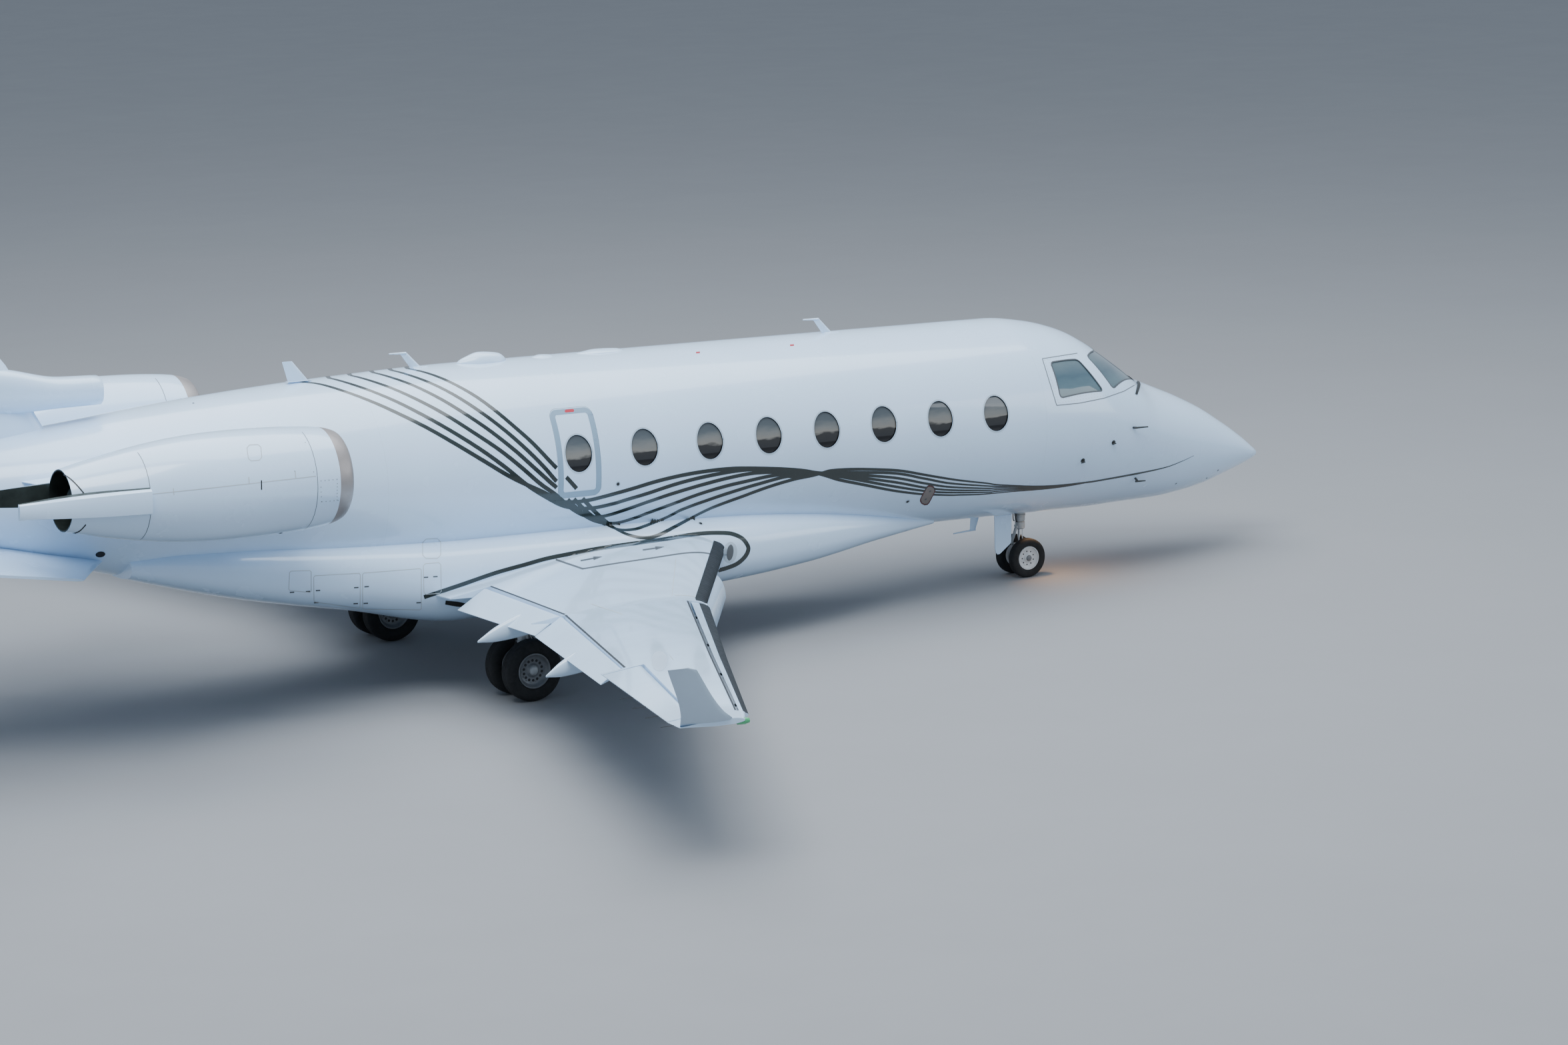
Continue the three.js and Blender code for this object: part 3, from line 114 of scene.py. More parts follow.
def noise(nodes, links, scale, detail=4, stretch=(1, 1, 1)):
    """Noise over the object's own coordinates."""
    place = nodes.new("ShaderNodeTexCoord")
    mapping = nodes.new("ShaderNodeMapping")
    texture = nodes.new("ShaderNodeTexNoise")
    put(mapping, {"Scale": stretch})
    put(texture, {"Scale": scale, "Detail": detail})
    links.new(place.outputs["Object"], mapping.inputs["Vector"])
    links.new(mapping.outputs["Vector"], texture.inputs["Vector"])
    return texture.outputs["Fac"]


def ramp(nodes, links, source, low, high):
    """Two colours spread over the middle of a noise."""
    node = nodes.new("ShaderNodeValToRGB")
    for stop, place, color in zip(node.color_ramp.elements, COLOR_SPAN, (low, high)):
        stop.position = place
        stop.color = (*color, 1)
    links.new(source, node.inputs["Fac"])
    return node.outputs["Color"]


def spread(nodes, links, source, low, high):
    """The middle of a noise spread from a low to a high value."""
    node = nodes.new("ShaderNodeMapRange")
    put(node, {"From Min": GLOSS_SPAN[0], "From Max": GLOSS_SPAN[1], "To Min": low, "To Max": high})
    links.new(source, node.inputs["Value"])
    return node.outputs["Result"]


def finish(name, color, rough, metal=0.0, vary=0.05, scale=2.0, coat=0.0, bump=0.0, bump_scale=60,
           stretch=(1, 1, 1)):
    """Solid finish with slow changes of colour and gloss and, where asked, a fine relief."""
    material, nodes, links, shader = nodes_of(name)
    low = tuple(c * (1 - vary) for c in color)
    high = tuple(min(c * (1 + vary), 1) for c in color)
    tint = ramp(nodes, links, noise(nodes, links, scale, 5, stretch), low, high)
    links.new(tint, shader.inputs["Base Color"])
    gloss = spread(nodes, links, noise(nodes, links, scale * 3.1, 3, stretch),
                   max(rough - GLOSS_VARY, 0.02), rough + GLOSS_VARY)
    links.new(gloss, shader.inputs["Roughness"])
    put(shader, {"Metallic": metal, "Coat Weight": coat, "Coat Roughness": 0.06})
    if bump:
        relief = nodes.new("ShaderNodeBump")
        put(relief, {"Strength": bump, "Distance": RELIEF_HEIGHT})
        links.new(noise(nodes, links, bump_scale, 2, stretch), relief.inputs["Height"])
        links.new(relief.outputs["Normal"], shader.inputs["Normal"])
    material.diffuse_color = (*color, 1)
    return material


WHITE = finish("white_paint", (0.58, 0.76, 0.96), 0.24, vary=0.018, scale=0.9, coat=0.6)
FLAP_WHITE = finish("flap_paint", (0.53, 0.68, 0.84), 0.34, vary=0.03, scale=1.6, coat=0.3)
WING_WHITE = finish("wing_paint", (0.53, 0.69, 0.86), 0.2, vary=0.03, scale=1.3, coat=0.7,
                    stretch=(0.5, 1, 1))
GREY = finish("grey_paint", (0.5, 0.54, 0.58), 0.4, vary=0.05)
PALE_GREY = finish("winglet_grey", (0.42, 0.53, 0.64), 0.35, vary=0.03, coat=0.3)
STRIPE = finish("stripe_green_black", (0.012, 0.02, 0.019), 0.22, vary=0.2, coat=0.6)
SEAM = finish("seam_shadow", (0.16, 0.18, 0.2), 0.7, vary=0.1)
SOFT_SEAM = finish("seam_soft", (0.42, 0.47, 0.51), 0.6, vary=0.1)
BOOT = finish("boot_grey", (0.015, 0.019, 0.023), 0.68, vary=0.12, scale=5)
put(BOOT.node_tree.nodes["Principled BSDF"], {"Specular IOR Level": 0.25})
LIP = finish("inlet_lip_metal", (0.36, 0.33, 0.32), 0.42, metal=0.6, vary=0.06, scale=7)
BARE = finish("bare_metal", (0.45, 0.45, 0.46), 0.33, metal=0.9, vary=0.08, scale=9, bump=0.1)
DARK = finish("dark_metal", (0.05, 0.055, 0.055), 0.45, metal=0.6, vary=0.15, scale=8, bump=0.1)
GEAR = finish("gear_paint", (0.42, 0.44, 0.45), 0.4, metal=0.25, vary=0.08, scale=12, bump=0.12)
CHROME = finish("oleo_chrome", (0.72, 0.72, 0.72), 0.08, metal=1.0, vary=0.02, scale=8)
# Black of lines, latches and wicks, used also as painted shade in the wing's gaps, the flap well, the wheels'
# holes and the scoop's throat
BLACK = finish("black_trim_and_painted_shade", (0.012, 0.013, 0.014), 0.5, vary=0.2, scale=12)
RUBBER = finish("tyre_rubber", (0.011, 0.012, 0.013), 0.85, vary=0.25, scale=14, bump=0.35,
                bump_scale=220)
RIM_DARK = finish("main_rim_grey", (0.19, 0.2, 0.21), 0.42, metal=0.35, vary=0.12, scale=16)
RIM_WHITE = finish("nose_rim_white", (0.66, 0.68, 0.69), 0.38, vary=0.06, scale=18, coat=0.2)
DUCT = finish("duct_grey", (0.3, 0.31, 0.32), 0.42, metal=0.3, vary=0.06, scale=6)
HOT = finish("nozzle_dark", (0.035, 0.046, 0.043), 0.5, metal=0.7, vary=0.25, scale=7)
TRIM = finish("cabin_cloth", (0.34, 0.31, 0.27), 0.85, vary=0.08, scale=20, bump=0.4, bump_scale=400)
LINING = finish("cabin_lining", (0.55, 0.53, 0.49), 0.7, vary=0.04, scale=4)
PANEL = finish("panel_black", (0.02, 0.021, 0.023), 0.55, vary=0.2, scale=10)
BAND = finish("exit_band_blue_grey", (0.22, 0.33, 0.44), 0.32, vary=0.03, coat=0.4)
RED = finish("red_mark", (0.45, 0.03, 0.05), 0.35, vary=0.08, coat=0.3)
MARK = finish("mark_dark", (0.08, 0.09, 0.1), 0.5, vary=0.1)
SMEAR = finish("wing_smear", (0.45, 0.57, 0.7), 0.4, vary=0.03, coat=0.3)


def lamp_glass(name, color, strength=0.0):
    material, nodes, links, shader = nodes_of(name)
    low = tuple(c * 0.85 for c in color)
    links.new(ramp(nodes, links, noise(nodes, links, 30), low, color), shader.inputs["Base Color"])
    put(shader, {"Roughness": 0.08, "Coat Weight": 0.8})
    if strength:
        put(shader, {"Emission Color": (*color, 1), "Emission Strength": strength})
    return material


NAV_GREEN = lamp_glass("nav_green", (0.05, 0.42, 0.16))
NAV_RED = lamp_glass("nav_red", (0.5, 0.02, 0.02))
WARM = lamp_glass("taxi_lamp_warm", (1.0, 0.62, 0.28), 6.0)


def reflection_pane_material(name, bands):
    """Pane with a painted reflection. Bands run up the pane, as pairs of height in the hull's frame and
    colour.
    """
    material, nodes, links, shader = nodes_of(name)
    place = nodes.new("ShaderNodeTexCoord")
    turn = nodes.new("ShaderNodeMapping")
    put(turn, {"Rotation": (0, -LEAN, 0)})
    parts = nodes.new("ShaderNodeSeparateXYZ")
    links.new(place.outputs["Object"], turn.inputs["Vector"])
    links.new(turn.outputs["Vector"], parts.inputs["Vector"])
    sway = spread(nodes, links, noise(nodes, links, 5, 3, (1, 1, 3)), -0.02, 0.02)
    add = nodes.new("ShaderNodeMath")
    links.new(parts.outputs["Z"], add.inputs[0])
    links.new(sway, add.inputs[1])
    low, high = bands[0][0], bands[-1][0]
    scaled = nodes.new("ShaderNodeMapRange")
    put(scaled, {"From Min": low, "From Max": high})
    links.new(add.outputs[0], scaled.inputs["Value"])
    colors = nodes.new("ShaderNodeValToRGB")
    stops = colors.color_ramp.elements
    while len(stops) < len(bands):
        stops.new(0.5)
    for stop, (height, color) in zip(stops, bands):
        stop.position = (height - low) / (high - low)
        stop.color = (*color, 1)
    links.new(scaled.outputs["Result"], colors.inputs["Fac"])
    links.new(colors.outputs["Color"], shader.inputs["Base Color"])
    put(shader, {"Roughness": 0.04, "Coat Weight": 0.5, "Coat Roughness": 0.02})
    return material


# Cabin panes: painted reflection, dark ground below a sharp horizon, a pale band above it and grey-blue sky
# at the top
PANE = reflection_pane_material("cabin_pane", [
    (2.24, (0.012, 0.012, 0.013)), (2.34, (0.02, 0.019, 0.018)), (2.362, (0.19, 0.18, 0.16)),
    (2.42, (0.15, 0.155, 0.15)), (2.50, (0.07, 0.085, 0.095)), (2.64, (0.045, 0.057, 0.068))])
# Cockpit panes: painted reflection, darkest a little above the middle and lighter at the top
SCREEN = reflection_pane_material("cockpit_pane", [
    (2.50, (0.10, 0.15, 0.17)), (2.60, (0.09, 0.15, 0.18)), (2.70, (0.06, 0.105, 0.135)),
    (2.92, (0.13, 0.18, 0.2))])

# Mesh helpers. The lifts hold lines and painted marks off the skin below them
CORNER_STEPS = 8
PIPE_RADIUS = 0.006
SECTION_POINTS = 26
FAINT_LIFT, LINE_LIFT, PAINT_LIFT, RAISED_LIFT, TOP_LIFT = 0.0011, 0.0012, 0.0016, 0.0022, 0.0026


def make(name, verts, faces, material, body="airframe", nodes=(), frame=HULL, angle=35,
         slot="white_paint", indices=None, normals=None):
    """One piece from points and faces, smooth up to an edge angle."""
    mesh = bpy.data.meshes.new(name)
    mesh.from_pydata(np.asarray(verts, float).tolist(), [], [list(map(int, f)) for f in faces])
    for item in material if isinstance(material, (list, tuple)) else [material]:
        mesh.materials.append(item)
    if indices is not None:
        mesh.polygons.foreach_set("material_index", np.asarray(indices, np.int32))
    mesh.shade_smooth()
    mesh.transform(frame)
    if normals is None:
        mesh.set_sharp_from_angle(angle=math.radians(angle))
    else:
        turned_normals = np.asarray(normals, float) @ np.array(frame.to_3x3()).T
        mesh.normals_split_custom_set(turned_normals.tolist())
    mesh.update()
    piece = bpy.data.objects.new(name, mesh)
    bpy.context.scene.collection.objects.link(piece)
    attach(piece, body)
    if nodes:
        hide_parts(*nodes)
    return piece


def join(*meshes):
    """Several (points, faces) as one."""
    points, faces, count = [], [], 0
    for verts, polys in meshes:
        verts = np.asarray(verts, float)
        points.append(verts)
        faces += [[i + count for i in poly] for poly in polys]
        count += len(verts)
    return np.vstack(points), faces


def outward(points, faces):
    """The faces turned so that the body they close has a positive volume."""
    volume = 0.0
    for face in faces:
        a = points[face[0]]
        for i in range(1, len(face) - 1):
            volume += float(np.dot(a, np.cross(points[face[i]], points[face[i + 1]])))
    return faces if volume > 0 else [face[::-1] for face in faces]


def tube(loops, caps=True, closed=False):
    """Skin through loops of points, all of one count."""
    loops = np.asarray(loops, float)
    rows, count = loops.shape[:2]
    faces = []
    for i in range(rows if closed else rows - 1):
        low, high = i * count, ((i + 1) % rows) * count
        for j in range(count):
            k = (j + 1) % count
            faces.append([low + j, low + k, high + k, high + j])
    if caps and not closed:
        faces.append(list(range(count))[::-1])
        faces.append([(rows - 1) * count + j for j in range(count)])
    points = loops.reshape(-1, 3)
    return points, outward(points, faces)


def lathe(profile, centre, axis="x", sides=64, closed=False):
    """Round skin from pairs of place along the axis and radius."""
    angles = np.linspace(0, 2 * math.pi, sides, endpoint=False)
    loops = []
    for along, radius in profile:
        c, s = radius * np.cos(angles), radius * np.sin(angles)
        a = np.full(sides, along)
        loop = {"x": (a, c, s), "y": (c, a, s), "z": (c, s, a)}[axis]
        loops.append(np.stack(loop, 1) + np.asarray(centre))
    return tube(loops, caps=not closed, closed=closed)


def rod(start, end, radius, sides=14, end_radius=None):
    """Round bar between two points with small chamfers."""
    start, end = Vector(start), Vector(end)
    along = (end - start).normalized()
    side = along.orthogonal().normalized()
    other = along.cross(side)
    last = radius if end_radius is None else end_radius
    length = (end - start).length
    ease = min(0.15 * min(radius, last), 0.2 * length)
    loops = []
    for t, r in ((0, radius - ease), (ease, radius), (length - ease, last), (length, last - ease)):
        loops.append([start + along * t + side * (r * math.cos(a)) + other * (r * math.sin(a))
                      for a in np.linspace(0, 2 * math.pi, sides, endpoint=False)])
    return tube(loops)


def block(x0, x1, y0, y1, z0, z1, ease=0.004):
    """Box with eased edges along every side."""
    low, high = np.minimum((x0, y0, z0), (x1, y1, z1)), np.maximum((x0, y0, z0), (x1, y1, z1))
    e = min(ease, 0.3 * float((high - low).min()))
    loops = []
    for z, inset in ((low[2], e), (low[2] + e, 0), (high[2] - e, 0), (high[2], e)):
        (ax, ay), (bx, by) = low[:2] + inset, high[:2] - inset
        loops.append([(ax + e, ay, z), (bx - e, ay, z), (bx, ay + e, z), (bx, by - e, z),
                      (bx - e, by, z), (ax + e, by, z), (ax, by - e, z), (ax, ay + e, z)])
    return tube(loops)


def ring(x, middle, tall, wide, power=1, count=48):
    """Loop across the x axis, a circle or, with less power, a rounded box."""
    a = np.linspace(0, 2 * math.pi, count, endpoint=False)
    s, c = np.sin(a), np.cos(a)
    return np.stack([np.full(count, x), wide * np.sign(s) * np.abs(s) ** power,
                     middle + tall * np.sign(c) * np.abs(c) ** power], 1)


def circle(x, z, radius, count, offset=0.0):
    """Even places round an axle."""
    angles = [2 * math.pi * (i + offset) / count for i in range(count)]
    return [(x + radius * math.cos(a), z + radius * math.sin(a)) for a in angles]


def rods(place, rows):
    """Bars from rows of two ends, a radius and the number of sides, with each end put in place."""
    return [rod(place(*start), place(*end), *rest) for start, end, *rest in rows]


def pipes(routes):
    """Thin lines along curves."""
    return [rod(a, b, PIPE_RADIUS, 8) for route in routes for a, b in zip(route[:-1], route[1:])]


def places_between(first, last, breaks, step):
    """Places from first to last, about a step apart, with the breaks between them."""
    return sorted({first, last, *[at for at in breaks if first < at < last],
                   *np.linspace(first, last, max(2, int((last - first) / step)))})


def smooth(rows):
    """Curve through the rows of a table with no overshoot. The first column is the place."""
    table = np.array(sorted(tuple(map(float, row)) for row in rows))
    x, y = table[:, 0], table[:, 1:]
    step = np.diff(x)[:, None]
    rise = np.diff(y, axis=0) / step
    slope = np.zeros_like(y)
    slope[0], slope[-1] = rise[0], rise[-1]
    if len(x) > 2:
        same = rise[:-1] * rise[1:] > 0
        safe = np.where(same, rise[:-1], 1.0), np.where(same, rise[1:], 1.0)
        w1, w2 = 2 * step[1:] + step[:-1], step[1:] + 2 * step[:-1]
        slope[1:-1] = np.where(same, (w1 + w2) / (w1 / safe[0] + w2 / safe[1]), 0)

    def at(place):
        place = np.atleast_1d(np.asarray(place, float))
        i = np.clip(np.searchsorted(x, place, side="right") - 1, 0, len(x) - 2)
        h = step[i]
        s = (place - x[i])[:, None] / h
        return ((1 + 2 * s) * (1 - s) ** 2 * y[i] + s * (1 - s) ** 2 * h * slope[i]
                + s * s * (3 - 2 * s) * y[i + 1] + s * s * (s - 1) * h * slope[i + 1])
    return at


def spline(points, per):
    """Even curve through points, with a number of steps from each to the next."""
    points = np.asarray(points, float)
    count = len(points)
    out = []
    for i in range(count - 1):
        p = [points[min(max(i + k, 0), count - 1)] for k in (-1, 0, 1, 2)]
        for s in np.arange(per) / per:
            out.append(0.5 * (2 * p[1] + (p[2] - p[0]) * s
                              + (2 * p[0] - 5 * p[1] + 4 * p[2] - p[3]) * s * s
                              + (3 * p[1] - p[0] - 3 * p[2] + p[3]) * s ** 3))
    return np.array([*out, points[-1]])


def within(points, outline):
    """Which points lie inside an outline, both in the plane."""
    points, outline = np.asarray(points), np.asarray(outline)
    x, y = points[:, 0][:, None], points[:, 1][:, None]
    x0, y0 = outline[:, 0], outline[:, 1]
    x1, y1 = np.roll(x0, -1), np.roll(y0, -1)
    crosses = (y0 > y) != (y1 > y)
    with np.errstate(divide="ignore", invalid="ignore"):
        at = x0 + (y - y0) / (y1 - y0) * (x1 - x0)
    return (crosses & (x < at)).sum(1) % 2 == 1


def clear_of(points, outline):
    """Distance from each point to an outline."""
    a = np.asarray(outline)
    b = np.roll(a, -1, 0)
    ab = b - a
    t = ((points[:, None] - a) * ab).sum(2) / np.maximum((ab ** 2).sum(1), 1e-12)
    near = a + np.clip(t, 0, 1)[..., None] * ab
    return np.sqrt(((points[:, None] - near) ** 2).sum(2)).min(1)


def holed_sheet(us, vs, holes, scale):
    """Triangles over a grid of u by v, left open inside each outline."""
    gap = 0.3 * min(us[1] - us[0], (vs[1] - vs[0]) * scale)
    holes = [np.asarray(hole, float) * (1, scale) for hole in holes]
    border = [(u, vs[0]) for u in us] + [(us[-1], v) for v in vs[1:]]
    border += [(u, vs[-1]) for u in us[-2::-1]] + [(us[0], v) for v in vs[-2:0:-1]]
    points = [np.array(border) * (1, scale)]
    edges = [(i, (i + 1) % len(border)) for i in range(len(border))]
    inner = np.array([(u, v * scale) for u in us[1:-1] for v in vs[1:-1]])
    for hole in holes:
        keep = ~within(inner, hole)
        near = keep & (np.abs(inner - hole.mean(0)).max(1) < np.ptp(hole, axis=0).max())
        keep[near] &= clear_of(inner[near], hole) > gap
        inner = inner[keep]
    count = len(border)
    for hole in holes:
        points.append(hole)
        edges += [(count + i, count + (i + 1) % len(hole)) for i in range(len(hole))]
        count += len(hole)
    points.append(inner)
    flat = np.vstack(points)
    verts, _, faces, _, _, _ = delaunay_2d_cdt([Vector(p) for p in flat.tolist()], edges, [], 0, 1e-7)
    verts = np.array([tuple(v) for v in verts])
    faces = np.array([f for f in faces if len(f) == 3])
    middles = verts[faces].mean(1)
    open_face = np.zeros(len(faces), bool)
    for hole in holes:
        open_face |= within(middles, hole)
    return verts / (1, scale), faces[~open_face]


def thick_skin(surface, uv, tris, thickness):
    """Closed shell under a surface: outer skin, inner skin and rims, with a normal for each corner."""
    outer, normal = surface(uv[:, 0], uv[:, 1])
    inner = outer - normal * thickness
    count = len(outer)
    a, b, c = (outer[tris[:, i]] for i in range(3))
    flip = (np.cross(b - a, c - a) * normal[tris[:, 0]]).sum(1) < 0
    tris = np.where(flip[:, None], tris[:, ::-1], tris)
    used = {}
    for tri in tris:
        for i in range(3):
            p, q = int(tri[i]), int(tri[(i + 1) % 3])
            used[(p, q)] = used.get((p, q), 0) + 1
    faces = tris.tolist() + (tris[:, ::-1] + count).tolist()
    corners = [normal[i] for tri in tris for i in tri]
    corners += [-normal[i] for tri in tris[:, ::-1] for i in tri]
    for (p, q) in used:
        if (q, p) not in used:
            faces.append([q, p, p + count, q + count])
            edge = outer[p] - outer[q]
            out = np.cross(normal[p], edge)
            out /= max(np.linalg.norm(out), 1e-12)
            corners += [-out] * 4
    return np.vstack([outer, inner]), faces, corners


def skin_indices(faces, count):
    """Materials of a thick skin: the second one inside, the first elsewhere."""
    return [0] * count + [1] * count + [0] * (len(faces) - 2 * count)


def ribbon(path, normals, widths, lift):
    """Flat strip along a path on a surface."""
    path, normals = np.asarray(path, float), np.asarray(normals, float)
    widths = np.broadcast_to(np.asarray(widths, float), (len(path),))
    ahead = np.gradient(path, axis=0)
    ahead /= np.maximum(np.linalg.norm(ahead, axis=1), 1e-9)[:, None]
    across = np.cross(normals, ahead)
    across /= np.maximum(np.linalg.norm(across, axis=1), 1e-9)[:, None]
    middle = path + normals * lift
    points = np.vstack([middle + across * widths[:, None] / 2, middle - across * widths[:, None] / 2])
    count = len(path)
    return points, [[i, i + 1, count + i + 1, count + i] for i in range(count - 1)]


# Hull sections. Columns: x, crown z, keel z, half width, z of the widest place
CABIN_RADIUS, CABIN_Z = 1.1375, 2.1875
HULL_TABLE = [
    (-8.27, 2.600, 2.390, 0.100, 2.500), (-7.2, 2.770, 2.200, 0.300, 2.480),
    (-5.8, 2.915, 1.880, 0.550, 2.420), (-4.4, 3.055, 1.520, 0.800, 2.330),
    (-3.0, 3.190, 1.200, 1.000, 2.250), (-1.3, 3.290, 1.050, 1.120, 2.190),
    (0, 3.325, 1.050, CABIN_RADIUS, CABIN_Z), (6.9, 3.320, 1.045, CABIN_RADIUS, CABIN_Z),
    (7.35, 3.266, 1.040, 1.130, 2.170), (7.75, 3.159, 1.040, 1.100, 2.130),
    (8.1, 2.978, 1.040, 1.040, 2.060), (8.45, 2.748, 1.050, 0.955, 1.970),
    (8.75, 2.533, 1.055, 0.860, 1.870), (9.05, 2.406, 1.060, 0.755, 1.770),
    (9.4, 2.264, 1.090, 0.635, 1.680), (9.75, 2.099, 1.145, 0.510, 1.610),
    (10.1, 1.891, 1.240, 0.380, 1.550), (10.4, 1.690, 1.330, 0.250, 1.500),
    (10.58, 1.550, 1.395, 0.150, 1.465), (10.69, 1.462, 1.440, 0.020, 1.450),
]
NOSE_TIP = 10.72
ROUND_FROM = 6.9


def nose_place(x):
    """Stretches the places near the nose, so that the tip comes out round."""
    x = np.asarray(x, float)
    reach = math.sqrt(NOSE_TIP - ROUND_FROM)
    far = ROUND_FROM + 4 * (reach - np.sqrt(np.maximum(NOSE_TIP - np.maximum(x, ROUND_FROM), 0)))
    return np.where(x < ROUND_FROM, x, far)


hull_curve = smooth([(float(nose_place(row[0])), *row[1:]) for row in HULL_TABLE])


def hull_point(x, a, grow=0.0):
    x, a = np.broadcast_arrays(np.asarray(x, float), np.asarray(a, float))
    crown, keel, half, middle = hull_curve(nose_place(x.ravel())).T
    c, s = np.cos(a.ravel()), np.sin(a.ravel())
    rise = np.where(c > 0, crown - middle, middle - keel) + grow
    return np.stack([x.ravel(), (half + grow) * s, middle + rise * c], 1)


def hull_surface(x, a):
    """Points and outward normals. The angle runs from the crown, positive to the left."""
    e = 1e-4
    x, a = np.asarray(x, float), np.asarray(a, float)
    along = hull_point(x + e, a) - hull_point(x - e, a)
    round_ = hull_point(x, a + e) - hull_point(x, a - e)
    normal = np.cross(along, round_)
    normal /= np.maximum(np.linalg.norm(normal, axis=1), 1e-12)[:, None]
    return hull_point(x, a), normal


def hull_angle(x, y, z):
    """Angle of the hull's surface at a height, on the side of y."""
    crown, keel, half, middle = hull_curve(nose_place(x))[0]
    rise = (z - middle) / ((crown - middle) if z > middle else (middle - keel))
    return math.copysign(math.acos(max(-1, min(1, rise))), y)


def side_outline(outline, side):
    """An outline of x and z, seen from the side, in hull coordinates."""
    return [(x, hull_angle(x, side, z)) for x, z in outline]


def rounded(x, z, width, height, radius):
    """Rectangle with rounded corners."""
    out = []
    for sx, sz, start in ((1, 1, 0), (-1, 1, 90), (-1, -1, 180), (1, -1, 270)):
        for step in range(CORNER_STEPS + 1):
            angle = math.radians(start + 90 * step / CORNER_STEPS)
            out.append((x + sx * (width / 2 - radius) + radius * math.cos(angle),
                        z + sz * (height / 2 - radius) + radius * math.sin(angle)))
    return out


def oval(x, z, width, height, sides):
    return [(x + width / 2 * math.cos(a), z + height / 2 * math.sin(a))
            for a in np.linspace(0, 2 * math.pi, sides, endpoint=False)]


def fill_outline(outline, step, holes):
    """Triangles inside one outline of the plane, open in its holes, with a grid of points within."""
    loops = [np.asarray(loop, float) for loop in (outline, *holes)]
    low, high = loops[0].min(0), loops[0].max(0)
    grid = np.array([(u, v) for u in np.arange(low[0], high[0], step)
                     for v in np.arange(low[1], high[1], step)])
    grid = grid[within(grid, loops[0])]
    for number, loop in enumerate(loops):
        if number and len(grid):
            grid = grid[~within(grid, loop)]
        if len(grid):
            grid = grid[clear_of(grid, loop) > 0.35 * step]
    edges, count = [], 0
    for loop in loops:
        edges += [(count + i, count + (i + 1) % len(loop)) for i in range(len(loop))]
        count += len(loop)
    flat = np.vstack([*loops, grid]) if len(grid) else np.vstack(loops)
    verts, _, faces, _, _, _ = delaunay_2d_cdt([Vector(p) for p in flat.tolist()], edges, [], 1, 1e-7)
    verts, faces = np.array([tuple(v) for v in verts]), np.array([f for f in faces if len(f) == 3])
    for loop in loops[1:]:
        faces = faces[~within(verts[faces].mean(1), loop)]
    return verts, faces


WINDOW_Z, WINDOW_WIDTH, WINDOW_HEIGHT = 2.44, 0.32, 0.39
WINDOW_X = (1.766, 2.576, 3.316, 4.056, 4.796, 5.536)
FRONT_WINDOW_X = 6.276
EXIT_X, EXIT_WIDTH, EXIT_HEIGHT = 0.96, 0.52, 0.93
DOOR_X, DOOR_Z, DOOR_WIDTH, DOOR_HEIGHT = 6.305, 2.185, 0.77, 1.65
EXIT_CORNER, DOOR_CORNER, PANE_CORNER = 0.09, 0.08, 0.05
RUNNING_GAP = 0.007
SEAT_GAP = 0.0004
OUTLINE_STEP, PANE_STEP = 0.05, 0.04
METRES_PER_TURN = 1.1
WALL = 0.065
CABIN_FROM, CABIN_TO, COCKPIT_TO = -1.3, 6.95, 9.45
TURN = np.linspace(-math.pi, math.pi, 113)
FROM_CROWN = TURN + math.pi

# Cockpit panes, seen on the right side. Columns: x, y outwards, z
SIDE_PANE = [(7.167, 0.845, 2.917), (7.59, 0.77, 2.908), (7.811, 0.982, 2.556), (7.163, 1.071, 2.54)]
FRONT_PANE = [(7.772, 0.694, 2.916), (8.068, 0.408, 2.921), (8.130, 0.03, 2.95),
              (8.730, 0.03, 2.545), (8.621, 0.438, 2.535), (7.989, 0.918, 2.557)]


def pane_outline(corners, side):
    """Rounded outline through pane corners, in hull coordinates."""
    flat = []
    for x, y, z in corners:
        crown, keel, half, middle = hull_curve(nose_place(x))[0]
        rise = (crown - middle) if z > middle else (middle - keel)
        flat.append((x, math.atan2(y / half, (z - middle) / rise)))
    flat = np.array(flat)
    out = []
    for p, before, after in zip(flat, np.roll(flat, 1, 0), np.roll(flat, -1, 0)):
        a, b = (p + way * min(PANE_CORNER / np.linalg.norm(way), 0.4) for way in (before - p, after - p))
        out += [(1 - t) ** 2 * a + 2 * t * (1 - t) * p + t * t * b for t in np.linspace(0, 1, 7)]
    return [(u, v * side) for u, v in out]


def dense(outline, longest):
    """The outline with long edges split."""
    out = []
    outline = np.asarray(outline, float)
    for a, b in zip(outline, np.roll(outline, -1, 0)):
        parts = max(1, math.ceil(float(np.linalg.norm(b - a)) / longest))
        out += [a + (b - a) * t / parts for t in range(parts)]
    return out


def hull_shell(name, xs, turn, holes, nodes):
    uv, tris = holed_sheet(xs, turn, holes, METRES_PER_TURN)
    verts, faces, corners = thick_skin(hull_surface, uv, tris, WALL)
    return make(name, verts, faces, [WHITE, LINING], nodes=nodes, normals=corners,
                indices=skin_indices(faces, len(tris)))


def hull_line(points, width, lift):
    """Strip along hull coordinates."""
    points = np.asarray(points, float)
    path, normal = hull_surface(points[:, 0], points[:, 1])
    return ribbon(path, normal, width, lift)


def hull_frame(outline, width, lift=LINE_LIFT):
    """Strip round a closed outline in hull coordinates."""
    loop = dense(list(outline), PANE_STEP)
    return hull_line(loop + loop[:2], width, lift)


def mirrored(outline, side):
    """The outline on one side, with right-hand angles past the keel."""
    return [(x, a if side > 0 else 2 * math.pi + a) for x, a in outline]


def window_outline(x, side, grow=0.0, sides=40):
    return side_outline(oval(x, WINDOW_Z, WINDOW_WIDTH + grow, WINDOW_HEIGHT + grow, sides), side)


def opening(x, z, width, height, radius, grow, side):
    """Rounded opening in the hull's side, grown all round."""
    flat = rounded(x, z, width + 2 * grow, height + 2 * grow, radius + grow)
    return side_outline(dense(flat, OUTLINE_STEP), side)


def exit_outline(grow):
    return opening(EXIT_X, WINDOW_Z, EXIT_WIDTH, EXIT_HEIGHT, EXIT_CORNER, grow, -1)


def door_outline(grow):
    return opening(DOOR_X, DOOR_Z, DOOR_WIDTH, DOOR_HEIGHT, DOOR_CORNER, grow, 1)


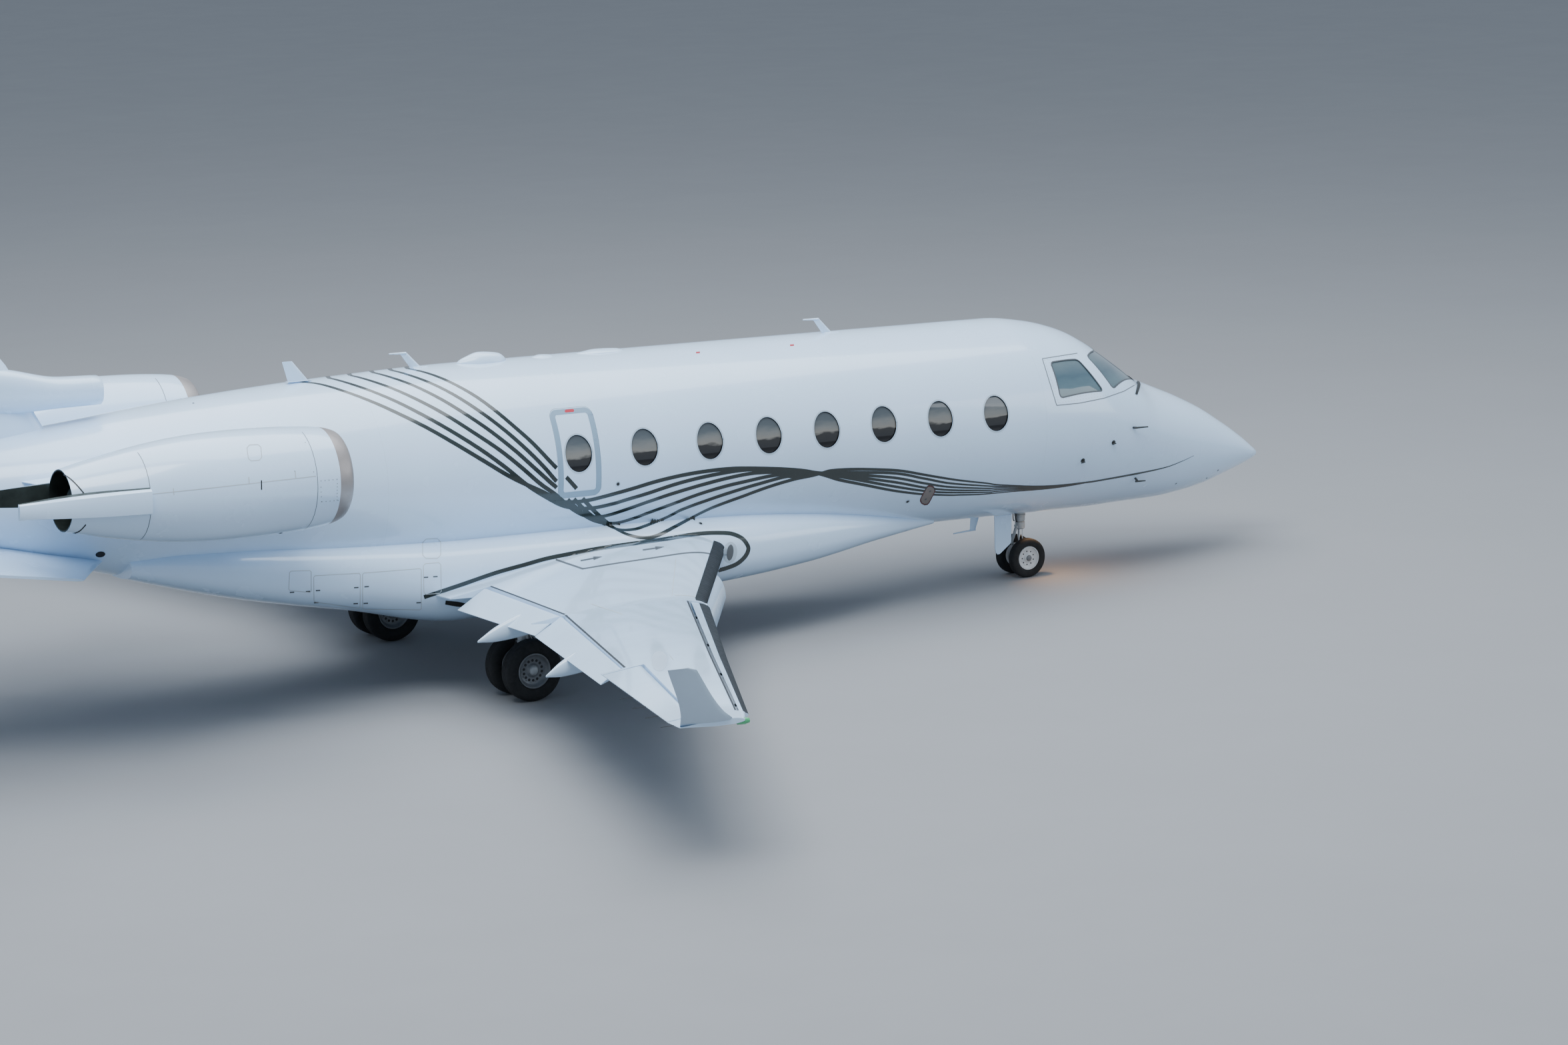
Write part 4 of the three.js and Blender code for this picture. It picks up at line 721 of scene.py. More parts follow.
# Hull skins
window_places = {1: (*WINDOW_X, EXIT_X), -1: (*WINDOW_X, FRONT_WINDOW_X)}
window_holes = {side: [window_outline(x, side) for x in places] for side, places in window_places.items()}
exit_window = window_outline(EXIT_X, -1)
cabin_holes = [*window_holes[1], *window_holes[-1], exit_outline(0.002), door_outline(RUNNING_GAP)]
cabin_x = np.linspace(CABIN_FROM, CABIN_TO - SEAT_GAP, 120)
hull_shell("cabin_skin", cabin_x, TURN, cabin_holes, ["cabin_section"])

BAY_FROM, BAY_TO, BAY_HALF, BAY_WALL, BAY_FOOT, BAY_TOP = 7.032, 7.678, 0.2, 0.022, 1.095, 1.267
BAY_RIBS = (7.2, 7.52)
BAY_HULL_RADIUS = 1.13
bay_turn = math.asin(BAY_HALF / BAY_HULL_RADIUS)
cockpit_holes = [dense([(BAY_FROM, math.pi - bay_turn), (BAY_TO, math.pi - bay_turn),
                        (BAY_TO, math.pi + bay_turn), (BAY_FROM, math.pi + bay_turn)], 0.06)]
pane_outlines = {}
for label, side in SIDES:
    for kind, corners in (("side_window_", SIDE_PANE), ("windshield_", FRONT_PANE)):
        pane_outlines[kind + label] = dense(pane_outline(corners, side), PANE_STEP)
        cockpit_holes.append(mirrored(pane_outlines[kind + label], side))
cockpit_x = np.linspace(CABIN_TO, COCKPIT_TO - SEAT_GAP, 60)
hull_shell("cockpit_skin", cockpit_x, FROM_CROWN, cockpit_holes, ["cockpit_section"])
bay_out = BAY_HALF + BAY_WALL
bay_walls = [
    (BAY_FROM - BAY_WALL, BAY_FROM, -bay_out, bay_out, BAY_FOOT, BAY_TOP),
    (BAY_TO, BAY_TO + BAY_WALL, -bay_out, bay_out, BAY_FOOT, BAY_TOP),
    (BAY_FROM, BAY_TO, BAY_HALF, bay_out, BAY_FOOT, BAY_TOP),
    (BAY_FROM, BAY_TO, -bay_out, -BAY_HALF, BAY_FOOT, BAY_TOP),
    (BAY_FROM, BAY_TO, -BAY_HALF, BAY_HALF, BAY_TOP - 0.004, BAY_TOP + BAY_WALL),
    *[(x, x + 0.012, -BAY_HALF, BAY_HALF, BAY_TOP - 0.05, BAY_TOP) for x in BAY_RIBS]]
make("nose_bay_box", *join(*[block(*row, 0.002) for row in bay_walls]), GREY, slot="grey_paint")

around = np.linspace(-math.pi, math.pi, 96, endpoint=False)
BULKHEAD_X = 8.9
bulkhead = tube([hull_point(x, around, -WALL - 0.001) for x in (BULKHEAD_X, BULKHEAD_X + 0.03)])
make("nose_bulkhead", *bulkhead, PANEL, slot="dark_metal")
nose_ends = [math.sqrt(NOSE_TIP - x) for x in (COCKPIT_TO, HULL_TABLE[-1][0])]
nose_x = NOSE_TIP - np.linspace(*nose_ends, 40) ** 2
make("radome", *tube([hull_point(x, around) for x in nose_x]), WHITE, nodes=["nose_cone"], angle=60)


# Panes, the exit and the entry door
def patch_mesh(outline, depth, thickness, step=OUTLINE_STEP, holes=()):
    """Closed patch of the hull's surface inside an outline, set in by a depth, and its outer count."""
    uv, tris = fill_outline(dense(outline, step), step, holes)

    def surface(x, a):
        points, normals = hull_surface(x, a)
        return points - normals * depth, normals
    return (*thick_skin(surface, uv, tris, thickness), len(tris))


def panes(name, outlines, depth, material, nodes=()):
    """One piece from several panes, each set in by a depth."""
    meshes, corners = [], []
    for outline in outlines:
        verts, faces, normals, _ = patch_mesh(outline, depth, PANE_THICKNESS)
        meshes.append((verts, faces))
        corners += normals
    make(name, *join(*meshes), material, nodes=nodes, slot="window_glass", normals=corners)


def lined_panel(name, outline, step, node, body="airframe", holes=()):
    """Part of the hull's wall inside an outline, painted outside and lined inside."""
    verts, faces, corners, count = patch_mesh(outline, 0, WALL, step, holes)
    make(name, verts, faces, [WHITE, LINING], body=body, nodes=[node], normals=corners,
         indices=skin_indices(faces, count))


def window_rim(x, side):
    return hull_frame(window_outline(x, side, RIM_GROW, 72), RIM_WIDTH, 0.0015)


def cabin_y(z, radius=CABIN_RADIUS - WALL):
    """Half width of the round cabin at a height, inside its wall unless a radius is given."""
    return math.sqrt(radius ** 2 - (CABIN_Z - z) ** 2)


PANE_IN, SCREEN_IN, PANE_THICKNESS = 0.015, 0.008, 0.02
RIM_GROW, RIM_WIDTH = 0.018, 0.016
for label, side in SIDES:
    panes("cabin_panes_" + label, window_holes[side], PANE_IN, PANE, ["cabin_glass_" + label])
    rims = [window_rim(x, side) for x in window_places[side]]
    make("window_rims_" + label, *join(*rims), PALE_GREY)
    for kind in ("side_window_", "windshield_"):
        outline = pane_outlines[kind + label]
        panes(kind + "pane_" + label, [outline], SCREEN_IN, SCREEN, [kind + label])
        make(kind + "seal_" + label, *hull_frame(outline, RIM_WIDTH, 0.0014), MARK)

# The exit over the right wing, with its window set deeper, and the entry door
lined_panel("exit_panel", exit_outline(-0.0005), PANE_STEP, "emergency_exit", holes=[exit_window])
panes("exit_pane", [exit_window], PANE_IN, PANE)
make("exit_window_rim", *window_rim(EXIT_X, -1), PALE_GREY)
lined_panel("door_panel", door_outline(0), OUTLINE_STEP, "entry_door", "entry_door")

DOOR_REAR, DOOR_FRONT, SILL_Z = 5.92, 6.69, 1.36
LUG_GAP, LUG_REACH = 0.007, 0.037
SILL_Y = cabin_y(SILL_Z, CABIN_RADIUS) + 0.004
KNUCKLES = (6.0, 6.2, 6.4, 6.58)
TREADS = ((1.62, 0.13), (1.88, 0.15), (2.14, 0.15), (2.40, 0.13), (2.66, 0.10))
STRINGER_Z = (1.55, 1.88, 2.14, 2.4, 2.72)
STRINGER_X = (6.01, 6.6)
TREAD_X = (6.02, 6.59)
HANDLE_X, HANDLE_Z, HANDLE_SIZE = DOOR_X, 2.02, (0.2, 0.07, 0.02)
HANDLE_BAR = (6.23, 6.38)


def on_sill(x, y, z):
    return (x, SILL_Y + y, SILL_Z + z)


hinge = [((DOOR_REAR - LUG_REACH, 0, 0), (DOOR_FRONT + LUG_REACH, 0, 0), 0.009)]
hinge += [((x, 0, 0), (x + 0.06, 0, 0), 0.0135) for x in KNUCKLES]
lugs = [((DOOR_REAR - LUG_REACH, 0, 0), (DOOR_REAR - LUG_GAP, 0, 0), 0.02, 24),
        ((DOOR_FRONT + LUG_GAP, 0, 0), (DOOR_FRONT + LUG_REACH, 0, 0), 0.02, 24)]
make("door_hinge_tube", *join(*rods(on_sill, hinge)), BARE, body="entry_door", slot="bare_metal")
make("door_hinge_lugs", *join(*rods(on_sill, lugs)), WHITE)
steps = [block(*TREAD_X, cabin_y(z) - reach, cabin_y(z) + 0.01, z - 0.012, z + 0.012)
         for z, reach in TREADS]
steps += [rod((x, cabin_y(z0) - 0.03, z0), (x, cabin_y(z1) - 0.03, z1), 0.016)
          for x in STRINGER_X for z0, z1 in zip(STRINGER_Z, STRINGER_Z[1:])]
make("door_steps", *join(*steps), BARE, body="entry_door", slot="bare_metal")
handle_turn = hull_angle(6.3, 1, HANDLE_Z)
make("door_handle", *join(
    hull_frame(side_outline(rounded(HANDLE_X, HANDLE_Z, *HANDLE_SIZE), 1), 0.004),
    hull_line([(x, handle_turn) for x in HANDLE_BAR], 0.03, PAINT_LIFT)),
    PALE_GREY, body="entry_door")


# Seats and the flight deck panel
def cushion(x0, x1, y0, y1, z0, z1, crown, lean=0.0):
    """Crowned pad whose sides pull in between the corners."""
    count = 20
    us = np.linspace(-1, 1, count)
    points = []
    for level in (-1, 1):
        for u in us:
            for v in us:
                edge = (1 - abs(u) ** 3.5) * (1 - abs(v) ** 3.5)
                pull = 1 - 0.035 * (1 - v * v) * abs(u), 1 - 0.035 * (1 - u * u) * abs(v)
                bulge = (0.35 + 0.65 * edge ** 0.4) * level
                points.append(((x0 + x1) / 2 + u * pull[0] * (x1 - x0) / 2,
                               (y0 + y1) / 2 + v * pull[1] * (y1 - y0) / 2,
                               (z0 + z1) / 2 + bulge * (z1 - z0) / 2 + level * crown * edge))
    points = np.array(points)
    points[:, 0] -= (points[:, 2] - z0) * lean
    faces = []
    size = count * count
    for i in range(count - 1):
        for j in range(count - 1):
            a = i * count + j
            faces.append([a, a + count, a + count + 1, a + 1])
            faces.append([size + a, size + a + 1, size + a + count + 1, size + a + count])
    rim = ([i * count for i in range(count)] + [(count - 1) * count + j for j in range(1, count)]
           + [i * count + count - 1 for i in range(count - 2, -1, -1)] + list(range(count - 2, 0, -1)))
    for p, q in zip(rim, rim[1:] + rim[:1]):
        faces.append([p, q, size + q, size + p])
    return points, outward(points, faces)


# Pads: x, z, crown and lean. Blocks of a seat: x, inset, z and ease. Blocks of the panel: x, y, z and ease
SEAT_Y = (0.25, 0.67)
SEAT_PAD = ((7.31, 7.70), (1.75, 1.84), 0.012)
BACK_PAD = ((7.27, 7.34), (1.87, 2.36), 0.0, 0.14)
SEAT_BLOCKS = ((7.22, 7.62, 0.06, 1.332, 1.42, 0.01), (7.30, 7.56, 0.1, 1.42, 1.71, 0.012),
               (7.28, 7.70, 0.01, 1.71, 1.752, 0.012))
PANEL_BLOCKS = ((8.10, 8.56, -0.7, 0.7, 1.92, 2.36, 0.03), (8.06, 8.14, -0.72, 0.72, 2.36, 2.42, 0.02),
                (8.02, 8.24, -0.16, 0.16, 1.332, 1.95, 0.02))
SCREEN_Y = (-0.5, -0.27, 0, 0.27, 0.5)
for label, side in SIDES:
    y0, y1 = sorted(side * y for y in SEAT_Y)
    seat_pad = cushion(*SEAT_PAD[0], y0, y1, *SEAT_PAD[1], *SEAT_PAD[2:])
    back_pad = cushion(*BACK_PAD[0], y0 + 0.02, y1 - 0.02, *BACK_PAD[1], *BACK_PAD[2:])
    pads = make("seat_pads_" + label, *join(seat_pad, back_pad), TRIM, slot="cabin_trim")
    shell = [block(x0, x1, y0 + inset, y1 - inset, z0, z1, ease)
             for x0, x1, inset, z0, z1, ease in SEAT_BLOCKS]
    post_y = (y0 + 0.04, y1 - 0.04)
    shell += [rod((7.24, y, 1.72), (7.13, y, 2.40), 0.02) for y in post_y]
    shell.append(rod(*[(7.16, y, 2.30) for y in post_y], 0.018))
    make("seat_frame_" + label, *join(*shell), DARK, nodes=["pilot_seat_" + label], slot="dark_metal")

panel_parts = [block(*row) for row in PANEL_BLOCKS]
panel_parts += [block(8.092, 8.104, y - 0.1, y + 0.1, 2.06, 2.28, 0.006) for y in SCREEN_Y]
make("panel_shell", *join(*panel_parts), PANEL, nodes=["instrument_panel"], slot="dark_metal")
carpet = frame["nodes"]["cabin_floor"].data.materials
carpet.clear()
carpet.append(TRIM)

# Belly fairing. Columns: x, half width, bottom z, top z
FAIRING_TABLE = [
    (-4.0, 0.62, 1.42, 1.72), (-3.48, 0.86, 1.275, 1.8), (-2.7, 1.06, 1.085, 1.8),
    (-1.57, 1.19, 0.87, 1.76), (-0.34, 1.265, 0.64, 1.72), (1.5, 1.28, 0.655, 1.7),
    (3.0, 1.235, 0.75, 1.64), (4.0, 1.08, 0.84, 1.56), (5.03, 0.8, 0.985, 1.4),
    (5.9, 0.43, 1.062, 1.2),
]
fairing_curve = smooth(FAIRING_TABLE)
FAIRING_POWER = 0.72


def fairing_loop(x):
    half, bottom, top = fairing_curve(x)[0]
    return ring(x, (bottom + top) / 2, (top - bottom) / 2, half, FAIRING_POWER, 120)


fairing_x = np.linspace(FAIRING_TABLE[0][0], FAIRING_TABLE[-1][0], 110)
fairing_mesh = tube([fairing_loop(x) for x in fairing_x])
make("fairing_shell", *fairing_mesh, WHITE, nodes=["belly_fairing"], angle=60)

# Wings. Columns: y, leading x, trailing x, thickness over chord, rise of the leading edge
WING = np.array([
    (1.05, 2.82, -0.83, 0.112, 0.19), (1.5, 2.52, -0.79, 0.112, 0.15), (3.3, 1.29, -0.735, 0.112, 0),
    (6.0, -0.04, -1.42, 0.108, 0), (8.35, -1.17, -2.0, 0.1, 0), (8.64, -1.34, -2.03, 0.085, 0)])
# Section. Columns: root of the share of chord, upper and lower share of thickness
SECTION = smooth([(math.sqrt(share), up, low) for share, up, low in (
    (0, 0, 0), (0.015, 0.2, -0.16), (0.06, 0.36, -0.28), (0.18, 0.52, -0.42), (0.4, 0.56, -0.44),
    (0.65, 0.42, -0.28), (0.85, 0.19, -0.11), (1, 0.015, -0.015))])
DIHEDRAL = math.tan(math.radians(2))
TIP_Z, TIP_REFERENCE = 1.361, 8.85


def wing_row(y):
    return [float(np.interp(y, WING[:, 0], WING[:, i])) for i in (1, 2, 3)]


def chord_x(y, share):
    """x at a share of the wing's chord, from its leading edge."""
    lead, trail, _ = wing_row(y)
    return lead - share * (lead - trail)


def wing_height(y, x=None):
    """Height of the section's middle line, at the leading edge unless an x is given."""
    lead, trail, _ = wing_row(y)
    rise = float(np.interp(y, WING[:, 0], WING[:, 4]))
    ahead = (lead if x is None else x) - trail
    return TIP_Z - (TIP_REFERENCE - y) * DIHEDRAL + rise * ahead / (lead - trail)


def wing_skin(y, roots):
    """x and both levels of the section at roots of the share of chord."""
    lead, trail, ratio = wing_row(y)
    chord = lead - trail
    return lead - roots ** 2 * chord, SECTION(np.abs(roots)) * ratio * chord


def wing_loop(y, side, front, rear):
    """Section at y, cut square at a front x and a rear x where they are given."""
    lead, trail, _ = wing_row(y)
    low_share = 0 if front is None else (lead - front) / (lead - trail)
    high_share = 1 if rear is None else (lead - rear) / (lead - trail)
    roots = np.linspace(math.sqrt(max(low_share, 0)), math.sqrt(high_share), SECTION_POINTS)
    x, levels = wing_skin(y, roots)
    z = wing_height(y, x)
    upper, lower = (np.stack([x, np.full_like(x, y * side), z + levels[:, i]], 1) for i in (0, 1))
    return np.vstack([upper, lower[:0:-1] if front is None else lower[::-1]])


# Flaps. Inner y, hinge x, tail x, radius, then the same at the outer end
FLAPS = {
    "inboard": ((1.512, -0.375, -0.735, 0.046), (3.245, -0.4, -0.72, 0.036)),
    "outboard": ((3.27, -0.405, -0.735, 0.035), (5.985, -1.19, -1.437, 0.024)),
}
FLAP_DROOP = math.radians(25)
FLAP_GAP, HINGE_GAP, SWING_GAP = 0.005, 0.007, 0.016
AILERON = (6.06, 8.34)
AILERON_SHARE, AILERON_FULLNESS = 0.7, 0.47
SLAT = (3.48, 8.38)
SLAT_SHARE = 0.115
SLAT_FORWARD, SLAT_DOWN = 0.032, 0.02
TAIL_HALF, TAIL_REACH = 0.003, 0.004


def wing_levels(y, x):
    lead, trail, ratio = wing_row(y)
    chord = lead - trail
    up, low = (SECTION(math.sqrt(min(max((lead - x) / chord, 0), 1))) * ratio * chord)[0]
    return wing_height(y, x) + up, wing_height(y, x) + low


def on_wing(side, y, x, lift=0.0):
    up, low = wing_levels(y, x)
    return np.array((x, y * side, (up + low) / 2 + lift))


def flap_stations(side, rows):
    out = []
    for y, hinge_x, tail_x, radius in rows:
        hinge = on_wing(side, y, hinge_x, -0.008)
        chord = hinge_x - tail_x
        tail = np.array((hinge_x - chord * math.cos(FLAP_DROOP), y * side,
                         hinge[2] - chord * math.sin(FLAP_DROOP)))
        out.append((hinge, tail, radius))
    return out


def aileron_stations(side):
    out = []
    for y in AILERON:
        x = chord_x(y, AILERON_SHARE)
        up, low = wing_levels(y, x)
        tail = on_wing(side, y, wing_row(y)[1] + TAIL_REACH)
        out.append((on_wing(side, y, x), tail, (up - low) * AILERON_FULLNESS))
    return out


def hinged(ends, rows=14):
    """Surface with a round nose about its hinge line and a thin tail."""
    (h0, t0, r0), (h1, t1, r1) = ends
    axis = (h1 - h0) / np.linalg.norm(h1 - h0)
    shares = np.linspace(0, 1, 9)
    loops = []
    for s in np.linspace(0, 1, rows):
        hinge, tail, radius = h0 + (h1 - h0) * s, t0 + (t1 - t0) * s, r0 + (r1 - r0) * s
        chord = tail - hinge
        length = np.linalg.norm(chord)
        chord = chord / length
        up = np.cross(axis, chord)
        up /= np.linalg.norm(up)
        if up[2] + up[1] * 0.001 < 0:
            up = -up
        levels = [radius * (1 - t) + TAIL_HALF * t for t in shares]
        upper, lower = ([hinge + chord * length * t + way * up * level for t, level in zip(shares, levels)]
                        for way in (1, -1))
        nose = [hinge + up * radius * math.cos(a) - chord * radius * math.sin(a)
                for a in np.linspace(0, math.pi, 17)[1:-1]]
        loops.append(upper[::-1] + nose + lower)
    return tube(loops)


def bay_front(ends, gap):
    """Front x of the bay behind a hinge line, by y."""
    (h0, _, r0), (h1, _, r1) = ends
    slope = (h1[0] + r1 - h0[0] - r0) / (abs(h1[1]) - abs(h0[1]))
    return lambda y: h0[0] + r0 + gap + (y - abs(h0[1])) * slope


def wing_mesh(side):
    rear = {"in": bay_front(flap_stations(side, FLAPS["inboard"]), FLAP_GAP),
            "out": bay_front(flap_stations(side, FLAPS["outboard"]), FLAP_GAP),
            "ail": bay_front(aileron_stations(side), HINGE_GAP)}
    slat_from, slat_to = SLAT[0] - 0.002, SLAT[1] + 0.002
    aileron_from, aileron_to = AILERON[0] - SWING_GAP, AILERON[1] + SWING_GAP
    spans = [
        (1.0, 1.507, False, None), (1.507, 3.25, False, "in"), (3.25, 3.265, False, None),
        (3.265, slat_from, False, "out"), (slat_from, 5.99, True, "out"),
        (5.99, aileron_from, True, None), (aileron_from, aileron_to, True, "ail"),
        (aileron_to, slat_to, True, None), (slat_to, 8.64, False, None)]
    meshes = []
    for y0, y1, slatted, bay in spans:
        loops = []
        for y in places_between(y0, y1, WING[:, 0], 0.25):
            front = chord_x(y, SLAT_SHARE) - 0.002 if slatted else None
            loops.append(wing_loop(y, side, front, rear[bay](y) if bay else None))
        meshes.append(tube(loops))
    return meshes


# Fairings of the flap tracks. Columns: y, nose x, tip x, tip z
TRACKS = ((2.6, 0.15, -1.02, 0.88), (4.6, -0.3, -1.28, 0.945))
TRACK_CURVE = smooth([(0, 0.2, 0), (0.2, 0.9, 0.1), (0.55, 1, 0.35), (0.8, 0.7, 0.68), (1, 0.08, 1)])
TRACK_TALL, TRACK_WIDE = 0.12, 0.062


def track_mesh(side, y, nose_x, tip_x, tip_z):
    start_z = wing_levels(y, nose_x)[1] - 0.005
    loops = []
    for along in 0.5 - 0.5 * np.cos(np.linspace(0.12, math.pi, 26)):
        size, drop = TRACK_CURVE(along)[0]
        x, z = nose_x + (tip_x - nose_x) * along, start_z + (tip_z - start_z) * drop
        loops.append(ring(x, z, TRACK_TALL * size, TRACK_WIDE * size, count=28) + (0, y * side, 0))
    return tube(loops)


# Winglet. Columns: z, front x, rear x, y, thickness
WINGLET = smooth([(1.345, -1.41, -2.0, 8.585, 0.06), (1.4, -1.49, -2.03, 8.648, 0.052),
                  (1.48, -1.6, -2.05, 8.69, 0.042), (1.96, -1.985, -2.27, 8.835, 0.016)])
WINGLET_FOOT, WINGLET_ROUND, WINGLET_TOP = 1.345, 1.93, 1.96


def winglet_mesh(side):
    loops = []
    shares = np.linspace(0, 1, 16)
    half = 0.86 * SECTION(np.sqrt(shares))[:, 0]
    for z in (*np.linspace(WINGLET_FOOT, WINGLET_ROUND, 20), 1.945, 1.955, WINGLET_TOP):
        front, rear, y, thick = WINGLET(z)[0]
        front -= max(z - WINGLET_ROUND, 0) * 2.2
        upper, lower = ([(front + (rear - front) * s, side * (y + way * h * thick), z)
                         for s, h in zip(shares, half)] for way in (1, -1))
        loops.append(upper + lower[:0:-1])
    return tube(loops)


MAIN_Y = 1.68
KRUEGER_OUT = [(-0.060, -0.062), (-0.018, -0.088), (0.020, -0.130), (0.050, -0.178), (0.070, -0.230),
               (0.084, -0.285), (0.090, -0.340)]
KRUEGER_IN = [(0.070, -0.342), (0.060, -0.285), (0.046, -0.232), (0.024, -0.186), (-0.004, -0.146),
              (-0.038, -0.110), (-0.076, -0.084)]
KRUEGER = (1.96, 3.38)
KRUEGER_ARMS = (2.15, 2.5, 2.84, 3.18)
BOOT_FROM, BOOT_TO = 1.3, 3.42
BOOT_RIB, BOOT_DEPTH = 0.055, 0.135
BOOT_STAND = (0.0035, 0.0025, 0.0015, 0.0025)
SLAT_TRACKS = (0.08, 0.36, 0.64, 0.92)


def boot_mesh(side):
    """Ribbed boot round the fixed leading edge."""
    loops = []
    for number, y in enumerate(np.arange(BOOT_FROM, BOOT_TO, BOOT_RIB / 4)):
        lead, trail, _ = wing_row(y)
        reach = math.sqrt(BOOT_DEPTH / (lead - trail))
        roots = np.linspace(-reach, reach, 23)
        x, levels = wing_skin(y, roots)
        z = np.where(roots > 0, levels[:, 1], levels[:, 0])
        stand = BOOT_STAND[number % 4]
        outer = [(a + stand * (1 - abs(r) / reach), y * side,
                  wing_height(y, a) + b + stand * (-1 if r > 0 else 1)) for a, b, r in zip(x, z, roots)]
        inner = [(a - 0.012, y * side, wing_height(y, a) + b * 0.8) for a, b in zip(x[::-1], z[::-1])]
        loops.append(outer + inner)
    return tube(loops)


def slat_loops(side):
    """The front of the section, run forward and down, with a hollow back."""
    loops = []
    for y in sorted({*np.linspace(*SLAT, 26), 6.0, 8.35}):
        x, levels = wing_skin(y, np.linspace(0, math.sqrt(SLAT_SHARE), 14))
        x = x + SLAT_FORWARD
        z = wing_height(y) - SLAT_DOWN
        upper = [(u, y * side, z + w) for u, w in zip(x[::-1], levels[::-1, 0])]
        lower = [(u, y * side, z + w) for u, w in zip(x[1:], levels[1:, 1])]
        hollow = [(x[-1] + 0.045, y * side, z + levels[-1, 1] * 0.35),
                  (x[-1] + 0.045, y * side, z + levels[-1, 0] * 0.4)]
        loops.append(upper + lower + hollow)
    return loops


for label, side in SIDES:
    wing = join(*wing_mesh(side), *[track_mesh(side, *row) for row in TRACKS])
    make("wing_skin_" + label, *wing, WING_WHITE, nodes=["wing_" + label], angle=32)
    make("winglet_" + label, *winglet_mesh(side), PALE_GREY, angle=40)
    make("leading_edge_boot_" + label, *boot_mesh(side), BOOT, slot="dark_metal", angle=30)
    for kind, rows in FLAPS.items():
        make(f"flap_{kind}_skin_{label}", *hinged(flap_stations(side, rows)), FLAP_WHITE,
             nodes=[f"flap_{kind}_{label}"], angle=40)
    make("aileron_skin_" + label, *hinged(aileron_stations(side)), WING_WHITE, body="aileron_" + label,
         nodes=["aileron_" + label], angle=40)

    # Slat, painted above, dark round its nose and grey inside
    loops = slat_loops(side)
    slat_paint = [0 if j < 3 else (1 if j < 21 else 2) for j in range(len(loops[0]))]
    make("slat_skin_" + label, *tube(loops), [WING_WHITE, BOOT, GREY], nodes=["slat_" + label],
         slot="dark_metal", angle=50, indices=slat_paint * (len(loops) - 1) + [0, 0])
    end, end_x, end_z = SLAT[0], wing_row(SLAT[0])[0] + SLAT_FORWARD, wing_height(SLAT[0])
    make("slat_end_fairing_" + label, *block(
        end_x - 0.30, end_x - 0.02, side * (end - 0.05), side * (end - 0.004),
        end_z - 0.045, end_z + 0.045, 0.012), WING_WHITE)
    tracks = []
    for share in SLAT_TRACKS:
        y = SLAT[0] + share * (SLAT[1] - SLAT[0])
        x, z = chord_x(y, SLAT_SHARE), wing_height(y) - 0.002
        tracks.append(block(x - 0.06, x + SLAT_FORWARD + 0.03, y * side - 0.014, y * side + 0.014,
                            z - 0.014, z + 0.01))
    make("slat_tracks_" + label, *join(*tracks), DARK, slot="dark_metal")

    # Inboard leading edge panel, hinged open below the nose of the wing
    def below_nose(dx, y, dz):
        return (wing_row(y)[0] + dx, y * side, wing_height(y) + dz)
    outline = [*spline(KRUEGER_OUT, 4), *spline(KRUEGER_IN, 4)]
    loops = [[below_nose(dx, y, dz) for dx, dz in outline] for y in np.linspace(*KRUEGER, 12)]
    make("krueger_skin_" + label, *tube(loops), WHITE, nodes=["krueger_" + label], slot="grey_paint",
         angle=40)
    arms = rods(below_nose, [((-0.12, y, -0.06), (0.02, y, -0.15), 0.012) for y in KRUEGER_ARMS])
    make("krueger_arms_" + label, *join(*arms), DARK, slot="dark_metal")

# Tail. Columns of the fin: z, leading x, trailing x, half thickness
FIN = np.array([(2.7, -4.5, -7.14, 0.13), (3.7, -5.08, -7.46, 0.11), (6.18, -7.04, -8.31, 0.052),
                (6.218, -7.15, -8.31, 0.02)])
TAIL = np.array([(0, -5.99, -7.79, 0.095), (3.34, -7.25, -8.105, 0.042), (3.4, -7.33, -8.1, 0.034)])
TAIL_Z = 4.75
RUDDER_ROOM_X = -7.28
SYMMETRIC = smooth([(math.sqrt(a), b) for a, b in (
    (0, 0), (0.03, 0.45), (0.14, 0.82), (0.38, 1), (0.68, 0.62), (1, 0.03))])
RUDDER = (3.145, 6.051)
RUDDER_FOOT_GAP = 0.022
RUDDER_SHARE = 0.76
HINGE_FULLNESS = 0.97
ELEVATOR = (0.33, 3.26)
ELEVATOR_SHARE = 0.7


def row_of(table, at):
    return [float(np.interp(at, table[:, 0], table[:, i])) for i in (1, 2, 3)]


def even_loop(table, at, place, rear=None):
    """Section of a symmetric surface, cut square at a rear x where it is given."""
    lead, trail, half = row_of(table, at)
    last = 1 if rear is None else (rear - lead) / (trail - lead)
    roots = np.linspace(0, math.sqrt(last), SECTION_POINTS)
    size = SYMMETRIC(roots)[:, 0] * half
    x = lead + roots ** 2 * (trail - lead)
    upper = [place(a, b) for a, b in zip(x, size)]
    lower = [place(a, -b) for a, b in zip(x, size)]
    return upper + lower[:0:-1]


def even_half(table, at, x):
    lead, trail, half = row_of(table, at)
    return float(SYMMETRIC(math.sqrt((x - lead) / (trail - lead)))[0, 0]) * half


def control(table, ends, share, place):
    """Hinge, tail and radius at both ends of a control surface of the tail."""
    out = []
    for at in ends:
        lead, trail, _ = row_of(table, at)
        x = lead + (trail - lead) * share
        out.append((np.array(place(x, at)), np.array(place(trail + TAIL_REACH, at)),
                    even_half(table, at, x) * HINGE_FULLNESS))
    return out


def in_fin(x, z):
    return (x, 0, z)


rudder_ends = control(FIN, RUDDER, RUDDER_SHARE, in_fin)
make("rudder_skin", *hinged(rudder_ends, 24), WHITE, body="rudder", nodes=["rudder"], angle=40)


def rudder_line(z):
    (h0, _, r0), (h1, _, r1) = rudder_ends
    climb = (z - RUDDER[0]) / (RUDDER[1] - RUDDER[0])
    return h0[0] + r0 + HINGE_GAP + (h1[0] + r1 - h0[0] - r0) * climb


def fin_place(z):
    return lambda a, b: (a, b, z)


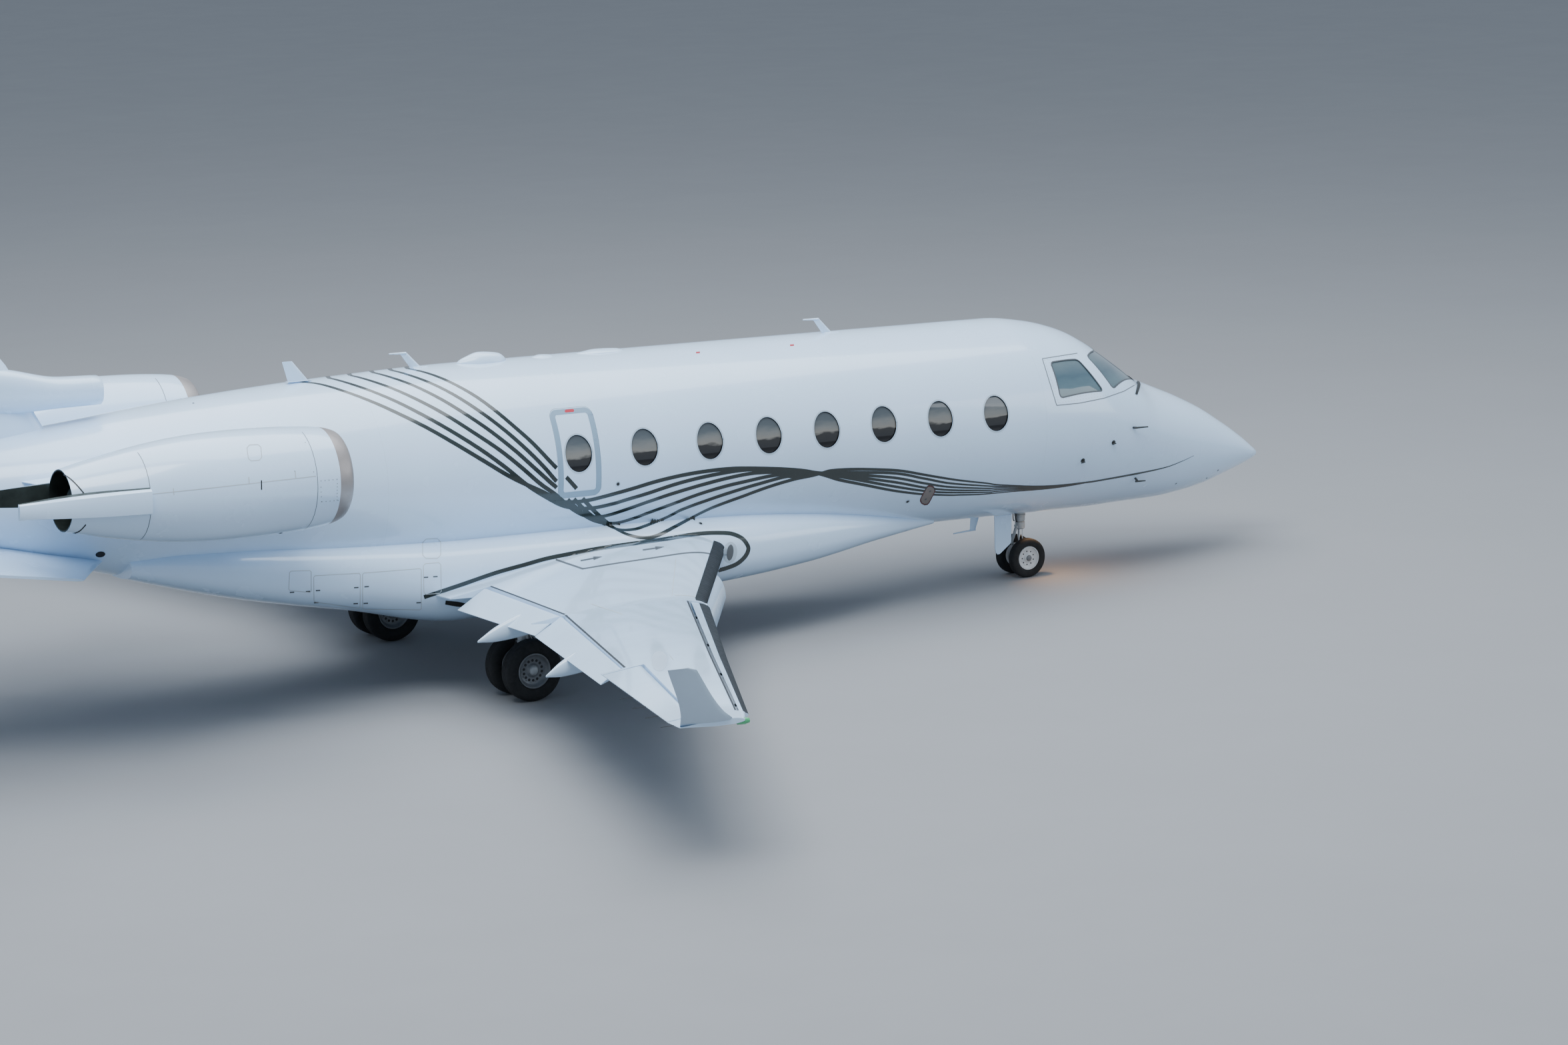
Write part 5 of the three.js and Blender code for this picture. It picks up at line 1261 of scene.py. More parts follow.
fin_parts = []
rudder_foot, rudder_top = RUDDER[0] - RUDDER_FOOT_GAP, RUDDER[1] + SWING_GAP
for z0, z1, cut in ((FIN[0, 0], rudder_foot, False), (rudder_foot, rudder_top, True),
                    (rudder_top, FIN[-1, 0], False)):
    fin_parts.append(tube([even_loop(FIN, z, fin_place(z), rudder_line(z) if cut else None)
                           for z in places_between(z0, z1, FIN[:, 0], 0.15)]))

# Air scoop at the foot of the fin. Columns: x, middle z, half height, half width
SCOOP = smooth([(-4.07, 3.37, 0.15, 0.165), (-4.5, 3.375, 0.16, 0.172), (-5.1, 3.43, 0.23, 0.165),
                (-5.9, 3.5, 0.26, 0.11), (-6.7, 3.3, 0.2, 0.06)])
MOUTH = smooth([(-4.6, 3.37, 0.095, 0.09), (-4.085, 3.37, 0.125, 0.14)])
LIP_RING = (-4.072, 3.37, 0.142, 0.156)
scoop_loops = [ring(x, *SCOOP(x)[0], 0.75) for x in np.linspace(-6.7, -4.085, 40)]
scoop_loops.append(ring(*LIP_RING, 0.8))
scoop_loops += [ring(x, *MOUTH(x)[0], 1) for x in np.linspace(-4.078, -4.6, 8)]
make("fin_skin", *join(*fin_parts), WHITE, nodes=["fin"], angle=32)
make("scoop_skin", *tube(scoop_loops), WHITE, angle=50)
# A black disc closes the scoop's throat: painted shade of the duct beyond
make("scoop_throat", *lathe([(-4.58, 0.088), (-4.575, 0.088)], (0, 0, 3.37)), BLACK, slot="dark_metal")


def elevator_ends(side):
    return control(TAIL, ELEVATOR, ELEVATOR_SHARE, lambda x, y: (x, y * side, TAIL_Z))


def tail_place(y, side):
    return lambda a, b: (a, y * side, TAIL_Z + b)


tail_parts = []
elevator_root, elevator_tip = ELEVATOR[0] - SWING_GAP, ELEVATOR[1] + SWING_GAP
for side in (1, -1):
    line = bay_front(elevator_ends(side), HINGE_GAP)
    for y0, y1, rear in ((TAIL[0, 0], elevator_root, lambda y: RUDDER_ROOM_X),
                         (elevator_root, elevator_tip, line), (elevator_tip, TAIL[-1, 0], lambda y: None)):
        tail_parts.append(tube([even_loop(TAIL, y, tail_place(y, side), rear(y))
                                for y in places_between(y0, y1, TAIL[:, 0], 0.2)]))
make("tailplane_skin", *join(*tail_parts), WHITE, nodes=["tailplane"], angle=32)
for label, side in SIDES:
    make("elevator_skin_" + label, *hinged(elevator_ends(side), 20), WHITE, body="elevator_" + label,
         nodes=["elevator_" + label], angle=40)

# Rear hull, a shell open to the cabin, with pylons and strakes
REAR_HOLLOW_X = -6.4
REAR_FROM = CABIN_FROM - SEAT_GAP
rear_loops = [hull_point(x, around) for x in np.linspace(HULL_TABLE[0][0], REAR_FROM, 90)]
rear_loops += [hull_point(x, around, -WALL) for x in np.linspace(REAR_FROM, REAR_HOLLOW_X, 40)]
rear_parts = [tube(rear_loops)]
NACELLE_Y, NACELLE_Z = 1.85, 2.62
COWL_OUT = spline([(-2.25, 0.425), (-2.3, 0.468), (-2.48, 0.512), (-2.9, 0.545), (-3.5, 0.555),
                   (-4.0, 0.532), (-4.49, 0.47), (-5.0, 0.372), (-5.26, 0.314)], 6).tolist()
COWL_IN = spline([(-5.26, 0.3), (-4.8, 0.335), (-4.3, 0.362), (-2.9, 0.362), (-2.6, 0.372),
                  (-2.33, 0.392)], 6).tolist()


def cowl_radius(x):
    places, radii = np.array(COWL_OUT).T
    return float(np.interp(-x, -places, radii))


# Root and tip. Pylons: front x, rear x, half thickness. Strakes: y, front x, rear x, z, slope
PYLON = ((-2.6, -5.2, 0.11), (-2.75, -4.85, 0.09))
PYLON_OUT = 1.48
STRAKE = ((0.1, -4.0, -6.9, 1.96, 0.2), (1.24, -4.78, -7.0, 1.758, 0.146))
STRAKE_MIDDLE = -5.5
for side in (1, -1):
    loops = []
    for t in np.linspace(0, 1, 8):
        front, back, half = (a + (b - a) * t for a, b in zip(*PYLON))
        table = np.array([(0, front, back, half), (1, front, back, half)])

        def on_pylon(a, b):
            root = hull_point(a, hull_angle(a, 1, NACELLE_Z), -0.04)[0, 1]
            return a, side * (root + (PYLON_OUT - root) * t), NACELLE_Z - 0.02 + b
        loops.append(even_loop(table, 0, on_pylon))
    rear_parts.append(tube(loops))
    loops = []
    for t in np.linspace(0, 1, 8):
        y, front, back, z, rise = (a + (b - a) * t for a, b in zip(*STRAKE))
        half = [(front, 0), (front - 0.02, 0.009), (front - 0.08, 0.014), (back + 0.02, 0.014), (back, 0.004)]
        loops.append([(x, side * y, z + dz - (x - STRAKE_MIDDLE) * rise)
                      for x, dz in half + [(x, -dz) for x, dz in half[:0:-1]]])
    rear_parts.append(tube(loops))
make("rear_skin", *join(*rear_parts), WHITE, nodes=["rear_fuselage"], angle=40)

# Nacelles. Each vane and strut is a section of x and thickness between two radii
COWL_SIDES = 112
LIP_EDGE, LIP_EDGE_INSIDE, DUCT_END = -2.43, -2.56, -4.4
CORE = spline([(-4.29, 0.36), (-4.45, 0.3), (-4.7, 0.21), (-5.08, 0.15), (-5.18, 0.06),
               (-5.19, 0.0005)], 5).tolist()
SPINNER = spline([(-2.722, 0.0005), (-2.745, 0.03), (-2.79, 0.062), (-2.86, 0.103), (-2.96, 0.117),
                  (-3.06, 0.12)], 5).tolist()
VANE = ((-3.075, -0.014), (-3.085, -0.006), (-3.099, 0.012), (-3.099, 0.0))
STRUT = ((-4.5, 0), (-4.53, 0.008), (-4.72, 0), (-4.53, -0.008))
FAN_X, FAN_BLADES = -2.96, 14
# Fan blade. Columns: radius, twist in degrees, half chord; then share of half chord and thickness
BLADE_ROWS = ((0.085, 30, 0.078), (0.15, 36, 0.077), (0.22, 42, 0.074), (0.29, 48, 0.072), (0.351, 54, 0.07))
BLADE_SECTION = ((1, 0), (0.6, 0.006), (0, 0.009), (-0.6, 0.006), (-1, 0), (-0.6, -0.003), (0, -0.004),
                 (0.6, -0.003))
REVERSER = smooth([(-5.86, 0.084, 0.415, 0.372), (-5.262, 0.118, 0.481, 0.318), (-4.9, 0.132, 0.505, 0.36),
                   (-4.5, 0.14, 0.52, 0.44)])


def about_engine(centre, a, x, radius, across):
    """Point at a radius and an angle about the engine, moved across that radius."""
    c, s = math.cos(a), math.sin(a)
    return (x, centre[1] + radius * c - across * s, centre[2] + radius * s + across * c)


def fan_blade(centre, a):
    loops = []
    for radius, twist, half in BLADE_ROWS:
        turn = math.radians(twist)
        loop = []
        for u, thick in BLADE_SECTION:
            x = FAN_X + half * u * math.cos(turn) - thick * math.sin(turn)
            across = half * u * math.sin(turn) + thick * math.cos(turn)
            loop.append(about_engine(centre, a, x, math.sqrt(radius ** 2 - across ** 2), across))
        loops.append(loop)
    return tube(loops)


def reverser_door(centre, way):
    loops = []
    for x in np.linspace(-4.5, -5.86, 26):
        half, outer, inner = REVERSER(x)[0]
        rim = [(outer + 0.012 * (1 - t * t), half * 0.8 * t) for t in np.linspace(1, -1, 15)]
        rim.append(((outer + inner) / 2, -half * 0.93))
        rim += [(inner + 0.008 * t * t, half * t) for t in np.linspace(-1, 1, 11)]
        rim.append(((outer + inner) / 2, half * 0.93))
        loops.append([(x, centre[1] + way * y, centre[2] + z) for y, z in rim])
    return tube(loops)


def cowl_paint(profile, row):
    """Material of a row of the cowl: white, lip, duct or nozzle."""
    x = (profile[row][0] + profile[(row + 1) % len(profile)][0]) / 2
    outer = row < len(COWL_OUT) - 1
    if x > LIP_EDGE or (not outer and x > LIP_EDGE_INSIDE):
        return 1
    if outer:
        return 0
    return 2 if x > DUCT_END else 3


for label, side in SIDES:
    centre = (0, side * NACELLE_Y, NACELLE_Z)
    profile = [*COWL_OUT, *COWL_IN, (-2.262, 0.405)]
    indices = [cowl_paint(profile, row) for row in range(len(profile)) for _ in range(COWL_SIDES)]
    make("cowl_skin_" + label, *lathe(profile, centre, sides=COWL_SIDES, closed=True),
         [WHITE, LIP, DUCT, HOT], nodes=["nacelle_" + label], angle=50, indices=indices)
    engine = [lathe([(-3.1, 0.001), (-3.1, 0.3616), (-3.2, 0.3616), (-4.25, 0.3616), *CORE], centre)]
    for section, radii, count, offset in ((VANE, (0.12, 0.35), 24, 0), (STRUT, (0.2, 0.338), 8, 0.5)):
        for i in range(count):
            a = 2 * math.pi * (i + offset) / count
            engine.append(tube([[about_engine(centre, a, x, r, t) for x, t in section] for r in radii]))
    make("engine_core_" + label, *join(*engine), HOT, nodes=["engine_" + label], slot="dark_metal", angle=40)
    fan = [lathe([*SPINNER, (-3.06, 0.06), (-3.0995, 0.06), (-3.0995, 0.0005)], centre, sides=48)]
    fan += [fan_blade(centre, 2 * math.pi * i / FAN_BLADES) for i in range(FAN_BLADES)]
    make("fan_blades_" + label, *join(*fan), BARE, body="fan_" + label, nodes=["fan_" + label],
         slot="bare_metal", angle=40)

    # Side doors of the thrust reverser, dark on their inner face
    for place_name, way in (("outer", side), ("inner", -side)):
        indices = [1 if 16 <= i % 28 <= 26 else 0 for i in range(25 * 28)] + [0, 0]
        make(f"reverser_{label}_{place_name}", *reverser_door(centre, way), [WHITE, HOT],
             nodes=[f"reverser_door_{label}_{place_name}"], indices=indices, angle=35)

# Aerials along the crown
CROWN_Z = 3.325
REAR_CROWN_Z = 3.276


def blade(foot, top, thick, z0, z1):
    """Tapered blade with a lens section. Foot and top give the front and rear x."""
    shares = np.linspace(0, 1, 9)
    loops = []
    for t in shares:
        front, rear = (foot[i] + (top[i] - foot[i]) * t for i in (0, 1))
        loop = []
        for way, places in ((1, shares), (-1, shares[::-1][1:-1])):
            for s in places:
                size = min(math.sqrt(s) * (1 - s) * 2.6, 1)
                loop.append((front + (rear - front) * s, way * thick / 2 * size * (1 - 0.3 * t),
                             z0 + (z1 - z0) * t))
        loops.append(loop)
    return tube(loops)


DOME_SHAPE = smooth([(0, 0.1), (0.06, 0.36), (0.2, 0.66), (0.45, 1), (0.83, 0.8), (0.95, 0.45), (1, 0.12)])


def dome(rear, front, height, half):
    loops = []
    for along in np.linspace(0, 1, 30):
        share = float(DOME_SHAPE(along)[0, 0])
        loops.append(ring(rear + (front - rear) * along, CROWN_Z - 0.012, height * share, half * share,
                          count=40))
    return tube(loops)


# Blades: front and rear x at the foot and at the top, top z, thickness.
# Domes: rear and front x, height, half width
CROWN_BLADES = (((-1.675, -1.92), (-1.875, -1.99), 3.5, 0.016),
                ((-0.305, -0.445), (-0.537, -0.62), 3.497, 0.014),
                ((4.835, 4.695), (4.603, 4.52), 3.497, 0.014))
CROWN_WHIPS = ((-0.54, -0.74), (4.6, 4.4))
CROWN_DOMES = ((0.06, 0.66, 0.12, 0.11), (0.96, 1.24, 0.035, 0.09), (1.5, 2.12, 0.045, 0.11))
crown_parts = []
for foot, top, top_z, thick in CROWN_BLADES:
    foot_z = REAR_CROWN_Z if foot[0] < -1 else CROWN_Z
    crown_parts.append(blade(foot, top, thick, CROWN_Z - 0.06, top_z))
    crown_parts.append(block(foot[1] - 0.02, foot[0] + 0.02, -0.03, 0.03,
                             CROWN_Z - 0.04, foot_z + 0.006, 0.003))
for front, rear in CROWN_WHIPS:
    crown_parts.append(rod((front, 0, 3.486), (rear, 0, 3.492), 0.013, 12, 0.006))
make("crown_aerials", *join(*crown_parts), WHITE, angle=45)
make("crown_domes", *join(*[dome(*row) for row in CROWN_DOMES]), WHITE, angle=50)

# Aerials and probes below and on the nose
VANE_PLACES = ((7.909, 1.965), (7.496, 1.791))
make("belly_aerial", *join(
    blade((6.80, 6.67), (6.74, 6.66), 0.014, 1.06, 0.88),
    rod((6.74, 0, 0.876), (6.44, 0, 0.856), 0.011, 12, 0.007)), WHITE, angle=45)
make("belly_blade", *blade((3.62, 3.44), (3.55, 3.45), 0.014, 0.80, 0.62), WHITE, angle=45)
for label, side in SIDES:
    vanes = []
    for x, z in VANE_PLACES:
        (point,), (normal,) = hull_surface([x], [hull_angle(x, side, z)])
        foot, tip = point - normal * 0.01, point + normal * 0.045
        vanes.append(rod(foot, point + normal * 0.006, 0.028, 24))
        vanes.append(tube([[foot + (0.012, 0, 0.004), foot + (-0.02, 0, 0), foot + (0, 0, -0.005)],
                           [tip + (0.008, 0, 0.003), tip + (-0.05, 0, -0.012), tip + (0, 0, -0.004)]]))
    make("air_data_vanes_" + label, *join(*vanes), DARK, slot="dark_metal")

# Wheels and tyres in the ground frame
TYRE_SHOULDER = spline([(-0.60, -0.01), (-0.74, 0.02), (-0.93, 0.18), (-1, 0.42), (-0.965, 0.68),
                        (-0.86, 0.86), (-0.70, 0.965), (-0.55, 0.992)], 4).tolist()
GROOVES = (-0.36, -0.12, 0.12, 0.36)
HUB_CAP = ((-0.004, 0), (-0.004, 0.27), (0.002, 0.26), (0.012, 0.2), (0.015, 0.08), (0.015, 0))
BRAKE_DISCS = 4


def tyre(radius, width, rim_radius, centre):
    half, tall = width / 2, radius - rim_radius
    tread = []
    for groove in GROOVES:
        tread += [(groove - 0.035, 1), (groove - 0.022, 0.95), (groove + 0.022, 0.95), (groove + 0.035, 1)]
    loop = TYRE_SHOULDER + tread + [(-u, v) for u, v in TYRE_SHOULDER[::-1]]
    profile = [(centre[1] + u * half, rim_radius + v * tall) for u, v in loop]
    return lathe(profile, (centre[0], 0, centre[2]), "y", 96, closed=True)


def rim(y, r, width, out, dish, axle):
    """Profile of a rim and the y of its dished face."""
    inner, outer = y - out * width / 2, y + out * width / 2
    face = outer - out * dish
    profile = [
        (inner, axle), (inner, 0.3 * r), (inner + out * 0.02, 0.72 * r), (inner, 0.84 * r),
        (inner, 0.985 * r), (inner + out * 0.003, r), (outer - out * 0.003, r), (outer, 0.985 * r),
        (outer, 0.93 * r),
        (outer - out * 0.006, 0.90 * r), (outer - out * 0.016, 0.875 * r), (face + out * 0.006, 0.80 * r),
        (face, 0.745 * r), (face, 0.40 * r), (face + out * 0.004, 0.375 * r), (face + out * 0.018, 0.33 * r),
        (face + out * 0.022, 0.29 * r), (face + out * 0.022, 0.001)]
    return profile, face


def wheel_pair(name, centre, half, radius, width, dish, axle, body, node, paint, cap, holes, hole, slot):
    """Two rims on their axle, with black discs of painted shade for the holes and with nuts in each face, hub
    caps and brake discs.
    """
    cx, cy, cz = centre
    parts, dark, caps = [], [], []
    nut = 0.0065 if radius > 0.15 else 0.005
    for out in (1, -1):
        y = cy + out * half
        profile, face = rim(y, radius, width, out, dish, axle)
        parts.append(lathe(profile, (cx, 0, cz), "y", 72))
        # The holes are black discs set into the face, painted shade in place of real openings
        back, front = face - out * 0.004, face + out * 0.0008
        for x, z in circle(cx, cz, 0.57 * radius, holes, 0.5):
            dark.append(lathe([(back, 0.0005), (front, 0.0006), (front, hole), (back, hole)],
                              (x, 0, z), "y", 20))
        for x, z in circle(cx, cz, 0.66 * radius, holes):
            parts.append(rod((x, face - out * 0.002, z), (x, face + out * 0.007, z), nut, 6))
        hub = face + out * 0.022
        caps.append(lathe([(hub + out * step, max(share * radius, 0.001)) for step, share in HUB_CAP],
                          (cx, 0, cz), "y", 40))
        for x, z in circle(cx, cz, 0.225 * radius, 6):
            caps.append(rod((x, hub, z), (x, hub + out * 0.013, z), 0.004, 6))
        for k in range(BRAKE_DISCS):
            near, far = (y - out * width / 2 + out * (edge + 0.012 * k) for edge in (0.002, 0.009))
            parts.append(lathe([(near, axle), (near, 0.6 * radius), (far, 0.6 * radius), (far, axle)],
                               (cx, 0, cz), "y", 48))
    parts.append(rod((cx, cy - half, cz), (cx, cy + half, cz), axle, 32))
    make(name, *join(*parts), paint, body=body, nodes=[node], frame=LEVEL, slot=slot, angle=40)
    make(name + "_holes", *join(*dark), BLACK, body=body, frame=LEVEL, slot="dark_metal")
    make(name + "_caps", *join(*caps), cap, body=body, frame=LEVEL, slot=slot, angle=40)


def tread(name, size, centre, body, node):
    make(name, *tyre(*size, centre), RUBBER, body=body, nodes=[node], frame=LEVEL, slot="tyre_rubber",
         angle=50)


# Tyres: radius, width, radius of the rim
MAIN_TYRE, NOSE_TYRE = (0.33, 0.172, 0.1905), (0.2285, 0.112, 0.1385)
MAIN_HALF, NOSE_HALF = 0.19, 0.137
MAIN_Z, NOSE_X, NOSE_Z = MAIN_TYRE[0], 7.38, NOSE_TYRE[0]
for label, side in SIDES:
    body = "main_wheels_" + label
    wheel_pair("main_rim_pair_" + label, (0, side * MAIN_Y, MAIN_Z), MAIN_HALF, 0.19, 0.14, 0.044, 0.048,
               body, "main_rims_" + label, RIM_DARK, GEAR, 14, 0.015, "dark_metal")
    for place_name, out in (("outer", side), ("inner", -side)):
        tread(f"main_tyre_{label}_{place_name}_tread", MAIN_TYRE,
              (0, side * MAIN_Y + out * MAIN_HALF, MAIN_Z), body, f"main_tyre_{label}_{place_name}")
wheel_pair("nose_rim_pair", (NOSE_X, 0, NOSE_Z), NOSE_HALF, 0.138, 0.092, 0.024, 0.03, "nose_wheels",
           "nose_rims", RIM_WHITE, RIM_DARK, 9, 0.0085, "grey_paint")
for label, side in SIDES:
    tread(f"nose_tyre_{label}_tread", NOSE_TYRE, (NOSE_X, side * NOSE_HALF, NOSE_Z), "nose_wheels",
          "nose_tyre_" + label)

# Main legs. Bars: two ends from the leg's foot on the ground, radius, sides
MAIN_HUB = ((-0.042, 0.0485), (-0.042, 0.078), (-0.036, 0.082), (0.036, 0.082), (0.042, 0.078),
            (0.042, 0.0485))
MAIN_BARS = [
    ((0, 0, 0.39), (0, 0, 0.45), 0.056, 32), ((0, 0, 0.60), (0, 0, 1.085), 0.066, 36),
    ((0, 0, 0.60), (0, 0, 0.63), 0.073, 36), ((0, 0, 0.83), (0, 0, 0.86), 0.071, 36),
    ((0, 0, 0.94), (0, 0, 0.965), 0.071, 36), ((0, -0.1196, 1.05), (0, 0.1196, 1.05), 0.048, 28),
    ((0.06, -0.024, 0.39), (0.15, -0.0144, 0.52), 0.011),
    ((0.15, -0.0144, 0.515), (0.06, -0.024, 0.69), 0.011),
    ((0.06, 0.024, 0.39), (0.15, 0.0144, 0.52), 0.011), ((0.15, 0.0144, 0.515), (0.06, 0.024, 0.69), 0.011),
    ((0.15, -0.03, 0.515), (0.15, 0.03, 0.515), 0.02, 20),
    ((0.07, -0.04, 0.69), (0.07, 0.04, 0.69), 0.016, 20),
    ((0.07, -0.04, 0.39), (0.07, 0.04, 0.39), 0.016, 20), ((0, 0, 0.76), (0, -0.1, 0.88), 0.024, 20),
    ((0, -0.1, 0.88), (0, -0.112, 1.0), 0.018, 20)]
LEG_DOOR_Z, LEG_DOOR_EASE = 0.845, 0.985
PIPE_X = -0.072
for label, side in SIDES:
    def at(x, y, z):
        return (x, side * (MAIN_Y + y), z)

    def bowed(x, y):
        return y - side * 0.006 * (x / 0.2) ** 2

    steel = [lathe([(at(0, y, 0)[1], r) for y, r in MAIN_HUB], (0, 0, MAIN_Z), "y", 40, closed=True),
             *rods(at, MAIN_BARS)]
    steel += [block(-0.03, 0.03, at(0, 0.055, 0)[1], at(0, 0.09, 0)[1], z, z + 0.04) for z in (0.71, 0.91)]
    make("main_leg_" + label, *join(*steel), GEAR, nodes=["main_gear_leg_" + label], frame=LEVEL,
         slot="bare_metal", angle=40)
    make("main_oleo_" + label, *rod(at(0, 0, 0.44), at(0, 0, 0.62), 0.044, 40), CHROME, frame=LEVEL,
         slot="bare_metal")
    routes = [spline([at(PIPE_X + 0.02, y, 0.98), at(PIPE_X, y, 0.9), at(PIPE_X, y, 0.62),
                      at(PIPE_X - 0.035, y * 2, 0.52), at(PIPE_X - 0.01, y * 3, 0.42),
                      at(-0.06, y * 3.5, 0.36)], 5) for y in (0.01, -0.012)]
    make("main_brake_lines_" + label, *join(*pipes(routes)), BLACK, frame=LEVEL, slot="dark_metal")
    inner_y, outer_y = side * (MAIN_Y + 0.084), side * (MAIN_Y + 0.098)
    outline = rounded(0, LEG_DOOR_Z, 0.4, 0.31, 0.045)
    rings = [[(x * ease, bowed(x, y), LEG_DOOR_Z + (z - LEG_DOOR_Z) * ease) for x, z in outline]
             for y, ease in ((inner_y, LEG_DOOR_EASE), (inner_y + side * 0.003, 1),
                             (outer_y - side * 0.003, 1), (outer_y, LEG_DOOR_EASE))]
    make("main_leg_door_" + label, *tube(rings), WHITE, frame=LEVEL, angle=40)


# Nose leg and fork. Bars as on the main legs
def nose(x, y, z):
    return (NOSE_X + x, y, z)


NOSE_HUB = ((-0.034, 0.0305), (-0.034, 0.052), (-0.030, 0.056), (0.030, 0.056), (0.034, 0.052),
            (0.034, 0.0305))
FORK_BARS = [
    ((0, 0, 0.27), (0, 0, 0.33), 0.042, 32), ((0, 0, 0.55), (0, 0, 0.6396), 0.058, 36),
    ((-0.12, -0.026, 0.396), (-0.12, 0.026, 0.396), 0.016, 20),
    ((-0.045, -0.03, 0.275), (-0.045, 0.03, 0.275), 0.014, 20),
    ((-0.05, -0.03, 0.585), (-0.05, 0.03, 0.585), 0.014, 20)]
SCISSORS = [
    ((-0.045, -0.018, 0.275), (-0.12, -0.0126, 0.398), 0.009),
    ((-0.12, -0.0126, 0.394), (-0.045, -0.018, 0.588), 0.009),
    ((-0.045, 0.018, 0.275), (-0.12, 0.0126, 0.398), 0.009),
    ((-0.12, 0.0126, 0.394), (-0.045, 0.018, 0.588), 0.009)]
LEG_BARS = [
    ((0, 0, 0.6404), (0, 0, 0.96), 0.06, 36), ((0, 0, 0.70), (0, 0, 0.725), 0.066, 36),
    ((0, 0, 0.86), (0, 0, 0.885), 0.066, 36), ((0, -0.1996, 0.93), (0, 0.1996, 0.93), 0.04, 28),
    ((0.03, -0.045, 0.74), (0.03, 0.045, 0.74), 0.022, 20), ((0.02, -0.03, 0.76), (0.23, -0.03, 0.93), 0.015),
    ((0.02, 0.03, 0.76), (0.23, 0.03, 0.93), 0.015), ((0.10, -0.04, 0.825), (0.10, 0.04, 0.825), 0.012),
    ((0.23, -0.1996, 0.93), (0.23, 0.1996, 0.93), 0.022, 24), ((-0.05, 0, 0.68), (-0.05, 0, 0.9), 0.018, 20)]
fork = [lathe(NOSE_HUB, (NOSE_X, 0, NOSE_Z), "y", 40, closed=True), *rods(nose, FORK_BARS),
        block(NOSE_X + 0.03, NOSE_X + 0.078, -0.026, 0.026, 0.33, 0.382, 0.008), *rods(nose, SCISSORS)]
make("nose_fork_steel", *join(*fork), GEAR, body="nose_fork", nodes=["nose_fork"], frame=LEVEL,
     slot="bare_metal", angle=40)
make("nose_oleo", *rod(nose(0, 0, 0.32), nose(0, 0, 0.56), 0.032, 40), CHROME, body="nose_fork", frame=LEVEL,
     slot="bare_metal")
leg = [*rods(nose, LEG_BARS), block(NOSE_X + 0.02, NOSE_X + 0.07, -0.09, 0.09, 0.785, 0.815, 0.006)]
make("nose_leg", *join(*leg), GEAR, nodes=["nose_gear_leg"], frame=LEVEL, slot="bare_metal", angle=40)
LAMP_PLACES = ((NOSE_X, -0.052, 0.8), (NOSE_X, 0.052, 0.8))
LAMP_CAN = [(0.052, 0.012), (0.056, 0.03), (0.07, 0.042), (0.095, 0.046), (0.098, 0.0455), (0.098, 0.042),
            (0.094, 0.041), (0.08, 0.03)]
LAMP_GLASS = [(0.081, 0.041), (0.0945, 0.041), (0.096, 0.034), (0.0975, 0.018), (0.098, 0.0005)]
make("taxi_lamp_cans", *join(*[lathe(LAMP_CAN, place, "x", 40) for place in LAMP_PLACES]), GEAR, frame=LEVEL,
     slot="bare_metal")
make("taxi_lamp_glasses", *join(*[lathe(LAMP_GLASS, place, "x", 40) for place in LAMP_PLACES]), WARM,
     frame=LEVEL, slot="window_glass")
routes = [spline([nose(-0.065, y, 0.95), nose(-0.072, y, 0.8), nose(-0.07, y, 0.66),
                  nose(-0.055, y * 0.8, 0.644)], 6) for y in (-0.03, 0.03)]
make("nose_leg_lines", *join(*pipes(routes)), BLACK, frame=LEVEL, slot="dark_metal")

NOSE_DOOR = np.array([(6.862, 1.06), (6.875, 0.72), (6.878, 0.67), (6.892, 0.625), (6.915, 0.602),
                      (6.945, 0.607), (7.085, 0.715), (7.096, 0.735), (7.1, 1.06)])
middle = NOSE_DOOR.mean(0)
rings = []
for y, ease in ((-0.2, 0.985), (-0.202, 1), (-0.21, 1), (-0.212, 0.985)):
    eased = middle + (NOSE_DOOR - middle) * ease
    rings.append([(x, y, z) for x, z in eased])
make("nose_leg_door", *tube(rings), WHITE, nodes=["nose_gear_door"], angle=40)

# Casting from the camera onto the built shapes
TO_HULL = HULL.inverted()


def ray(u, v):
    scale = SENSOR / LENS / WIDTH
    x, y = (u - WIDTH / 2) * scale, (HEIGHT / 2 - v) * scale
    return (FORWARD + RIGHT * x + UP * y).normalized()


def tree_of(*meshes):
    points, faces = join(*meshes)
    return BVHTree.FromPolygons([tuple(p) for p in points.tolist()], faces)


hull_long = np.concatenate([np.linspace(-8.27, 9.4, 260), nose_x[1:]])
hull_mesh = tube([hull_point(x, around) for x in hull_long])
body_tree = tree_of(hull_mesh, fairing_mesh)
whole_tree = tree_of(hull_mesh, fairing_mesh, *wing_mesh(-1))
nacelle_tree = tree_of(lathe(COWL_OUT, (0, -NACELLE_Y, NACELLE_Z), sides=COWL_SIDES))


def cast(u, v, tree):
    """Point and normal on a shape under a pixel of the photograph."""
    point, normal, _, _ = tree.ray_cast(TO_HULL @ EYE, TO_HULL.to_3x3() @ ray(u, v))
    return (np.array(point), np.array(normal)) if point is not None else None


def cast_path(pixels, tree, per):
    """Rows of point, normal and pixel x along a curve through pixels, on the near side of the crown."""
    rows = []
    for u, v in spline(pixels, per):
        hit = cast(u, v, tree)
        if hit is not None and hit[0][1] < 0.02:
            rows.append((*hit[0], *hit[1], u))
    return np.array(rows)


def hull_coordinates(points):
    crown, keel, half, middle = hull_curve(nose_place(points[:, 0])).T
    rise = np.where(points[:, 2] > middle, crown - middle, middle - keel)
    return np.stack([points[:, 0], np.arctan2(points[:, 1] / half, (points[:, 2] - middle) / rise)], 1)


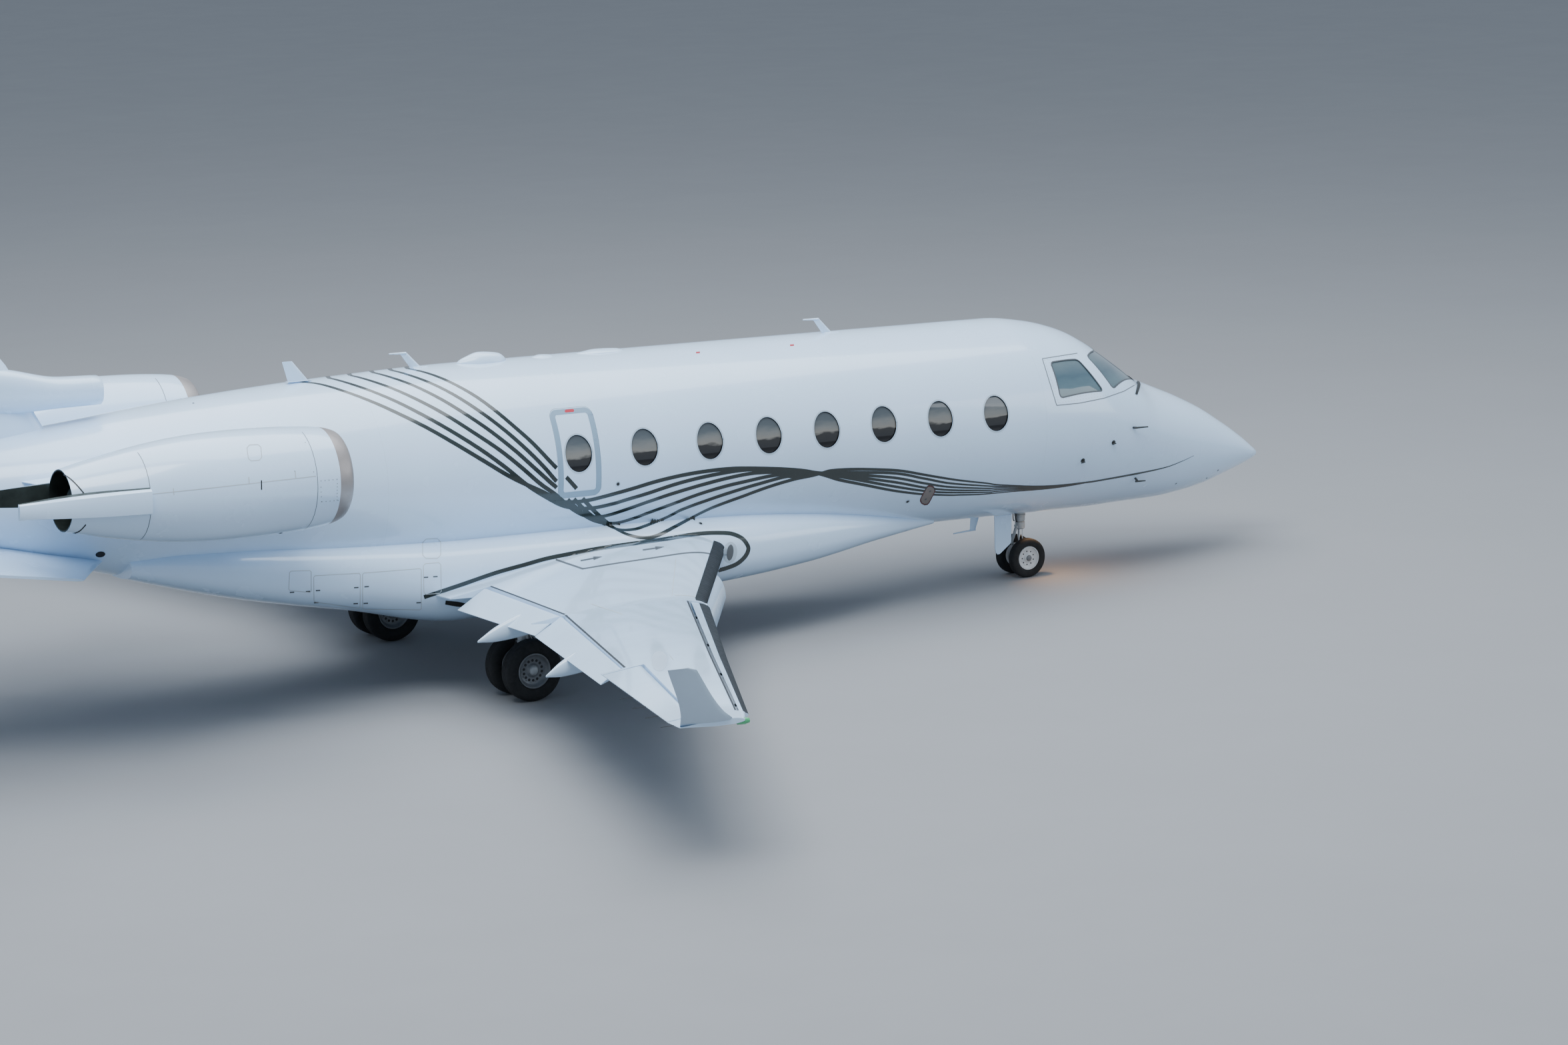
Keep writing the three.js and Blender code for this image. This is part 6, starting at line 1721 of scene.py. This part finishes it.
def laid(rows, widths, tree, lift, parts=4):
    """Band along a path, laid on a surface over its whole width."""
    points, normals = rows[:, :3], rows[:, 3:6]
    across = np.cross(normals, np.gradient(points, axis=0))
    across /= np.maximum(np.linalg.norm(across, axis=1), 1e-9)[:, None]
    widths = np.broadcast_to(np.asarray(widths, float), (len(rows),))
    verts = []
    for share in np.linspace(0.5, -0.5, parts + 1):
        for point, way in zip(points + across * (share * widths)[:, None], normals):
            near, normal, _, _ = tree.ray_cast(Vector(point + way * 0.05), Vector(-way), 0.1)
            if near is None:
                near, normal, _, _ = tree.find_nearest(Vector(point))
            verts.append(np.array(near) + np.array(normal) * lift)
    count = len(rows)
    faces = [[k * count + i, (k + 1) * count + i, (k + 1) * count + i + 1, k * count + i + 1]
             for k in range(parts) for i in range(count - 1)]
    return np.array(verts), faces


def painted(pixels, widths, tree, lift=PAINT_LIFT, per=6, parts=4):
    """Band cast along a curve, with widths in pixels along it."""
    path = spline(pixels, per) if len(pixels) > 2 else np.linspace(*np.array(pixels, float), 2 * per + 1)
    along = np.gradient(path, axis=0)
    along /= np.linalg.norm(along, axis=1)[:, None]
    across = np.stack([-along[:, 1], along[:, 0]], 1)
    span = np.linspace(0, 1, len(path))
    widths = np.interp(span, np.linspace(0, 1, np.size(widths)), np.atleast_1d(widths))
    verts, faces, number = [], [], {}
    for k, share in enumerate(np.linspace(-0.5, 0.5, parts + 1)):
        for i, (u, v) in enumerate(path + across * (share * widths)[:, None]):
            hit = cast(u, v, tree)
            if hit is not None:
                number[k, i] = len(verts)
                verts.append(hit[0] + hit[1] * lift)
    for k in range(parts):
        for i in range(len(path) - 1):
            corners = [number.get(key) for key in ((k, i), (k + 1, i), (k + 1, i + 1), (k, i + 1))]
            if None not in corners:
                size = np.ptp([verts[c] for c in corners], axis=0)
                if size.max() < 0.25:
                    faces.append(corners)
    return np.array(verts), faces


def dots(places, radius, tree, lift=PAINT_LIFT, sides=10):
    """Round marks of a radius in metres at pixels of the photograph."""
    turns = np.linspace(0, 2 * math.pi, sides, endpoint=False)
    parts = []
    for u, v in places:
        hit = cast(u, v, tree)
        if hit is None:
            continue
        point, normal = hit
        first = np.cross(normal, (0, 0, 1))
        first /= np.linalg.norm(first)
        second = np.cross(normal, first)
        edge = [point + normal * lift + radius * (first * math.cos(t) + second * math.sin(t)) for t in turns]
        parts.append((np.array(edge), [list(range(sides))]))
    return join(*parts)


def traced(corners, width, tree, rounding):
    """Thin line round a polygon of pixels with eased corners, its width in pixels."""
    corners = np.array(corners, float)
    bends = []
    for before, corner, after in zip(np.roll(corners, 1, 0), corners, np.roll(corners, -1, 0)):
        for way in (before - corner, after - corner):
            bends.append(corner + way / np.linalg.norm(way) * rounding)
    bends.append(bends[0])
    path = [np.linspace(a, b, max(int(np.linalg.norm(b - a) / 3), 2), endpoint=False)
            for a, b in zip(bends[:-1], bends[1:])]
    path = np.vstack([*path, bends[:1]])
    return join(*[painted([a, b], width, tree, per=1, parts=1) for a, b in zip(path[:-1], path[1:])])


def other_side(mesh):
    return mesh[0] * (1, -1, 1), [face[::-1] for face in mesh[1]]


def both(*meshes):
    return join(*meshes, *[other_side(mesh) for mesh in meshes])


# Six stripes from the crown to the nose, as pixels of the photograph
STRIPES = [
    [(446, 572.7), (480, 576.4), (520.4, 588.5), (560.5, 603.8), (600.7, 622), (640.9, 642.1),
     (681, 664.8), (721.3, 688.9), (761.4, 713), (788.2, 726.4), (815, 738.5), (840.4, 751.8),
     (860.8, 753.1), (883.8, 750.3), (909.3, 744.2), (947.6, 733.5), (985.8, 722), (1024, 713),
     (1062, 706.7), (1100.6, 703), (1143.8, 702.8), (1182, 704.1), (1212.7, 707.1), (1238.2, 713.5),
     (1258.6, 719.9), (1296.8, 727.6), (1335, 735.2), (1360.6, 739), (1386, 741.6), (1424.4, 742.9),
     (1440, 742.5), (1466.8, 742), (1493.6, 739.8), (1520.4, 737.4), (1547, 735.5), (1574, 733.1),
     (1600.7, 729.6), (1627.5, 724.8)],
    [(478.8, 565.2), (504.3, 569.7), (547, 583.1), (590, 600.5), (632.9, 622), (675.7, 646.1),
     (718.6, 672.9), (756, 699.6), (790.9, 727.8), (820, 746.2), (845.5, 759), (871, 762.8), (894, 761.5),
     (922, 755.2), (934.8, 751.3), (973, 739.8), (1011.3, 727.1), (1049.6, 716.9), (1087.9, 709.2),
     (1118.3, 705.1), (1156.5, 703.8), (1194.8, 705.1), (1222.9, 709.2), (1258.6, 714.8), (1335, 728.8),
     (1386, 736.5), (1424.4, 739), (1480, 738.5)],
    [(511.8, 560.9), (541.8, 567.1), (584.6, 581.3), (627.5, 600.5), (667.7, 622), (707.9, 647.4),
     (748, 674.2), (780.2, 699.6), (809.6, 725.1), (833.8, 742.5), (855.7, 761.5), (876, 773),
     (896.5, 775.6), (916.9, 771.7), (947.6, 761.5), (973, 752.6), (1011.3, 739.8), (1049.6, 728.4),
     (1087.9, 718.2), (1126, 710.5), (1156.5, 708.4), (1194.8, 706.6), (1233, 710), (1335, 722.4),
     (1386, 731.4), (1424.4, 735.2), (1480, 735.7)],
    [(547, 556.9), (573.9, 562.5), (616.8, 577), (659.6, 597.9), (697, 620.6), (734.6, 646.1),
     (772, 675.5), (798.9, 699.6), (825.7, 723.8), (835, 731.8), (858.3, 756.4), (878.7, 774.3),
     (899, 783.2), (922, 785), (947.6, 778.6), (973, 769.2), (1011.3, 755.2), (1049.6, 741.1),
     (1087.9, 729.6), (1118.3, 722.4), (1156.5, 714), (1194.8, 709.7), (1233, 709.7), (1335, 716.1),
     (1386, 725), (1424.4, 730.6), (1480, 732.7)],
    [(577.9, 553.7), (606, 560.4), (643.6, 573.8), (681, 592.5), (718.6, 616.6), (756, 644.7),
     (788.2, 672.9), (815, 699.6), (833.8, 721.1), (849.3, 736), (865.9, 753.9), (886.3, 773),
     (911.8, 788.3), (929.7, 794.7), (947.6, 794.7), (962.9, 790.9), (998.6, 776.8), (1024, 764.1),
     (1062.3, 750.1), (1100.6, 737.3), (1138.9, 725.8), (1177, 715.6), (1194.8, 714.8), (1233, 710),
     (1335, 709.7), (1386, 717.9), (1424.4, 725), (1480, 729.1)],
    [(606, 551.8), (638.2, 559), (670.4, 571.1), (707.9, 591.2), (740, 613.9), (772, 640.7),
     (798.9, 664.8), (825.7, 692.9), (835, 702.3), (846.8, 713.1), (867.2, 736), (874.8, 748.8),
     (896.5, 771.7), (919.5, 790.9), (942.4, 802.3), (965.4, 806.9), (985.8, 803.6), (1011.3, 790.9),
     (1049.6, 770.5), (1075, 759), (1113.4, 744.9), (1151.6, 730.9), (1189.9, 719.4), (1218, 713.6),
     (1233, 709.7), (1248.4, 705.9), (1284, 704.1), (1335, 705.1), (1360.6, 707.7), (1386, 712.2),
     (1424.4, 718.6), (1450, 721.9), (1480, 725), (1493.6, 727), (1520.4, 728.3), (1547, 729.1),
     (1574, 728.6), (1600.7, 726.4), (1627.5, 723.2)],
]
NOSE_LINE = [(1627.5, 723.9), (1646.3, 721.3), (1707.9, 710.1), (1748, 701.3), (1772, 692.4), (1790.9, 683.6)]
# Ahead of these the four middle stripes run evenly between the outer two
SHARED_U = (1493.6, 1520.4, 1547, 1574, 1600.7, 1627.5)
first, last = (dict((round(u, 1), v) for u, v in STRIPES[k]) for k in (0, 5))
for i in (1, 2, 3, 4):
    STRIPES[i] += [(u, first[u] + (last[u] - first[u]) * i / 5) for u in SHARED_U]
# Widths in metres by the photograph's pixel column
STRIPE_WIDTH = ((440, 0.048), (760, 0.047), (1100, 0.044), (1300, 0.036), (1400, 0.03), (1450, 0.025),
                (1520, 0.017), (1627.5, 0.012))
NOSE_LINE_WIDTH = ((1627.5, 0.03), (1700, 0.03), (1760, 0.012), (1791, 0.003))


def runs(rows, keep):
    """Stretches of a path over which a test holds."""
    edges = np.flatnonzero(np.diff(np.concatenate([[0], keep.astype(int), [0]])))
    return [rows[a:b] for a, b in zip(edges[::2], edges[1::2]) if b - a > 1]


exit_clear, exit_inside = np.array(exit_outline(0.014)), np.array(exit_outline(-0.086))
door_inside, door_clear = np.array(door_outline(-0.001)), np.array(door_outline(RUNNING_GAP + 0.001))
stripe_fixed, stripe_door = [], []
for number, pixels in enumerate([*STRIPES, NOSE_LINE]):
    rows = cast_path(pixels, body_tree, 14)
    flat = hull_coordinates(rows[:, :3])
    columns, across = zip(*(STRIPE_WIDTH if number < 6 else NOSE_LINE_WIDTH))
    rows = np.column_stack([rows, np.interp(rows[:, 6], columns, across)])
    keep = ~within(flat, exit_clear)
    if number in (4, 5):
        keep |= within(flat, exit_inside)
    lift = 0.0013 + 0.00008 * number
    mirror = flat * (1, -1)
    stripe_fixed += [laid(run, run[:, 7], body_tree, lift) for run in runs(rows, keep)]
    for held, test in ((stripe_fixed, ~within(mirror, door_clear)),
                       (stripe_door, within(mirror, door_inside))):
        held.extend([other_side(laid(run, run[:, 7], body_tree, lift)) for run in runs(rows, test)])
make("pinstripes", *join(*stripe_fixed), STRIPE)
make("pinstripes_door", *join(*stripe_door), STRIPE, body="entry_door")
make("exit_band", *hull_frame(exit_outline(-0.033), 0.062, PAINT_LIFT), BAND)


def marks(name, parts, material):
    """One piece from painted marks and their mirror image."""
    return make(name, *both(*[part for part in parts if part[1]]), material)


def ticks(ends, width, tree):
    """Short straight marks between pairs of pixels."""
    return [painted(pair, width, tree, per=2, parts=1) for pair in ends]


def shares(start, end, count):
    """Pixels from start to end in even steps."""
    return [(start[0] + (end[0] - start[0]) * k / count, start[1] + (end[1] - start[1]) * k / count)
            for k in range(count + 1)]


# Marks on the right wing, as pixels of the photograph
ROUND_ENDS = np.sqrt(1 - np.linspace(-0.98, 0.98, 13) ** 6)
OVAL = np.sqrt(1 - np.linspace(-0.99, 0.99, 13) ** 2)
ROOT_LINE = [(636, 896), (690, 878), (742.7, 859.8), (788.2, 847), (820, 838.1), (858.3, 830.4),
             (896.5, 823.3), (947.6, 815.9), (998.6, 808.7), (1036.8, 802.3), (1062.3, 799.8),
             (1087.9, 799.8), (1100.6, 801.8), (1113.4, 808), (1121, 817.7), (1122.3, 825.3),
             (1117.2, 835.5), (1105.7, 845.7), (1090.4, 852.1), (1075, 856.4)]
WALKWAY = [(873.6, 853.6), (922, 845.7), (973, 838.1), (1024, 830.4), (1049.6, 829.1), (1064.9, 830.9)]
WALKWAY_START = [(833.5, 839.6), (875, 853.8)]
ARROWS = (([(871, 841.4), (893, 837.3)], 2.2), ([(890, 837.9), (903, 835.4)], (5.6, 0.4)),
          ([(964.1, 825.3), (986, 822.2)], 2.2), ([(983, 822.7), (996, 820.6)], (5.6, 0.4)))
WING_SMUDGE = [(977, 992), (1001, 992)]
WING_SEAMS = ([(1012, 893), (1035, 894), (1052, 899)], [(886, 906), (960, 935), (1010, 990)],
              [(950, 1001), (975, 1022)], [(1014, 838), (1008, 894)])
LIGHT_RIM = [(1096.8, 813), (1093.2, 845)]
LIGHT_PANE = [(1096.5, 817), (1093.5, 841)]
FLAP_SHADOW = [(668, 904), (686, 906.5), (704, 909)]
HAIRLINE = 0.9
marks("wing_root_outline", [painted(ROOT_LINE, 6.2, whole_tree, per=10)], STRIPE)
marks("walkway_lines", [
    painted(WALKWAY, 2.0, whole_tree), painted(WALKWAY_START, 2.6, whole_tree),
    *[painted(part, width, whole_tree) for part, width in ARROWS]], MARK)
marks("wing_smudge", [painted(WING_SMUDGE, 30 * OVAL, whole_tree, FAINT_LIFT)], SMEAR)
marks("wing_seams", [painted(path, HAIRLINE, whole_tree, FAINT_LIFT) for path in WING_SEAMS], SOFT_SEAM)

# Small marks of the hull and fairing, as pixels. Hatches with the rounding of their corners
HATCHES = (
    ([(634, 809), (661, 808), (661, 838), (634, 838)], 5),
    ([(635, 846), (661, 844), (662, 890), (636, 892)], 3),
    ([(434.6, 857), (466.8, 856), (466.8, 889), (433, 886)], 2),
    ([(470.6, 864), (540.4, 860), (540, 913), (471, 903)], 2),
    ([(543.8, 860), (632, 853), (632, 915), (544, 914)], 2))
TICKS = [(438, 888.5), (462, 887.2), (477, 885.8), (534.4, 881.4), (550, 880), (474.3, 904), (533.5, 905.4),
         (548.7, 905), (628, 904), (639, 866), (653, 865)]
CROWN_MARKS = [(1047, 529), (1188, 518)]
EXIT_HANDLE = [(847, 617.3), (861, 615.9)]
PORTS = [(927, 726.3), (1051, 785.5), (1361.4, 752.6)]
SMALL_PORTS = [(1764, 725.5), (1810, 717.5), (1827, 705.5), (290, 605)]
TAIL_PORT = [(150.6, 831.8)]
PLATE_EDGE = [(1398.8, 729), (1384.2, 757)]
PLATE = [(1398, 731), (1385, 755)]
PLATE_DOTS = [(1395, 737), (1388.5, 749)]
PROBES = ((1700, 641.6, 0.16), (1703, 717.5, 0.11))
FRAME_LINE = [(1563.4, 538.2), (1585, 608.3), (1620, 604.8), (1656, 597.5), (1686, 587), (1710, 573)]
FRAME_TOP = [(1563.4, 538.2), (1616, 530)]
FASTENER_ROWS = (((1567, 541), (1588, 604)), ((1573, 540), (1592, 598)), ((1590, 604), (1655, 594)),
                 ((1595, 598), (1650, 590)), ((1658, 593), (1706, 573)), ((1567, 540), (1617, 532.5)))
FASTENER_STEP = 4.2
WIPER = [(1705, 573), (1708, 577), (1704, 592)]
PLATE_RED = finish("plate_edge_red", (0.1, 0.035, 0.035), 0.5, vary=0.1)
PLATE_TAUPE = finish("plate_taupe", (0.2, 0.175, 0.165), 0.5, vary=0.1)
marks("fairing_seams", [traced(corners, HAIRLINE, body_tree, ease) for corners, ease in HATCHES], SOFT_SEAM)
marks("latch_marks", ticks([[(u - 3.4, v + 0.4), (u + 3.4, v)] for u, v in TICKS], 1.9, body_tree), MARK)
marks("crown_marks", ticks([[(u - 3, v + 0.3), (u + 3, v - 0.3)] for u, v in CROWN_MARKS], 2.4, body_tree),
      RED)
marks("exit_handle", [painted(EXIT_HANDLE, 5.4 * ROUND_ENDS, body_tree, RAISED_LIFT)], RED)
marks("port_rings", [dots(PORTS, 0.03, body_tree)], PALE_GREY)
marks("ports", [dots(PORTS, 0.019, body_tree, RAISED_LIFT), dots(SMALL_PORTS, 0.012, body_tree),
                dots(TAIL_PORT, 0.05, body_tree, sides=24)], BLACK)
marks("sensor_plate_edge", [painted(PLATE_EDGE, 15.5 * ROUND_ENDS, body_tree, 0.0014)], PLATE_RED)
marks("sensor_plate", [painted(PLATE, 12.5 * ROUND_ENDS, body_tree, 0.002)], PLATE_TAUPE)
marks("sensor_plate_dots", [dots(PLATE_DOTS, 0.014, body_tree, TOP_LIFT)], MARK)
marks("landing_light_rim", [painted(LIGHT_RIM, 21 * OVAL, whole_tree, 0.0018)], PALE_GREY)
marks("landing_light_pane", [painted(LIGHT_PANE, 10 * OVAL, whole_tree, TOP_LIFT)], MARK)
marks("flap_well_shadow", [painted(FLAP_SHADOW, (6, 7.5, 5), whole_tree)], BLACK)
probes = []
for u, v, reach in PROBES:
    point, normal = cast(u, v, body_tree)
    top = point + normal * 0.05
    probes.append(rod(point - normal * 0.012, top, 0.013))
    probes.append(rod(top - (0.03, 0, 0), top + (reach, 0, -0.003), 0.012, 14, 0.007))
marks("pitot_probes", probes, DARK)
frame_edges = [*zip(FRAME_LINE[:-1], FRAME_LINE[1:]), FRAME_TOP]
marks("cockpit_frame_edge", [painted(pair, 1.3, body_tree, per=4, parts=1) for pair in frame_edges], SEAM)
fasteners = []
for start, end in FASTENER_ROWS:
    fasteners += shares(start, end, int(math.dist(start, end) / FASTENER_STEP))
marks("cockpit_frame_fasteners", [dots(fasteners, 0.0045, body_tree, sides=6)], SOFT_SEAM)
marks("wiper", [painted(WIPER, (2.5, 5, 3.5), body_tree, 0.006)], DARK)

# Nacelle rings and marks, as pixels but for the rings. Rivet rows: first pixel, step and count
COWL_JOINTS = (-2.705, -4.494)
RING_SPANS = ((-1.2, 1.25), (1.85, 4.4))
COWL_SEAM = [(227, 741.5), (300, 734), (390, 724), (474, 714.5)]
COWL_HATCH = [(370, 668), (391, 667), (393, 690), (373, 692)]
COWL_TICKS = ((260, 732.6), (373, 715.8), (442.7, 707.1))
COWL_LATCH = [(392.2, 720.6), (392.4, 735)]
COWL_DRAIN = [(413, 804), (426, 801)]
RIVET_ROWS = ((481.5, 721.6, 6, -0.6, 5), (483, 752.8, 6, -0.5, 5), (481.4, 731, 0.3, 7.2, 4),
              (506, 725.6, -0.1, 4.9, 6))
LONE_RIVETS = [(458, 664), (470.6, 708), (442, 707)]
FISHMOUTH_TOP = [(95.5, 712), (106, 719), (118, 731), (130, 745.5)]
FISHMOUTH_FOOT = [(106, 802), (119, 797), (129, 787)]
cowl_rings = []
for x in COWL_JOINTS:
    for span in RING_SPANS:
        turn = np.linspace(*span, 60)
        out = np.stack([np.zeros(60), -np.cos(turn), np.sin(turn)], 1)
        places = np.array((x, -NACELLE_Y, NACELLE_Z)) + out * cowl_radius(x)
        cowl_rings.append(laid(np.hstack([places, out]), 0.007, nacelle_tree, LINE_LIFT, 1))
marks("cowl_rings", cowl_rings, SEAM)
marks("cowl_seams", [
    painted(COWL_SEAM, 1.1, nacelle_tree, per=8, parts=1), traced(COWL_HATCH, 1.0, nacelle_tree, 4),
    *ticks([[(u, v), (u + 1, v + 10)] for u, v in COWL_TICKS], 1.2, nacelle_tree)], SOFT_SEAM)
marks("cowl_latch", [*ticks([COWL_LATCH], 1.8, nacelle_tree),
                     painted(COWL_DRAIN, 6 * OVAL, nacelle_tree, per=4)], BLACK)
rivets = [(u + du * k, v + dv * k) for u, v, du, dv, count in RIVET_ROWS for k in range(count)]
marks("cowl_rivets", [dots(rivets + LONE_RIVETS, 0.0055, nacelle_tree, sides=6)], SEAM)
marks("fishmouth_lines", [painted(FISHMOUTH_TOP, 2.2, nacelle_tree),
                          painted(FISHMOUTH_FOOT, 1.8, nacelle_tree)], BLACK)


# Painted shade of the gaps before the flaps and behind the slats, as black strips laid on the fixed wing
def span_line(side, y0, y1, x_at, width):
    rows = []
    for y in np.linspace(y0, y1, 26):
        middle = x_at(y)
        rows += [(x, y * side, wing_levels(y, x)[0] + 0.0014)
                 for x in (middle + width / 2, middle - width / 2)]
    faces = [[2 * i, 2 * i + 1, 2 * i + 3, 2 * i + 2] for i in range(25)]
    return np.array(rows), faces if side > 0 else [face[::-1] for face in faces]


def flap_line(side, ends):
    front = bay_front(flap_stations(side, ends), FLAP_GAP)
    return span_line(side, ends[0][0], ends[1][0], lambda y: front(y) + 0.001 + FLAP_LINE / 2, FLAP_LINE)


def wick(side, y):
    foot = on_wing(side, y, wing_row(y)[1] + 0.012)
    return rod(foot, foot + (-0.15, 0, -0.004), 0.0028, 6)


FLAP_LINE, SLAT_LINE = 0.024, 0.02
WICKS = (7.15, 7.6, 8.05)
TIP_WICK = 8.5
TIP_LIGHT = [(-1.4, 0.001), (-1.4, 0.03), (-1.33, 0.034), (-1.28, 0.024), (-1.262, 0.001)]
for label, side in SIDES:
    lines = [flap_line(side, ends) for ends in FLAPS.values()]
    lines.append(span_line(side, SLAT[0] + 0.01, SLAT[1] - 0.01, lambda y: chord_x(y, SLAT_SHARE) - 0.014,
                           SLAT_LINE))
    # Black strips of painted shade along the wing's gaps
    make("wing_gap_lines_" + label, *join(*lines), BLACK)
    make("position_light_" + label, *lathe(TIP_LIGHT, (0, side * 8.6, 1.335)),
         NAV_RED if side > 0 else NAV_GREEN, slot="window_glass")
    make("aileron_wicks_" + label, *join(*[wick(side, y) for y in WICKS]), BLACK, body="aileron_" + label,
         slot="dark_metal")
    make("tip_wick_" + label, *wick(side, TIP_WICK), BLACK, slot="dark_metal")

# Floor, light and air round the aircraft
FLOOR = finish("floor_pale", (0.262, 0.268, 0.28), 0.85, vary=0.01, scale=0.4)
FLOOR_HALF = 220
floor_mesh = bpy.data.meshes.new("floor")
floor_mesh.from_pydata([(x * FLOOR_HALF, y * FLOOR_HALF, 0) for x, y in ((-1, -1), (1, -1), (1, 1), (-1, 1))],
                       [], [(0, 1, 2, 3)])
floor_mesh.materials.append(FLOOR)
floor = bpy.data.objects.new("floor", floor_mesh)
bpy.context.scene.collection.objects.link(floor)


def lamp(name, place, target, power, size, color):
    data = bpy.data.lights.new(name, "AREA")
    data.energy = power
    data.shape = "RECTANGLE"
    data.size, data.size_y = size
    data.color = color
    item = bpy.data.objects.new(name, data)
    way = (Vector(target) - Vector(place)).normalized()
    item.matrix_world = Matrix.Translation(place) @ way.to_track_quat("-Z", "Y").to_matrix().to_4x4()
    bpy.context.scene.collection.objects.link(item)


lamp("key", (-10, -14, 30), (0, 0, 1.5), 11000, (24, 16), (0.93, 0.97, 1.0))
lamp("top", (4, 4, 26), (0, 0, 1), 9000, (30, 22), (0.88, 0.94, 1))
lamp("fill", (28, -20, 11), (2, 0, 1.5), 1500, (16, 12), (0.9, 0.95, 1))
lamp("taxi_glow", (6.15, -0.15, 0.72), (7.4, -0.9, 0), 9, (0.1, 0.1), (1, 0.55, 0.25))
world = bpy.data.worlds.new("air")
world.use_nodes = True
put(world.node_tree.nodes["Background"], {"Color": (0.72, 0.84, 1.0, 1), "Strength": 0.64})
bpy.context.scene.world = world
